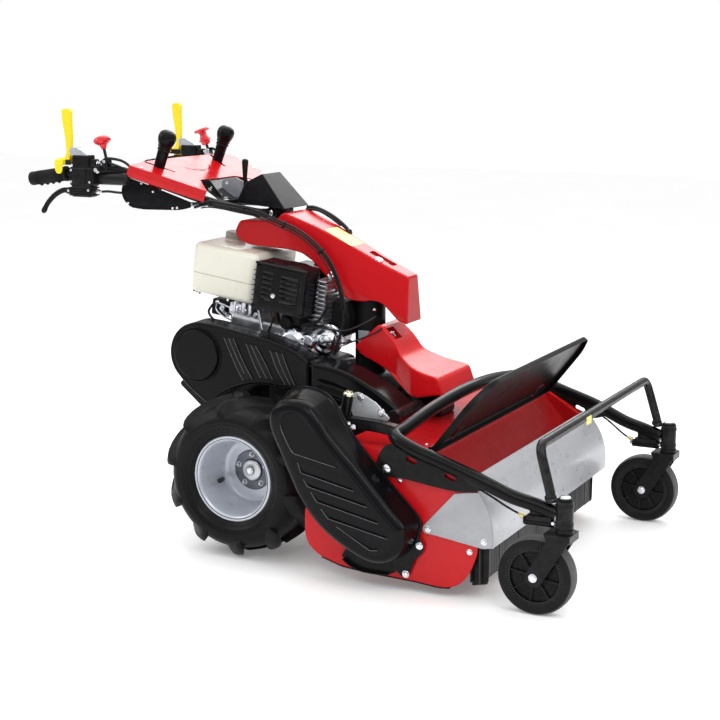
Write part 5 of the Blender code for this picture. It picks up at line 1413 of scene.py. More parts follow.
g += nut((-.0080, -.1500, .5870), (0, -1, 0), .016, .009, .005)
g += lathe([(0, .0085), (.0060, .0075), (.0085, .0035), (.0090, -.006), (0, -.006)], (.0080, -.1520, .5830), (0, -1, 0), 28)
make("engine_fittings", g, "bright_alloy", "chassis", mtx=EM)

g = Geo()
g += through(box((-.2520, -.2000), (-.120, -.070), (.6000, .6480)), ('BEVEL', dict(width=.006, segments=3)))
g += lathe(filleted([(0, .0200), (.0160, .0200), (.0185, .0160), (.0185, 0), (0, 0)], .002, 2), (.0120, -.1350, .6330), (0, -1, 0), 32)
g += through(box((.0780, .1080), (-.1050, -.0300), (.6200, .6450)), ('BEVEL', dict(width=.005, segments=2)))
g += sweep(smooth_path([(.0980, -.0900, .7300), (.1150, -.1150, .7200), (.1200, -.1250, .6900), (.1000, -.1350, .6500), (.0600, -.1450, .6350)], 8), .0042, 12)
g += sweep(smooth_path([(-.0250, -.1500, .6450), (-.0300, -.1550, .6200), (-.0420, -.1500, .5950), (-.0600, -.1460, .5700)], 8), .0030, 10)
g += sweep(smooth_path([(-.2480, -.1200, .6300), (-.2560, -.1250, .6050), (-.2300, -.1280, .5850), (-.1900, -.1300, .5800)], 8), .0035, 10)
g += through(box((-.0100, .0500), (-.1400, -.0900), (.6280, .6600)), ('BEVEL', dict(width=.006, segments=2)))
duct_ = filleted([(.1150, .6200), (.1500, .6050), (.1720, .6200), (.1720, .6700), (.1560, .7100), (.1220, .7150), (.1150, .7000)], .010, 4, closed=True)
g += prism(duct_, -.0750, .0100, 'Y', .006, 3)
g += sweep(smooth_path([(.1440, -.0780, .7000), (.1620, -.0800, .6800), (.1620, -.0800, .6400), (.1480, -.0790, .6200)], 6), .0050, 14)
make("engine_ducts", g, "black_cast", "chassis", mtx=EM)

# finned head and rocker cover
g = box((.0760, .1050), (-.100, .0200), (.6300, .7600), .004, 2)
for k in range(11):
    z = .6420 + .0122 * k
    w = .0035 * math.sin(math.pi * (k + .5) / 11)
    g += prism(rounded_rect((.0758, .1075 + w), (-.1185, .0240), .010, 4), z, z + .0036, 'Z', .0009, 1)
for k in range(4):
    g += rod((.0900, -.1120 + .004 * k, .6300), (.0900, -.1120 + .004 * k, .6310), .001, 8)
g += through(box((.0760, .1480), (-.1230, .0240), (.5700, .6350)), ('BEVEL', dict(width=.016, segments=5)))
g += through(box((.0760, .1420), (-.1245, .0255), (.6000, .6060)), ('BEVEL', dict(width=.002, segments=2)))
for (y, z) in ((-.100, .6180), (-.100, .5850), (.000, .6180), (.000, .5850)):
    g += hex_bolt((.1475, y, z), (1, 0, 0), .010, .006, .008).mat(1)
for (x, z) in ((.0960, .6120), (.1250, .6120), (.0960, .5860)):
    g += hex_bolt((x, -.1228, z), (0, -1, 0), .009, .005, .007).mat(1)
g += lathe([(0, .034), (.005, .034), (.0055, .026), (.009, .025), (.009, .016), (.006, .014), (.006, 0), (0, 0)], (.0920, -.0600, .7580), (.2, -.5, 1), 16).mat(1)
make("finned_head", g, ["cast_alloy", "zinc"], "chassis", "cylinder_head", EM)

# =============================================================== handlebars
BAR_X, BAR_Z = -.070, .924
PANEL_X, PANEL_Z = -.407, 1.064
PANEL_SLOPE = math.atan(.3957)
cp_, sp_ = math.cos(PANEL_SLOPE), math.sin(PANEL_SLOPE)
PM = Matrix(((cp_, 0, sp_, PANEL_X), (0, 1, 0, 0), (-sp_, 0, cp_, PANEL_Z), (0, 0, 0, 1)))

g = lathe(filleted([(0, .9148), (.0200, .9148), (.0220, .9130), (.0220, .8925), (0, .8925)], .0008, 2), (BAR_X, 0, 0), (0, 0, 1), 40)
g += through(box((-.092, -.050), (-.022, .022), (.9125, .9440)), ('BEVEL', dict(width=.0040, segments=3)))
g += rod((BAR_X, -.0600, BAR_Z), (BAR_X, .0600, BAR_Z), .0080, 28, .001)
arm = box((-.178, -.060), (-.052, .020), (.9415, .9465), .0016, 2)
ears = Geo()
for y in (-.0535, -.0295):
    ear = [(-.1730, .9420), (-.1570, .9420)] + arc(-.1650, .9680, .0080, 0, 180, 10)
    ears += prism(ear, y, y + .0030, 'Y', .0006, 1)
g += arm + ears
for (x, y) in ((-.120, -.010), (-.085, -.036)):
    g += hex_bolt((x, y, .9465), (0, 0, 1), .011, .006, .009).mat(1)
g += rod((-.165, -.0560, .968), (-.165, -.0240, .968), .0040, 16, .0006).mat(1)
g += hex_bolt((-.165, -.0562, .968), (0, -1, 0), .010, .0045).mat(1)
make("post_head", g, ["black_coat", "zinc"], "steering_post", "turret")

hull_pts = []
for s in (-1, 1):
    for p in ((-.099, .053, 1.0345), (-.014, .074, .9370), (-.148, .070, 1.0080), (-.176, .072, .9490)):
        hull_pts.append(Vector((p[0], s * p[1], p[2])))


def hull(points):
    bm = bmesh.new()
    for p in points:
        bm.verts.new(p)
    bmesh.ops.convex_hull(bm, input=bm.verts)
    bmesh.ops.dissolve_limit(bm, angle_limit=math.radians(1), verts=bm.verts, edges=bm.edges)
    me = bpy.data.meshes.new("hull")
    bm.to_mesh(me)
    bm.free()
    g = geo_of(me)
    bpy.data.meshes.remove(me)
    return g


outer = bevelled(hull(hull_pts), .0032, 3, 20)
inner = []
for s in (-1, 1):
    for p in ((-.1015, .050, 1.0305), (-.022, .070, .9380), (-.145, .067, 1.0040), (-.190, .069, .9900), (-.190, .069, .9200), (-.022, .070, .9200)):
        inner.append(Vector((p[0], s * p[1], p[2])))
g = cut(outer, hull(inner))
make("console_wedge", g, "black_satin_cover", "steering_post", "console_cover", angle=22)

# small release lever
g = lathe(filleted([(0, .1060), (.0050, .1060), (.0085, .1035), (.0096, .0985), (.0093, .0920), (.0064, .0540), (.0058, .0500), (.0040, .0490),
                    (.0040, 0), (0, 0)], .0012, 3), (-.1650, -.0400, .9680), (.03, 0, 1), 28)
g += rod((-.165, -.0480, .968), (-.165, -.0320, .968), .0064, 24, .0008).mat(1)
g += lathe([(.0068, .0505), (.0072, .0500), (.0072, .0470), (.0060, .0462), (0, .0462)], (-.1650, -.0400, .9680), (.03, 0, 1), 28)
make("release_knob", g, ["black_moulded", "zinc"], "release", "small_lever")

# two rails with sleeves, clamps and the cross plate
TUBE = {}
g = Geo()
for side, s in SIDES:
    pts = [(BAR_X, s * .040, BAR_Z), (-.080, s * .068, .924), (-.110, s * .095, .929), (-.232, s * .146, .960),
           (-.400, s * .239, 1.031), (-.460, s * .2700, 1.048), (-.520, s * .285, 1.0465),
           (-.620, s * .292, 1.0325), (-.722, s * .299, 1.0170)]
    path = [Vector(p) for p in pts[:1]] + smooth_path(pts[1:], 6)
    TUBE[side] = path
    g += sweep(path, .0125, 28)
    g += lathe(filleted([(.0170, .0500), (.0170, .0275), (.0085, .0275), (.0085, .0500), (.0170, .0500)], .0008, 2), (BAR_X, 0, BAR_Z), (0, s, 0), 40)
    g += hex_bolt((BAR_X, s * .0602, BAR_Z), (0, s, 0), .014, .007, .010).mat(1)
    for k in (-1, 1):
        y0, y1 = sorted((s * (.2765 + k * .0095), s * (.2765 + k * .0125)))
        lug_ = [(-.4890, 1.0480), (-.4690, 1.0480)] + arc(-.4790, 1.0720, .0085, 0, 180, 10)
        g += prism(lug_, y0, y1, 'Y', .0006, 1).mat(1 if s > 0 else 0)
    g += hex_bolt((-.4790, s * .2895, 1.0720), (0, s, 0), .009, .004).mat(1)
    g += rod((-.4790, s * .2630, 1.0720), (-.4790, s * .2900, 1.0720), .0038, 14, .0005).mat(1)
    # hexagon nut and clamp on the rail
    g += nut((-.5020, s * .2950 - .0 * s, 1.0480), (0, s, 0), .013, .006, .0035).mat(1)
    g += lathe(filleted([(.0128, .010), (.0150, .010), (.0150, -.010), (.0128, -.010), (.0128, .010)], .0008, 2),
               (-.5030, s * .2808, 1.0475), (-.95, s * .22, 0), 32)
g += through(box((-.206, -.184), (-.130, .130), (.9400, .9600)), ('BEVEL', dict(width=.0030, segments=3)))
for y in (-.095, .095):
    g += hex_bolt((-.195, y, .9600), (0, 0, 1), .012, .006, .009).mat(1)
# dark sheet between the cross plate and the panel
sheet = prism([(-.2860, 1.0120), (-.2830, 1.0120), (-.2020, .9600), (-.2060, .9590), (-.2820, 1.0075)], -.1180, .1180, 'Y', .0005, 1)
g += sheet
g += nut((-.2450, -.0980, .9880), (.55, 0, .85), .010, .005, .003).mat(1)
# pale bracket plate beside the release lever
pl = plate([filleted([(-.2471, 1.0060), (-.2350, 1.0140), (-.1994, 1.0201), (-.1713, 1.0065), (-.1860, .9700), (-.1900, .9600), (-.2050, .9600), (-.2461, .9852)], .004, 3, closed=True),
            circle(-.2290, 1.0035, .0050, 16)], -.0320, -.0295, 'Y', .0005, 1).mat(2)
g += prism([(-.2850, 1.0130), (-.2500, 1.0180), (-.2080, .9700), (-.2080, .9600)], -.1000, -.0960, 'Y', .0008, 1)
g += pl
g += box((-.2330, -.1800), (-.0320, -.0150), (.9598, .9622), .0006, 1).mat(2)
make("bar_rails", g, ["black_coat", "zinc", "plate_grey"], "handlebars", "handlebar_frame")

# sloping control panel: folded sheet with a channel along each rail
plan = [(0, -.2700), (.2043, -.1635), (.1387, -.098), (.1387, .098), (.1900, .1750), (.1286, .2660), (0, .2840), (-.012, .150), (-.014, 0), (-.012, -.150)]
plan_o = filleted(plan, [.002, .002, .012, .012, .012, .004, .002, .03, .03, .03], 3, closed=True)
holes = []
for s in (-1, 1):
    d = Vector((.886, -s * .463))
    a = Vector((s * .463, .886))
    c = Vector((.0335, s * .1600))
    st = [(-.046 + .006 * math.cos(t), .006 * math.sin(t)) for t in [math.radians(90 + 18 * i) for i in range(11)]]
    st += [(.040 + .006 * math.cos(t), .006 * math.sin(t)) for t in [math.radians(-90 + 18 * i) for i in range(11)]]
    holes.append([tuple(c + d * i + a * j) for i, j in st])
arc_slot = [(.070 + .060 * math.cos(t), .010 + .078 * math.sin(t)) for t in [math.radians(-60 + 12 * i) for i in range(11)]]
inner_ = [(.070 + .054 * math.cos(t), .010 + .073 * math.sin(t)) for t in [math.radians(60 - 12 * i) for i in range(11)]]
holes.append([(p[0] - .045, p[1]) for p in arc_slot + inner_])
g = plate([[(p[0], p[1]) for p in plan_o]] + holes, -.0028, 0, 'Z', .0007, 2)
for s in (-1, 1):
    # outer channel: folded down, with a step half way
    A0, A1 = (Vector((0, -.2700)), Vector((.2043, -.1635))) if s < 0 else (Vector((0, .2840)), Vector((.1286, .2660)))
    dr = (A1 - A0).normalized()
    nr = Vector((-dr.y, dr.x)) * (1 if s > 0 else -1)
    prof = [(.0, .0), (.0030, -.0006), (.0038, -.0040), (.0038, -.0135), (.0062, -.0160), (.0066, -.0190), (.0066, -.0330), (.0046, -.0330), (.0046, -.0170),
            (.0018, -.0150), (.0014, -.0030), (-.0010, -.0026)]
    rings = []
    for t in (0.0, .02, .98, 1.0):
        p = A0.lerp(A1, t)
        rings.append([(p.x + nr.x * e[0], p.y + nr.y * e[0], e[1]) for e in prof])
    g += loft(rings, True, True)
    d = Vector((.886, -s * .463, 0))
    a = Vector((s * .463, .886, 0))
    for k in (-1, 1):
        c = Vector((.0335, s * .1600, 0)) + a * (k * .0125)
        ear = [tuple((c + d * i + a * j)[:2]) for i, j in ((-.016, -.0015), (.016, -.0015), (.016, .0015), (-.016, .0015))]
        g += prism(ear, -.098, -.001, 'Z', .0005, 1)
    pv = Vector((.0335, s * .1600, -.088))
    g += nut(pv - a * .0150, -a, .011, .005, .0035).mat(1)
    g += hex_bolt(pv + a * .0142, a, .011, .005).mat(1)
    for t in (.15, .85):
        p = A0.lerp(A1, t)
        g += dome_bolt((p.x - nr.x * .012, p.y - nr.y * .012, 0), (0, 0, 1), .0045, .0026).mat(1)
# rear lip that turns down
g += prism([(-.0040, -.1000), (-.0040, .1000), (.0, .1000), (.0, -.1000)], -.020, -.0005, 'Z', .0006, 1).at(Matrix.Translation((-.0105, 0, 0)))
make("panel_sheet", g, ["red_enamel", "zinc"], "handlebars", "console_panel", PM, 38)

# shift levers with ball knobs
for side, s in SIDES:
    a = Vector((s * .463, .886, 0))
    rot = PM.to_3x3()
    pv = PM @ Vector((.0335, s * .1600, -.088))
    ax = (rot @ a).normalized()
    top = Vector((-.343, s * .156, 1.158))
    up = top - pv
    up -= ax * up.dot(ax)
    up.normalize()
    L = (top - pv).length
    kn = [(0, L), (.0100, L - .0009), (.0180, L - .0045), (.0232, L - .0100), (.0258, L - .0175), (.0262, L - .0250), (.0246, L - .0340),
          (.0218, L - .0420), (.0196, L - .0470), (.0204, L - .0480), (.0204, L - .0505), (.0186, L - .0520), (.0180, L - .0565), (.0194, L - .0575),
          (.0194, L - .0600), (.0174, L - .0615), (.0168, L - .0680), (.0160, .0900), (.0164, .0870), (.0154, .0790), (.0052, .0780),
          (.0050, 0), (0, 0)]
    g = lathe(filleted(kn, .0006, 1), pv, up, 48)
    g += rod(pv - ax * .0140, pv + ax * .0140, .0060, 24, .0006).mat(1)
    g += rod(pv - ax * .0100, pv + ax * .0100, .0100, 28, .001).mat(1)
    make(f"shift_knob_{side}", g, ["black_moulded", "steel_machined"], f"shift_{side}", f"shift_lever_{side}")

for side, s in SIDES:
    path = TUBE[side]
    e = path[-1]
    b = Vector((-.606, s * .2910, 1.0345))
    d = (e - b).normalized()
    # grip: flange, palm swell, finger ribs underneath and a rounded end
    prof = [(.0130, -.0002), (.0212, -.0002), (.0218, .0015), (.0218, .0070), (.0205, .0088), (.0186, .0100)]
    for k in range(30):
        t = k / 29
        prof.append((.0186 + .0012 * math.sin(math.pi * t), .0110 + .0960 * t))
    prof += [(.0197, .1090), (.0200, .1120), (.0200, .1200), (.0190, .1235), (.0160, .1255), (.0080, .1262), (0, .1262)]
    g = lathe(prof, b, d, 48)
    q = Vector((0, 0, 1)).rotation_difference(d)
    ribs = Geo()
    for k in range(22):
        h = .0135 + .0042 * k
        ring = [(.0196 + .0002 * math.sin(math.pi * k / 21), h - .0009), (.0204, h), (.0196, h + .0009), (.0180, h), (.0196, h - .0009)]
        ribs += lathe(ring, b, d, 48)
    g += ribs
    for k in range(4):
        h = .030 + .0200 * k
        c = b + d * h + Vector((0, 0, -.0172))
        g += through(lathe([(0, .0062), (.0052, .0050), (.0075, .0), (.0052, -.0050), (0, -.0062)], c, Vector((0, 1, 0)), 20))
    make(f"grip_sleeve_{side}", g, "grip_rubber", "handlebars", f"grip_{side}")

    # control body
    yc = s * .288
    core = [p for p in path if -.66 < p.x < -.40]
    body = through(box((-.5905, -.5080), (yc - .0205, yc + .0205), (1.0000, 1.0560)), ('BEVEL', dict(width=.0080, segments=3)))
    body += through(box((-.5800, -.5230), (yc - .0190, yc + .0190), (1.0450, 1.0900)), ('BEVEL', dict(width=.0060, segments=3)))
    body += through(box((-.5250, -.4890), (yc - .0140, yc + .0140), (1.0440, 1.0620)), ('BEVEL', dict(width=.0050, segments=3)))
    low = through(box((-.5860, -.5160), (yc - .0195, yc + .0195), (.9690, 1.0040)), ('BEVEL', dict(width=.0070, segments=3)))
    cap_ = prism(filleted([(-.5800, 1.0840), (-.5870, 1.0930), (-.5880, 1.1050), (-.5840, 1.1090), (-.5640, 1.1095), (-.5400, 1.0985), (-.5258, 1.0900), (-.5258, 1.0840)],
                          .003, 3, closed=True), yc - .0165, yc + .0165, 'Y', .0035, 3)
    g = body + low
    for k in range(4):
        z = .9730 + .0070 * k
        g += through(box((-.5905, -.5130), (yc - .0212, yc + .0212), (z, z + .0036)), ('BEVEL', dict(width=.0012, segments=2)))
    g += cap_.mat(1)
    g += through(box((-.5780, -.5320), (yc - .0225, yc - .0190), (1.0080, 1.0500)), ('BEVEL', dict(width=.0015, segments=2)))
    g += through(box((-.5780, -.5320), (yc + .0190, yc + .0225), (1.0080, 1.0500)), ('BEVEL', dict(width=.0015, segments=2)))
    g += through(box((-.5260, -.5040), (yc - .0120, yc + .0120), (1.0500, 1.0780)), ('BEVEL', dict(width=.004, segments=2)))
    for k in (-1, 1):
        y0, y1 = sorted((s * .290 + k * .0100, s * .290 + k * .0125))
        g += prism([(-.5860, 1.0600), (-.5860, 1.0740), (-.6240, 1.0740)] + arc(-.6240, 1.0670, .0070, 90, 270, 8)[1:] + [(-.6240, 1.0600)], y0, y1, 'Y', .0005, 1)
        y0, y1 = sorted((s * .290 + k * .0092, s * .290 + k * .0122))
        g += prism([(-.5860, .9765), (-.5860, .9960), (-.5985, .9960)] + arc(-.5985, .9862, .0097, 90, 270, 8)[1:], y0, y1, 'Y', .0005, 1)
    for (x, z) in ((-.5820, 1.0130), (-.5180, 1.0130), (-.5810, 1.0460), (-.5230, .9900)):
        g += socket_screw((x, yc - s * 0 - .0204, z), (0, -1, 0), .0036, .0024).mat(2)
        g += socket_screw((x, yc + .0204, z), (0, 1, 0), .0036, .0024).mat(2)
    # cable ferrules towards the front
    g += lathe([(0, .018), (.0034, .018), (.0040, .016), (.0046, .006), (.0060, .005), (.0060, 0), (0, 0)], (-.5080, yc, 1.0660), (1, 0, .1), 20).mat(2)
    g += lathe([(0, .024), (.0030, .024), (.0034, .018), (.0056, .017), (.0056, .010), (.0036, .009), (.0036, .005), (.0060, .004), (.0060, -.004), (0, -.004)],
               (-.5130, yc, .9850), (1, 0, .03), 20).mat(2)
    make(f"switch_body_{side}", g, ["black_moulded", "plate_grey", "zinc"], "handlebars", f"control_{side}")

    # yellow presence lever
    yl = s * .290
    blade = [(-.6330, 1.0700), (-.6320, 1.0592), (-.5960, 1.0592), (-.5935, 1.0640), (-.5930, 1.0870), (-.5900, 1.0930), (-.5895, 1.1110), (-.5870, 1.1362),
             (-.5885, 1.1814), (-.5872, 1.2110), (-.5920, 1.2188), (-.6120, 1.2190), (-.6183, 1.2120), (-.6155, 1.1809), (-.6075, 1.1356), (-.6050, 1.0958),
             (-.6110, 1.0800), (-.6300, 1.0765)]
    g = prism(filleted(blade, .0030, 3, closed=True), yl - .0060, yl + .0060, 'Y', .0022, 3)
    g += through(box((-.6330, -.5950), (yl - .0090, yl + .0090), (1.0600, 1.0790)), ('BEVEL', dict(width=.0030, segments=2)))
    # cheek that reaches down beside the grip
    y0, y1 = sorted((s * .3128, s * .3165))
    g += prism(filleted([(-.6330, 1.0740), (-.6320, 1.0440), (-.6250, 1.0350), (-.6130, 1.0350), (-.6080, 1.0420), (-.6040, 1.0740)], .004, 3, closed=True), y0, y1, 'Y', .0012, 2)
    y0, y1 = sorted((s * .2980, s * .3160))
    g += through(box((-.6325, -.6045), (y0, y1), (1.0605, 1.0760)), ('BEVEL', dict(width=.0025, segments=2)))
    g += rod((-.624, yl - .0130, 1.067), (-.624, yl + .0130, 1.067), .0040, 16, .0004)
    g += through(box((-.6040, -.6000), (yl - .0066, yl + .0066), (1.1150, 1.2020)), ('BEVEL', dict(width=.0010, segments=1)))
    make(f"presence_blade_{side}", g, "yellow_moulded", f"yellow_{side}", f"yellow_lever_{side}")

    # hand lever
    hp = smooth_path([(-.5985, s * .290, .9860), (-.6250, s * .291, .9850), (-.6520, s * .293, .9710),
                      (-.6760, s * .295, .9480), (-.6920, s * .296, .9230)], 8)
    g = sweep(hp, lambda t: .0082 - .0012 * t + .0012 * step(t, .88, .97) - .0010 * step(t, .985, 1.0), 20)
    g += rod((-.5985, s * .290 - .0080, .9860), (-.5985, s * .290 + .0080, .9860), .0080, 28, .0010)
    g += rod((-.5985, s * .290 - .0128, .9860), (-.5985, s * .290 + .0128, .9860), .0043, 16, .0006).mat(1)
    g += lathe([(0, .006), (.004, .0054), (.0064, .003), (.0070, 0), (.0064, -.003), (.004, -.0054), (0, -.006)], hp[-1], hp[-1] - hp[-2], 20)
    make(f"brake_lever_{side}", g, ["black_coat", "zinc"], f"squeeze_{side}", f"hand_lever_{side}")

    # red knob on its stem
    RP = Vector((-.4790, s * .2765, 1.0720))
    top = Vector((-.5015, s * .2690, 1.1420))
    up = (top - RP).normalized()
    L = (top - RP).length
    if s < 0:
        kn = [(0, L), (.0100, L - .0006), (.0185, L - .0030), (.0238, L - .0080), (.0250, L - .0125), (.0236, L - .0175), (.0175, L - .0225), (.0110, L - .0265),
              (.0085, L - .0310), (.0072, L - .0370), (.0052, L - .0380)]
    else:
        kn = [(0, L), (.0150, L - .0008), (.0230, L - .0030), (.0246, L - .0070), (.0232, L - .0100), (.0150, L - .0125), (.0110, L - .0155), (.0110, L - .0230),
              (.0135, L - .0290), (.0148, L - .0350), (.0200, L - .0362), (.0200, L - .0388), (.0148, L - .0402), (.0132, L - .0490), (.0100, L - .0530), (.0052, L - .0540)]
    g = lathe(filleted(kn + [(0, kn[-1][1])], .0008, 2), RP, up, 44)
    g += rod(RP, RP + up * (kn[-1][1] + .001), .0044, 18, .0004).mat(1)
    g += rod(RP + Vector((0, -.0080, 0)), RP + Vector((0, .0080, 0)), .0070, 24, .0006).mat(1)
    g += rod(RP + Vector((0, -.0132, 0)), RP + Vector((0, .0132, 0)), .0042, 16, .0004).mat(1)
    make(f"throttle_knob_{side}", g, ["red_moulded", "black_coat"], f"throttle_{side}", f"red_lever_{side}")

# teardrop cable box under the near rail
tear = arc(.045, -.070, .046, 118, 250, 24) + [(.060, -.1150), (.165, -.1050), (.198, -.0930), (.198, -.0790), (.140, -.0620), (.054, -.0370)]
tear = filleted(tear, [0] * 25 + [.01, .02, .008, .008, .03, .01], 3, closed=True)
cgm = Matrix(((.886, .463, 0, -.4480), (.463, -.886, 0, -.2500), (-.12, 0, 1, 1.0560), (0, 0, 0, 1)))
g = prism([(p[0], p[1]) for p in tear], -.0068, .0068, 'Y', .0024, 3, 50)
g += prism(inset([(p[0], p[1]) for p in tear], .009), -.0076, .0076, 'Y', .0010, 2, 50)
g += lathe([(0, .0022), (.030, .0022), (.032, .0012), (.032, -.002), (0, -.002)], (.046, .0068, -.072), (0, 1, 0), 48)
for (u, z) in ((.0560, -.0400), (.0890, -.0600), (.0170, -.1010), (.1440, -.1010), (.1570, -.0980)):
    g += dome_bolt((u, .0072, z), (0, 1, 0), .0042, .0030).mat(1)
g += lathe(filleted([(0, .048), (.0055, .048), (.0065, .046), (.0065, .0), (0, 0)], .0006, 2), (.188, 0, -.0850), (1, 0, .10), 24).mat(2)
make("cable_box", g, ["black_satin_cover", "zinc", "plate_grey"], "handlebars", "cable_guard", cgm, 40)

# loose hose ends between the controls and the panel
for side, s in SIDES:
    yc = s * .288
    g = sweep(smooth_path([(-.4920, yc, 1.0680), (-.4750, yc - s * .006, 1.0800), (-.4450, yc - s * .022, 1.0760), (-.4250, yc - s * .030, 1.0660), (-.4060, yc - s * .034, 1.0480)], 8), .0040, 14)
    g += sweep(smooth_path([(-.4900, yc, .9860), (-.4700, yc, .9875), (-.4450, yc + s * .0, .9860), (-.4250, yc + s * .0, .9850)], 6), .0036, 14)
    if s < 0:
        g += sweep(smooth_path([(-.5000, yc + .006, 1.0700), (-.4600, yc + .010, 1.0650), (-.4100, yc + .035, 1.0420)], 8), .0034, 12)
    make(f"control_hose_{side}", g, "hose_rubber", "handlebars")
# dark oval under the near rail
g = through(box((-.5180, -.4090), (-.2880, -.2550), (1.0045, 1.0420)), ('BEVEL', dict(width=.0155, segments=6)))
g += sweep(smooth_path([(-.5100, -.2710, 1.0260), (-.4600, -.2700, 1.0400), (-.4080, -.2500, 1.0350)], 8), .0050, 14)
make("junction_boot", g, "hose_rubber", "handlebars")

# ========================================================== control cables
strand = smooth_path([(-.2640, -.1590, .9430), (-.2300, -.1620, .9520), (-.2000, -.1620, .9540), (-.1600, -.1480, .9480), (-.1060, -.1240, .9370),
                      (-.0720, -.1060, .9230), (-.0200, -.0960, .9020), (.0410, -.0930, .8780), (.0950, -.0910, .8420), (.1365, -.0910, .7980),
                      (.1660, -.0960, .7450), (.1840, -.1020, .6930), (.1900, -.1060, .6550)], 8)
K = next(i for i, p in enumerate(strand) if p.x > -.0700)


def offset_strand(path, du, dy):
    out = []
    for i, p in enumerate(path):
        a, b = path[max(i - 1, 0)], path[min(i + 1, len(path) - 1)]
        t = (b - a).normalized()
        y = Vector((0, 1, 0))
        n = t.cross(y).normalized()
        out.append(p + n * du + y * dy)
    return out


STR = [(.0056, -.0030, .0034), (-.0040, .0010, .0034), (.0006, .0082, .0023), (-.0110, -.0040, .0020)]
rear, front = Geo(), Geo()
for k, (du, dy, r) in enumerate(STR):
    q = offset_strand(strand, du, dy)
    if k == 3:
        q = q[6:-12]
    kk = next(i for i, p in enumerate(q) if p.x > -.0700)
    rear += sweep(q[:kk + 1], r, 14)
    front += sweep(q[kk:], r, 14)
for i in (14, 30):
    p, q = strand[i], strand[i + 1]
    rear += lathe(filleted([(.0098, .0022), (.0112, .0022), (.0112, -.0022), (.0098, -.0022), (.0098, .0022)], .0006, 1), p, q - p, 20)
for i in (K + 9, K + 26):
    p, q = strand[i], strand[i + 1]
    front += lathe(filleted([(.0098, .0022), (.0112, .0022), (.0112, -.0022), (.0098, -.0022), (.0098, .0022)], .0006, 1), p, q - p, 20)
make("cable_rear", rear, "hose_rubber", "handlebars", "cable_bundle")
cable_front = make("cable_front", front, "hose_rubber", None, "cable_bundle")
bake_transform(cable_front)

# hose on the far side, from the post to the hood
far = Geo()
far += sweep(smooth_path([(-.0180, .0700, .9300), (.0050, .0720, .9300), (.0400, .0700, .9200), (.0800, .0640, .9020), (.1150, .0560, .8800), (.1300, .0500, .8640)], 8),
             lambda t: .0070 - .0014 * t, 16)
far += sweep(smooth_path([(-.0180, .0620, .9260), (.0200, .0640, .9240), (.0600, .0600, .9080), (.1000, .0540, .8850)], 8), .0036, 12)
far += lathe([(0, .006), (.0085, .005), (.0095, .000), (.0095, -.008), (.0075, -.010), (0, -.010)], (.1290, .0500, .8640), (.35, -.2, -.9), 20)
far_hose = make("far_hose", far, "hose_rubber", None)
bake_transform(far_hose)

# thin cables in front of the engine
g = sweep(smooth_path([(.1150, -.1500, .6080), (.1400, -.1580, .6200), (.1750, -.1500, .6150), (.2100, -.1300, .6120), (.2500, -.1000, .6300), (.2750, -.0720, .6480)], 8), .0030, 12)
g += sweep(smooth_path([(.1300, -.1500, .5700), (.1700, -.1560, .5800), (.2200, -.1350, .5800), (.2700, -.0900, .6000), (.2900, -.0640, .6150)], 8), .0026, 12)
g += sweep(smooth_path([(.1890, -.1060, .6650), (.1900, -.1120, .6200), (.1800, -.1200, .5800), (.1700, -.1250, .5400)], 8), .0042, 12)
make("throttle_cables", g, "hose_rubber", "chassis")

# ==================================================================== frame
g = prism(filleted([(-.130, .170), (-.085, .140), (.080, .140), (.150, .190), (.225, .230), (.270, .320), (.300, .379), (.335, .385), (.335, .440),
                    (.285, .480), (.150, .475), (.090, .4800), (.090, .4965), (-.190, .5358), (-.235, .5300), (-.215, .490), (-.150, .400)],
                   [.03, .03, .03, .03, .03, .03, .02, .01, .01, .02, .02, .006, .002, .002, .02, .02, .04], 4, closed=True), -.060, .060, 'Y', .0060, 3)
g += prism([(.090, .4805), (.090, .4960), (-.1900, .5353), (-.1900, .5190)], -.130, .130, 'Y', .0030, 2)
g += lathe(filleted([(.0455, -.186), (.0520, -.186), (.0520, -.172), (.0455, -.170), (.0450, -.070), (.0560, -.064), (.0560, .064), (.0450, .070), (.0455, .170),
                     (.0520, .172), (.0520, .186), (.0455, .186)], .003, 2) + [(.0190, .186), (.0190, .150), (0, .150)], (0, 0, AXLE_Z), (0, 1, 0), 48)
g += lathe([(0, -.150), (.0190, -.150), (.0190, -.186), (.0455, -.186)], (0, 0, AXLE_Z), (0, 1, 0), 48)
g += lathe(filleted([(0, .0712), (.0330, .0712), (.0350, .0690), (.0350, 0), (0, 0)], .001, 2), (.30, 0, .415), (1, 0, 0), 40)
g += lathe(filleted([(0, .292), (.0415, .292), (.0435, .290), (.0435, 0), (0, 0)], .001, 2), (.2225, 0, .450), (0, 0, 1), 56)
g += lathe(filleted([(.0436, .0240), (.0510, .0240), (.0510, .0160), (.0436, .0120)], .002, 2), (.2225, 0, .450), (0, 0, 1), 56)
g += prism(filleted([(.195, .700), (.262, .705), (.262, .735), (-.040, .892), (-.100, .876), (-.100, .858), (-.055, .850)], .008, 3, closed=True), -.026, .026, 'Y', .0030, 2)
g += lathe(filleted([(.0130, -.050), (.0300, -.050), (.0300, -.163), (.0280, -.165), (.0130, -.165)], .001, 2) + [(.0130, -.050)], (-.2065, 0, .5295), (0, 1, 0), 40)
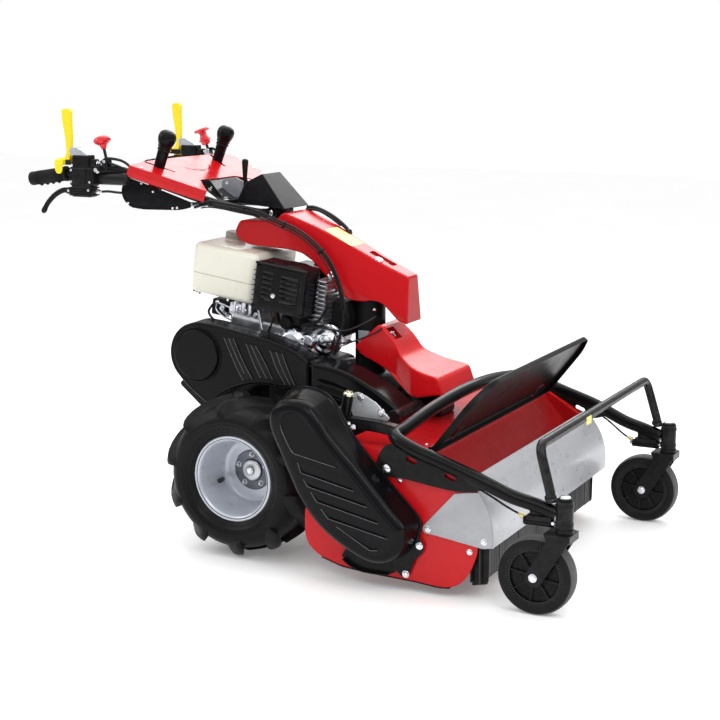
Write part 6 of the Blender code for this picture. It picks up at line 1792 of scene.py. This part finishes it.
for s in (-1, 1):
    for (x, z) in ((-.095, .175), (-.060, .155), (.075, .155), (.140, .200), (.210, .245), (.250, .310), (-.120, .250), (-.150, .440), (-.020, .440), (.060, .440), (.170, .455), (.250, .440)):
        g += hex_bolt((x, s * .0600, z), (0, s, 0), .011, .006, .009).mat(1)
    g += prism([(-.145, .46), (-.10, .46), (-.08, .30), (-.10, .30)], s * .0600 - .002, s * .0600 + .002, 'Y', .001, 1)
    g += prism([(.02, .45), (.06, .45), (.09, .26), (.06, .26)], s * .0600 - .002, s * .0600 + .002, 'Y', .001, 1)
    for k in range(4):
        a = math.radians(45 + 90 * k)
        g += hex_bolt((.050 * math.cos(a), s * .0640, AXLE_Z + .050 * math.sin(a)), (0, s, 0), .009, .005).mat(1)
g += box((.205, .240), (-.0440, -.0425), (.560, .600), .0004, 1).mat(2)
g += dome_bolt((.2500, -.0320, .6600), (.5, -1, 0), .0055, .003).mat(1)
make("drive_case", g, ["black_cast", "zinc", "plate_grey"], "chassis", "main_frame")

# bits behind the wheel and between the casings
g = plate([filleted([(-.2980, .4300), (-.2200, .3660), (-.2050, .3760), (-.2050, .4100), (-.2300, .4320), (-.2800, .4460)], .01, 3, closed=True)], -.2030, -.2000, 'Y', .0006, 1)
g += box((-.2400, -.1900), (-.2030, -.0600), (.4180, .4220), .0012, 1)
g += plate([filleted([(-.2200, .4300), (-.2200, .4000), (-.1600, .3700), (-.0600, .3900), (.0000, .4000), (.0000, .4600), (-.2200, .4600)], .01, 3, closed=True)], -.2010, -.1980, 'Y', .0006, 1)
make("rear_guard", g, "black_coat", "chassis")

# ===================================================================== deck
DY = .455
SIDE = [(.2500, .1850), (.3000, .3300), (.3450, .3760), (.5900, .3760), (.7250, .3030), (.7466, .1334),
        (.7374, .1047), (.7236, .0703), (.7000, .0410), (.6713, .0274), (.6372, .0252), (.5685, .0310),
        (.4279, .0368), (.3559, .0427), (.2939, .0610), (.2624, .0855), (.2500, .1125)]
side_o = [(p[0], p[1]) for p in filleted(SIDE, [.02, .03, .02, .03, .02, .02, .02, .02, .02, .02, .02, .02, .03, .03, .02, .02, .02], 3, closed=True)]
g = Geo()
# rear wall, roof and sloping front panel of the housing, one folded sheet
fold = filleted([(.2530, .1800), (.3030, .3280), (.3470, .3730), (.5890, .3730), (.6050, .3500), (.6800, .2680), (.7050, .2100)],
                [0, .012, .008, .008, .008, .012, 0], 4)
fold = [Vector(p) for p in fold]
rings_t, rings_b = [], []
for i, p in enumerate(fold):
    a, b = fold[max(i - 1, 0)], fold[min(i + 1, len(fold) - 1)]
    t = (b - a).normalized()
    n = Vector((-t.y, t.x))
    rings_t.append(p)
    rings_b.append(p - n * .0030)
loopf = [(p.x, p.y) for p in rings_t] + [(p.x, p.y) for p in reversed(rings_b)]
g += prism(loopf, -.4515, .4515, 'Y')
# faces of the sloping front panel take the darker red copy: painted shade inside the housing's mouth
for q, f in enumerate(g.f):
    c = sum((g.v[i] for i in f), Vector()) / len(f)
    if c.x > .600 and abs(c.y) < .40:
        g.m[q] = 3
for side, s in SIDES:
    y0, y1 = sorted((s * .4512, s * .4548))
    hole = [circle(.500, .182, .0170, 28)]
    g += plate([side_o] + hole, y0, y1, 'Y', .0010, 2)
    # top flange of the side plate, folded inwards, and the skid along its foot
    g += prism([(.3500, .3760), (.5880, .3760), (.5880, .3735), (.3500, .3735)], *sorted((s * .4400, s * .4545)), 'Y', .0008, 1)
    skid = [(p[0], p[1]) for p in filleted([(.3000, .0570), (.3600, .0395), (.4300, .0335), (.5690, .0280), (.6380, .0220), (.6700, .0245), (.6700, .0275), (.6380, .0252),
                              (.5690, .0312), (.4300, .0370), (.3600, .0430), (.3000, .0612)], .01, 2, closed=True)]
    g += prism(skid, *sorted((s * .4400, s * .4560)), 'Y', .0008, 1).mat(1)
    # pivot bolts of the caster frame and the flap
    g += rod((.496, s * .4530, .325), (.496, s * .4640, .325), .0080, 28)
    g += lathe([(0, .0085), (.0062, .0078), (.0104, .0056), (.0122, .0028), (.0126, .0), (.0126, -.0004), (0, -.0004)], (.496, s * .4662, .325), (0, s, 0), 36).mat(2)
    g += rod((.6086, s * .4530, .1767), (.6086, s * .4595, .1767), .0055, 20)
    g += nut((.6086, s * .4586, .1767), (0, s, 0), .0115, .0055, .0034).mat(2)
    g += dome_bolt((.5270, s * .4548, .2960), (0, s, 0), .0075, .0038).mat(2)
    g += hex_bolt((.7240, s * .4548, .1300), (0, s, 0), .010, .005, .008).mat(2)
    # side pockets inside the housing's mouth
    g += prism([(.5960, .3500), (.6000, .3720), (.7050, .3100), (.7200, .2920), (.7250, .2100), (.7050, .2100), (.6800, .2680)], *sorted((s * .4380, s * .4512)), 'Y', .0010, 1)
# bearing carriers of the rotor
for s in (-1, 1):
    g += lathe(filleted([(.0172, .0), (.0420, .0), (.0420, .0050), (.0300, .0060), (.0280, .0100), (.0172, .0100), (.0172, 0)], .0008, 2), (.500, s * .4546, .182), (0, s, 0), 40).mat(1)
    if s > 0:
        for k in range(4):
            a = math.radians(45 + 90 * k)
            g += hex_bolt((.500 + .036 * math.cos(a), s * .4596, .182 + .036 * math.sin(a)), (0, s, 0), .010, .005).mat(2)
# bevel gear case on the roof
g += through(box((.3720, .4650), (-.055, .055), (.3725, .4550)), ('BEVEL', dict(width=.008, segments=3))).mat(1)
for (x, y) in ((.385, -.045), (.385, .045), (.452, -.045), (.452, .045)):
    g += hex_bolt((x, y, .4545), (0, 0, 1), .011, .006, .009).mat(2)
g += rod((.418, -.2600, .4120), (.418, -.0540, .4120), .0180, 28, .002).mat(1)
for y in (-.300, .300):
    lug_ = [(.5860, .3690), (.5880, .3860), (.5940, .3905), (.6000, .3915), (.6070, .3875), (.6095, .3800), (.6060, .3700), (.5960, .3610)]
    g += prism(lug_, y - .002, y + .002, 'Y', .0006, 1)
# carrier plate of the upper shaft
ear = filleted([(.2450, .4000), (.2620, .3300), (.3060, .3300), (.3400, .3700), (.3380, .4700), (.2600, .4700)], .010, 3, closed=True)
g += plate([[(p[0], p[1]) for p in ear], circle(.288, .428, .0135, 24)], -.4548, -.4512, 'Y', .0008, 1).mat(1)
for (x, z) in ((.262, .452), (.322, .452), (.318, .395)):
    g += hex_bolt((x, -.4548, z), (0, -1, 0), .010, .005, .008).mat(2)
# row of trough screws seen under the lid
for k in range(7):
    g += dome_bolt((.5600, -.36 + .12 * k, .3730), (0, 0, 1), .0045, .0028).mat(2)
make("deck_shell", g, ["red_enamel", "black_coat", "zinc", "red_enamel_inner"], "chassis", "deck_housing", angle=32)

# galvanised bearer plate with its bolts, and the bolts and nuts round the cover
g = plate([filleted([(.3560, .4940), (.3700, .4990), (.3820, .4960), (.4254, .4740), (.4642, .4360), (.4560, .4290), (.3560, .4330), (.3480, .4600)], .006, 3, closed=True)],
          -.3810, -.3780, 'Y', .0006, 1)
for (x, z) in ((.3787, .4870), (.4400, .4500)):
    g += hex_bolt((x, -.3812, z), (0, -1, 0), .013, .006, .0105).mat(1)
make("bearer_plate", g, ["galvanised_sheet", "zinc"], "chassis")

g = Geo()
for (x, z) in ((.5890, .1310), (.5510, .0500), (.3583, .4332), (.5590, .1290)):
    g += hex_bolt((x, -.4656, z), (0, -1, 0), .0125, .006, .010)
g += nut((.3940, -.4556, .4215), (0, -1, 0), .010, .005, .0030)
g += nut((.3800, -.4556, .4285), (0, -1, 0), .009, .004, .0025)
make("cover_bolts", g, "zinc", "chassis")

# end plates in front of the curtain
g = Geo()
for e, x1 in ((-1, .7700), (1, .7560)):
    g += plate([filleted([(.7240, .1500), (x1, .1500), (x1 - .0010, .0560), (x1 - .0040, .0450), (.7240, .0360)], .003, 3, closed=True)],
               *sorted((e * .4335, e * .4360)), 'Y', .0006, 1)
    g += box((.7240, .7270), tuple(sorted((e * .4340, e * .4500))), (.0480, .1400), .0006, 1)
make("end_guards", g, "black_coat", "chassis")

# rotor with bolted hammers
g = lathe(filleted([(0, .4560), (.0150, .4560), (.0160, .4550), (.0160, .4360), (.0400, .4330), (.0400, -.4330), (.0160, -.4360), (.0160, -.4990), (.0150, -.5000), (0, -.5000)], .0006, 1),
          (.5, 0, .182), (0, 1, 0), 40)
for i in range(10):
    y = -.405 + .090 * i
    for k in range(2):
        t = math.radians(i * 72.0 + 180 * k)
        blade = Geo()
        for e in (-1, 1):
            blade += prism([(.030, -.014), (.062, -.014), (.070, -.008), (.070, .008), (.062, .014), (.030, .014)], e * .0125 - .0025, e * .0125 + .0025, 'Y', .0008, 1)
        hm = [(.048, -.0090), (.108, -.0080), (.124, -.0130), (.128, -.0060), (.128, .0060), (.124, .0130), (.108, .0080), (.048, .0090)]
        blade += prism(hm, -.0095, .0095, 'Y', .0012, 1)
        blade += rod((.058, -.0175, 0), (.058, .0175, 0), .0055, 14, .0008)
        blade += hex_bolt((.058, .0150, 0), (0, 1, 0), .013, .004)
        g += blade.at(Matrix.Translation((.5, y, .182)) @ Matrix.Rotation(t, 4, 'Y'))
make("flail_rotor", g, "hammer_steel", "flail", "rotor", weld=False)

# galvanised flap: bent front sheet and two separate side plates, the plates in a darker copy of the zinc as painted
# shade
FX, FZ = .6086, .1767
g = prism(arc(FX, FZ, .1802, -9.5, 51, 40) + arc(FX, FZ, .1782, 51, -9.5, 40), -.4560, .4560, 'Y', .0005, 1, 50)
g += prism(arc(FX, FZ, .1810, 49.5, 52, 3) + arc(FX, FZ, .1765, 52, 49.5, 3), -.4540, .4540, 'Y', .0006, 1, 50)
for side, s in SIDES:
    y0, y1 = sorted((s * .4557, s * .4582))
    sector = ([(.7600, .1440), (.6350, .1620), (.6100, .1640)] + arc(FX, FZ, .0140, 250, 130, 8) +
              [(.6820, .2790), (.7200, .2860), (.7540, .2900)] + arc(FX, FZ, .1790, 38, -9.0, 14))
    sector = filleted(sector, .003, 2, closed=True)
    g += plate([[(p[0], p[1]) for p in sector], circle(FX, FZ, .0060, 20)], y0, y1, 'Y', .0005, 1).mat(2)
    g += hex_bolt((.7640, s * .4582, .1620), (0, s, 0), .010, .0045, .0085).mat(1)
make("flap_sheet", g, ["galvanised_sheet", "zinc", "galvanised_side"], "flap", "front_flap", angle=30)

# curtain: overlapping strips on a top band
g = box((.7476, .7506), (-.4500, .4500), (.1450, .1750), .0008, 1)
n = 13
w = .9000 / n
for i in range(n):
    a = -.4500 + w * i
    x = .7478 if i % 2 else .7490
    strip = box((x - .0010, x + .0012), (a + .0006, a + w - .0006), (.0450, .1500))
    strip = through(strip, ('BEVEL', dict(width=.0006, segments=1)))
    g += strip
    for k in range(3):
        g += box((x + .0010, x + .0017), (a + w * (.25 + .25 * k) - .0006, a + w * (.25 + .25 * k) + .0006), (.0460, .1440), .0002, 1)
    if i % 2 == 0:
        g += dome_bolt((.7506, a + w / 2, .1610), (1, 0, 0), .0050, .0030).mat(1)
make("curtain_strips", g, ["curtain_rubber", "zinc"], "chassis", "rubber_curtain", weld=False)

# lid: pressed pan with flanges, standing open
LW, LH = .4300, .2360
lid_o = filleted([(-LW, .0055), (LW, .0055), (LW, .1700), (LW - .0620, LH), (-LW + .0620, LH), (-LW, .1700)], [.004, .004, .03, .03, .03, .03], 5, closed=True)
lid_o = [(p[0], p[1]) for p in lid_o]


def lid_ring(d, x):
    return [(x, p[0], p[1]) for p in inset(lid_o, d)]


rings = [lid_ring(.0010, .0195), lid_ring(.0002, .0190), lid_ring(.0, .0180), lid_ring(0, .0080)]
for k in range(1, 6):
    a = math.radians(90 * k / 5)
    rings.append(lid_ring(.0050 * (1 - math.cos(a)), .0080 - .0050 * math.sin(a)))
g = loft(rings)
g += relief(inset(lid_o, .0050), .012, lambda u, w: .0018 * step(min(LW - abs(u), LH - w, w), .012, .030), lambda y, z, h: (.0030 + h, y, z))
g = through(g, ('SOLIDIFY', dict(thickness=.0020, offset=-1)))
g += rod((.0010, -LW, .0045), (.0010, LW, .0045), .0043, 20, .0006)
for y in (-.300, .300):
    g += box((.0050, .0085), (y - .020, y + .020), (.0200, .0500), .001, 1)
    for e in (-.012, .012):
        g += dome_bolt((.0030, y + e, .036), (-1, 0, 0), .0045, .0025).mat(1)
lid_m = Matrix.Translation((.5965, 0, .3790)) @ Matrix.Rotation(math.atan2(.1435, .1850), 4, 'Y')
make("lid_pan", g, ["lid_black", "zinc"], "deck_lid", "lid", lid_m, 32)

# ============================================================== caster frame
nearp = [(.9560, -.4580, .2620), (.9000, -.4620, .2790), (.8357, -.4690, .2960), (.7428, -.4785, .3340), (.6500, -.4785, .3640),
         (.5700, -.4785, .3900), (.5150, -.4560, .4100), (.5130, -.4000, .4170), (.5200, -.2000, .4420), (.5280, 0, .4540)]
full = nearp + [(x, -y, z) for x, y, z in reversed(nearp[:-1])]
g = sweep(smooth_path(full, 7), .0180, 28)
for side, s in SIDES:
    y0, y1 = sorted((s * .4602, s * .4646))
    gus = [(.4660, .3120), (.4620, .3300), (.4700, .3560), (.4900, .3900), (.5400, .3950), (.6500, .3600), (.7428, .3300), (.7900, .3100),
           (.7654, .2985), (.6978, .2851), (.6150, .2934), (.5449, .3036), (.5150, .3030), (.4800, .3030)]
    gus = [(p[0], p[1]) for p in filleted(gus, [.01, .012, .02, .02, .02, .02, .02, .006, .02, .03, .03, .02, .01, .01], 3, closed=True)]
    slots = []
    for (cx, cz) in ((.5640, .3540), (.6720, .3220) if s < 0 else (.7020, .3215)):
        d = Vector((.93, -.36)).normalized()
        q = Vector((-d.y, d.x))
        st = [Vector((-.0100, 0)) + Vector((math.cos(t), math.sin(t))) * .0055 for t in [math.radians(90 + 22.5 * i) for i in range(9)]]
        st += [Vector((.0100, 0)) + Vector((math.cos(t), math.sin(t))) * .0055 for t in [math.radians(-90 + 22.5 * i) for i in range(9)]]
        slots.append([tuple(Vector((cx, cz)) + d * p.x + q * p.y) for p in st])
    g += plate([gus] + slots + [circle(.496, .325, .0086, 24)], y0, y1, 'Y', .0008, 2)
    # weld beads along the arm
    bead = [Vector((.5050 + .0118 * i, s * .4606, .3962 - .00372 * i)) for i in range(22)]
    g += sweep(bead, lambda t: .0022 + .0006 * math.sin(t * 130), 8)
    # swivel housing
    g += lathe(filleted([(.0218, .2990), (.0218, .2280), (.0139, .2280), (.0139, .2990), (.0218, .2990)], .0012, 2), (.977, s * .461, 0), (0, 0, 1), 48)
    g += lathe(filleted([(.0216, .2900), (.0232, .2900), (.0232, .2820), (.0216, .2820)], .0008, 2), (.977, s * .461, 0), (0, 0, 1), 48)
    g += lathe(filleted([(.0216, .2420), (.0230, .2420), (.0230, .2320), (.0216, .2320)], .0008, 2), (.977, s * .461, 0), (0, 0, 1), 48)
    # lock housing under the arm with its cable end
    yl = s * .4560
    g += lathe(filleted([(.0054, 0), (.0106, 0), (.0112, .0015), (.0112, .0760), (.0100, .0800), (.0054, .0800), (.0054, 0)], .0006, 2), (.8700, yl, .2350), (1, 0, 0), 28)
    g += through(box((.8780, .9440), (yl - .0105, yl + .0105), (.2380, .2520)), ('BEVEL', dict(width=.002, segments=2)))
    g += prism([(.8850, .2480), (.9420, .2480), (.9420, .2700), (.8850, .2760)], yl - .004, yl + .004, 'Y', .001, 1)
    g += lathe([(0, .018), (.0030, .018), (.0034, .014), (.0050, .0135), (.0055, .006), (.0068, .0055), (.0068, 0), (0, 0)], (.8690, yl, .2440), (-1, 0, .38), 20).mat(1)
    g += sweep(smooth_path([(.8560, yl, .2490), (.8380, s * .4600, .2580), (.8180, s * .4660, .2700), (.7950, s * .4720, .2850), (.7700, s * .4765, .2990), (.7400, s * .4785, .3150), (.7200, s * .4785, .3240)], 8), .0028, 12).mat(2)
    g += hex_bolt((.9500, s * .4668, .2390), (0, s, 0), .009, .005).mat(3)
    g += lathe(filleted([(.0120, .012), (.0150, .010), (.0150, 0), (.0120, 0)], .001, 1), (.9405, s * .462, .2960), (-.1, 0, 1), 24)
# rear arm with the height screw's collar
arm = filleted([(.3180, .4100), (.3180, .4380), (.4400, .4340), (.5100, .4240), (.5100, .3980), (.4400, .4060)], .004, 2, closed=True)
g += plate([[(p[0], p[1]) for p in arm]], -.4200, -.4170, 'Y', .0008, 1)
g += plate([[(p[0], p[1]) for p in arm]], -.3930, -.3900, 'Y', .0008, 1)
topr = [(.3180, .4380), (.4400, .4340), (.5100, .4240), (.5100, .4212), (.4400, .4312), (.3180, .4352)]
tp_ = prism(topr, -.4200, -.3900, 'Y', .0006, 1)
g += cut(tp_, rod((.3370, -.4050, .3900), (.3370, -.4050, .4600), .0160, 28))
g += prism([(.3180, .4100), (.4400, .4060), (.5100, .3980), (.5100, .4008), (.4400, .4088), (.3560, .4115)], -.4200, -.3900, 'Y', .0006, 1)
make("caster_arms_tube", g, ["black_coat", "yellow_zinc", "hose_rubber", "zinc"], "caster_arms", "caster_frame", weld=False)

g = lathe(filleted([(.0, .5080), (.0075, .5080), (.0090, .5070), (.0090, .5010), (.0125, .5005), (.0140, .4990), (.0145, .4960), (.0145, .4400), (.0130, .4386), (.0100, .4385)], .0006, 1)
          + [(.0100, .3900), (.0092, .3860), (.0092, .3780), (0, .3780)], (.3370, -.4050, 0), (0, 0, 1), 36)
for k in range(9):
    g += lathe([(.0099, .3800 + .0022 * k), (.0104, .3811 + .0022 * k), (.0099, .3822 + .0022 * k), (.0090, .3811 + .0022 * k), (.0099, .3800 + .0022 * k)], (.3370, -.4050, 0), (0, 0, 1), 28).mat(1)
g += lathe(filleted([(0, .5120), (.0080, .5120), (.0092, .5105), (.0092, .5070), (.0130, .5062), (.0148, .5040), (.0148, .4985), (0, .4985)], .0008, 1), (.3370, -.4050, -.004), (0, 0, 1), 36).mat(1)
lean_ = Matrix.Translation((.3420, -.4050, .4300)) @ Matrix.Rotation(math.radians(12), 4, 'Y') @ Matrix.Translation((-.3370, .4050, -.4300))
make("height_screw", g, ["black_coat", "pale_zinc"], "caster_arms", "height_adjuster", lean_)

# bumper, its black lightened along the top as a painted highlight
bpts = [(.9430, -.4620, .2900), (.9400, -.4620, .3100), (.9050, -.4560, .4290), (.9050, .4560, .4290), (.9400, .4620, .3100), (.9430, .4620, .2900)]
P = [Vector(p) for p in bpts]
path = [P[0]]
for a, b, c in zip(P, P[1:], P[2:]):
    u, v = a - b, c - b
    k = min(.035, u.length * .45, v.length * .45)
    p, q = b + u.normalized() * k, b + v.normalized() * k
    for i in range(9):
        t = i / 8
        path.append((1 - t) ** 2 * p + 2 * t * (1 - t) * b + t * t * q)
path.append(P[-1])
g = sweep(path, .0125, 28)
for s in (-1, 1):
    g += lathe([(.0115, .0), (.0150, .0005), (.0160, .003), (.0140, .0060), (.0115, .0070)], (.9425, s * .4620, .2950), (-.1, 0, 1), 24)
tag_ = [(.9050 + .0132 * math.cos(math.radians(a)), .4290 + .0132 * math.sin(math.radians(a))) for a in range(-150, 21, 10)]
tag_ += [(.9050 + .0122 * math.cos(math.radians(a)), .4290 + .0122 * math.sin(math.radians(a))) for a in range(20, -151, -10)]
g += prism(tag_, -.1300, -.0900, 'Y').mat(1)
g += prism([(.9170, .4290), (.9182, .4290), (.9180, .4120), (.9168, .4120)], -.1300, -.0900, 'Y').mat(1)
make("bumper_bar", g, ["black_coat_bar", "label_yellow"], "caster_arms", "bumper", weld=False)

# forks, caster wheels and lock pins
for side, s in SIDES:
    y = s * .461
    CX, CZ = .909, .100
    g = lathe(filleted([(0, .3080), (.0060, .3080), (.0090, .3062), (.0150, .3050), (.0185, .3030), (.0190, .2992), (.0135, .2990), (.0135, .2278), (.0230, .2276), (.0240, .2260), (.0240, .2170), (0, .2170)], .0006, 1),
              (.977, y, 0), (0, 0, 1), 40)
    # zinc cap nut on top
    g += lathe([(0, .3110), (.0050, .3106), (.0110, .3098), (.0140, .3082), (.0144, .3052), (0, .3050)], (.977, y, 0), (0, 0, 1), 32).mat(1)
    yoke = rounded_rect((.9330, 1.0020), (y - .0350, y + .0350), .008, 4)
    g += prism(yoke, .2118, .2172, 'Z', .0012, 2)
    for k in (-1, 1):
        y0, y1 = sorted((y + k * .0303, y + k * .0342))
        leg = filleted([(.9330, .2165), (1.0020, .2165), (1.0020, .2040), (.9330, .0900), (.9240, .0790), (.9090, .0745), (.8940, .0800), (.8865, .0940), (.8900, .1100), (.9430, .1980)],
                       [.004, .004, .012, .02, .012, .012, .012, .012, .012, .02], 4, closed=True)
        g += plate([[(p[0], p[1]) for p in leg]], y0, y1, 'Y', .0010, 2)
    g += prism([(1.0005, y - .0342), (1.0005, y + .0342), (1.0030, y + .0342), (1.0030, y - .0342)], .1960, .2165, 'Z', .0008, 1)
    g += rod((CX, y - .0350, CZ), (CX, y + .0350, CZ), .0080, 24)
    for k in (-1, 1):
        g += hex_bolt((CX, y + k * .0340, CZ), (0, k, 0), .0150, .0055, .0112).mat(1)
    make(f"swivel_fork_{side}", g, ["black_coat", "zinc"], f"swivel_{side}", f"fork_{side}", weld=False)

    # wheel: solid rubber tread on a spoked hub with a ring of teeth
    C = Vector((CX, y, CZ))
    tread = [(.0785, .0225), (.0860, .0236), (.0925, .0232), (.0968, .0208), (.0990, .0165), (.0999, .0100), (.1000, 0)]
    tread = filleted(tread, .0016, 2)
    prof = tread + [(r, -h) for r, h in reversed(tread[:-1])] + [(.0750, -.0200), (.0750, .0200)]
    g = lathe(prof, C, (0, 1, 0), 96)
    for q, f in enumerate(g.f):
        c = sum((g.v[i] for i in f), Vector()) / len(f)
        rr = math.hypot(c.x - CX, c.z - CZ)
        if rr > .0955:
            g.m[q] = 1
    hubp = [(.0086, .0285), (.0190, .0285), (.0205, .0270), (.0212, .0180), (.0215, .0120), (.0640, .0120), (.0655, .0195), (.0665, .0212), (.0690, .0212)]
    hub = lathe(filleted(hubp, .0008, 1) + [(.0692, .0110), (.0752, .0110), (.0756, .0215), (.0780, .0222), (.0785, .0205), (.0785, -.0205), (.0780, -.0222), (.0756, -.0215), (.0752, -.0110), (.0692, -.0110)] +
                [(r, -h) for r, h in reversed(filleted(hubp, .0008, 1))], C, (0, 1, 0), 96).mat(2)
    g += hub
    for k in range(8):
        a = math.radians(45 * k + 10)
        for e in (-1, 1):
            y_lo, y_hi = sorted((e * .0100, e * .0200))
            sp = prism([(.0195, -.0016), (.0660, -.0013), (.0660, .0013), (.0195, .0016)], y_lo, y_hi, 'Y', .0006, 1)
            g += sp.at(Matrix.Translation(C) @ Matrix.Rotation(a, 4, 'Y')).mat(2)
    for k in range(72):
        a = math.radians(5 * k)
        for e in (-1, 1):
            y_lo, y_hi = sorted((e * .0100, e * .0214))
            tooth = prism([(.0686, -.0013), (.0758, -.0014), (.0758, .0014), (.0686, .0013)], y_lo, y_hi, 'Y')
            g += tooth.at(Matrix.Translation(C) @ Matrix.Rotation(a, 4, 'Y')).mat(3)
    for e in (-1, 1):
        for rr_ in (.0400, .0560):
            g += lathe([(rr_ - .0012, e * .0115), (rr_ - .0008, e * .0134), (rr_ + .0008, e * .0134), (rr_ + .0012, e * .0115)], C, (0, 1, 0), 72).mat(2)
    for e in (-1, 1):
        for rr_ in (.0668, .0775):
            g += lathe([(rr_ - .0009, e * .0208), (rr_ - .0005, e * .0219), (rr_ + .0005, e * .0219), (rr_ + .0009, e * .0208)], C, (0, 1, 0), 96).mat(3)
    make(f"caster_tyre_{side}", g, ["grip_rubber", "tread_grey", "black_moulded", "nylon_grey"], f"roller_{side}", f"caster_wheel_{side}", weld=False)

    yl = s * .4560
    g = lathe(filleted([(0, 0), (.0044, 0), (.0050, .0008), (.0050, .0905), (.0036, .0930), (0, .0930)], .0004, 1), (.8620, yl, .2350), (1, 0, 0), 24)
    make(f"lock_pin_rod_{side}", g, "zinc", f"lock_{side}", f"lock_pin_{side}")
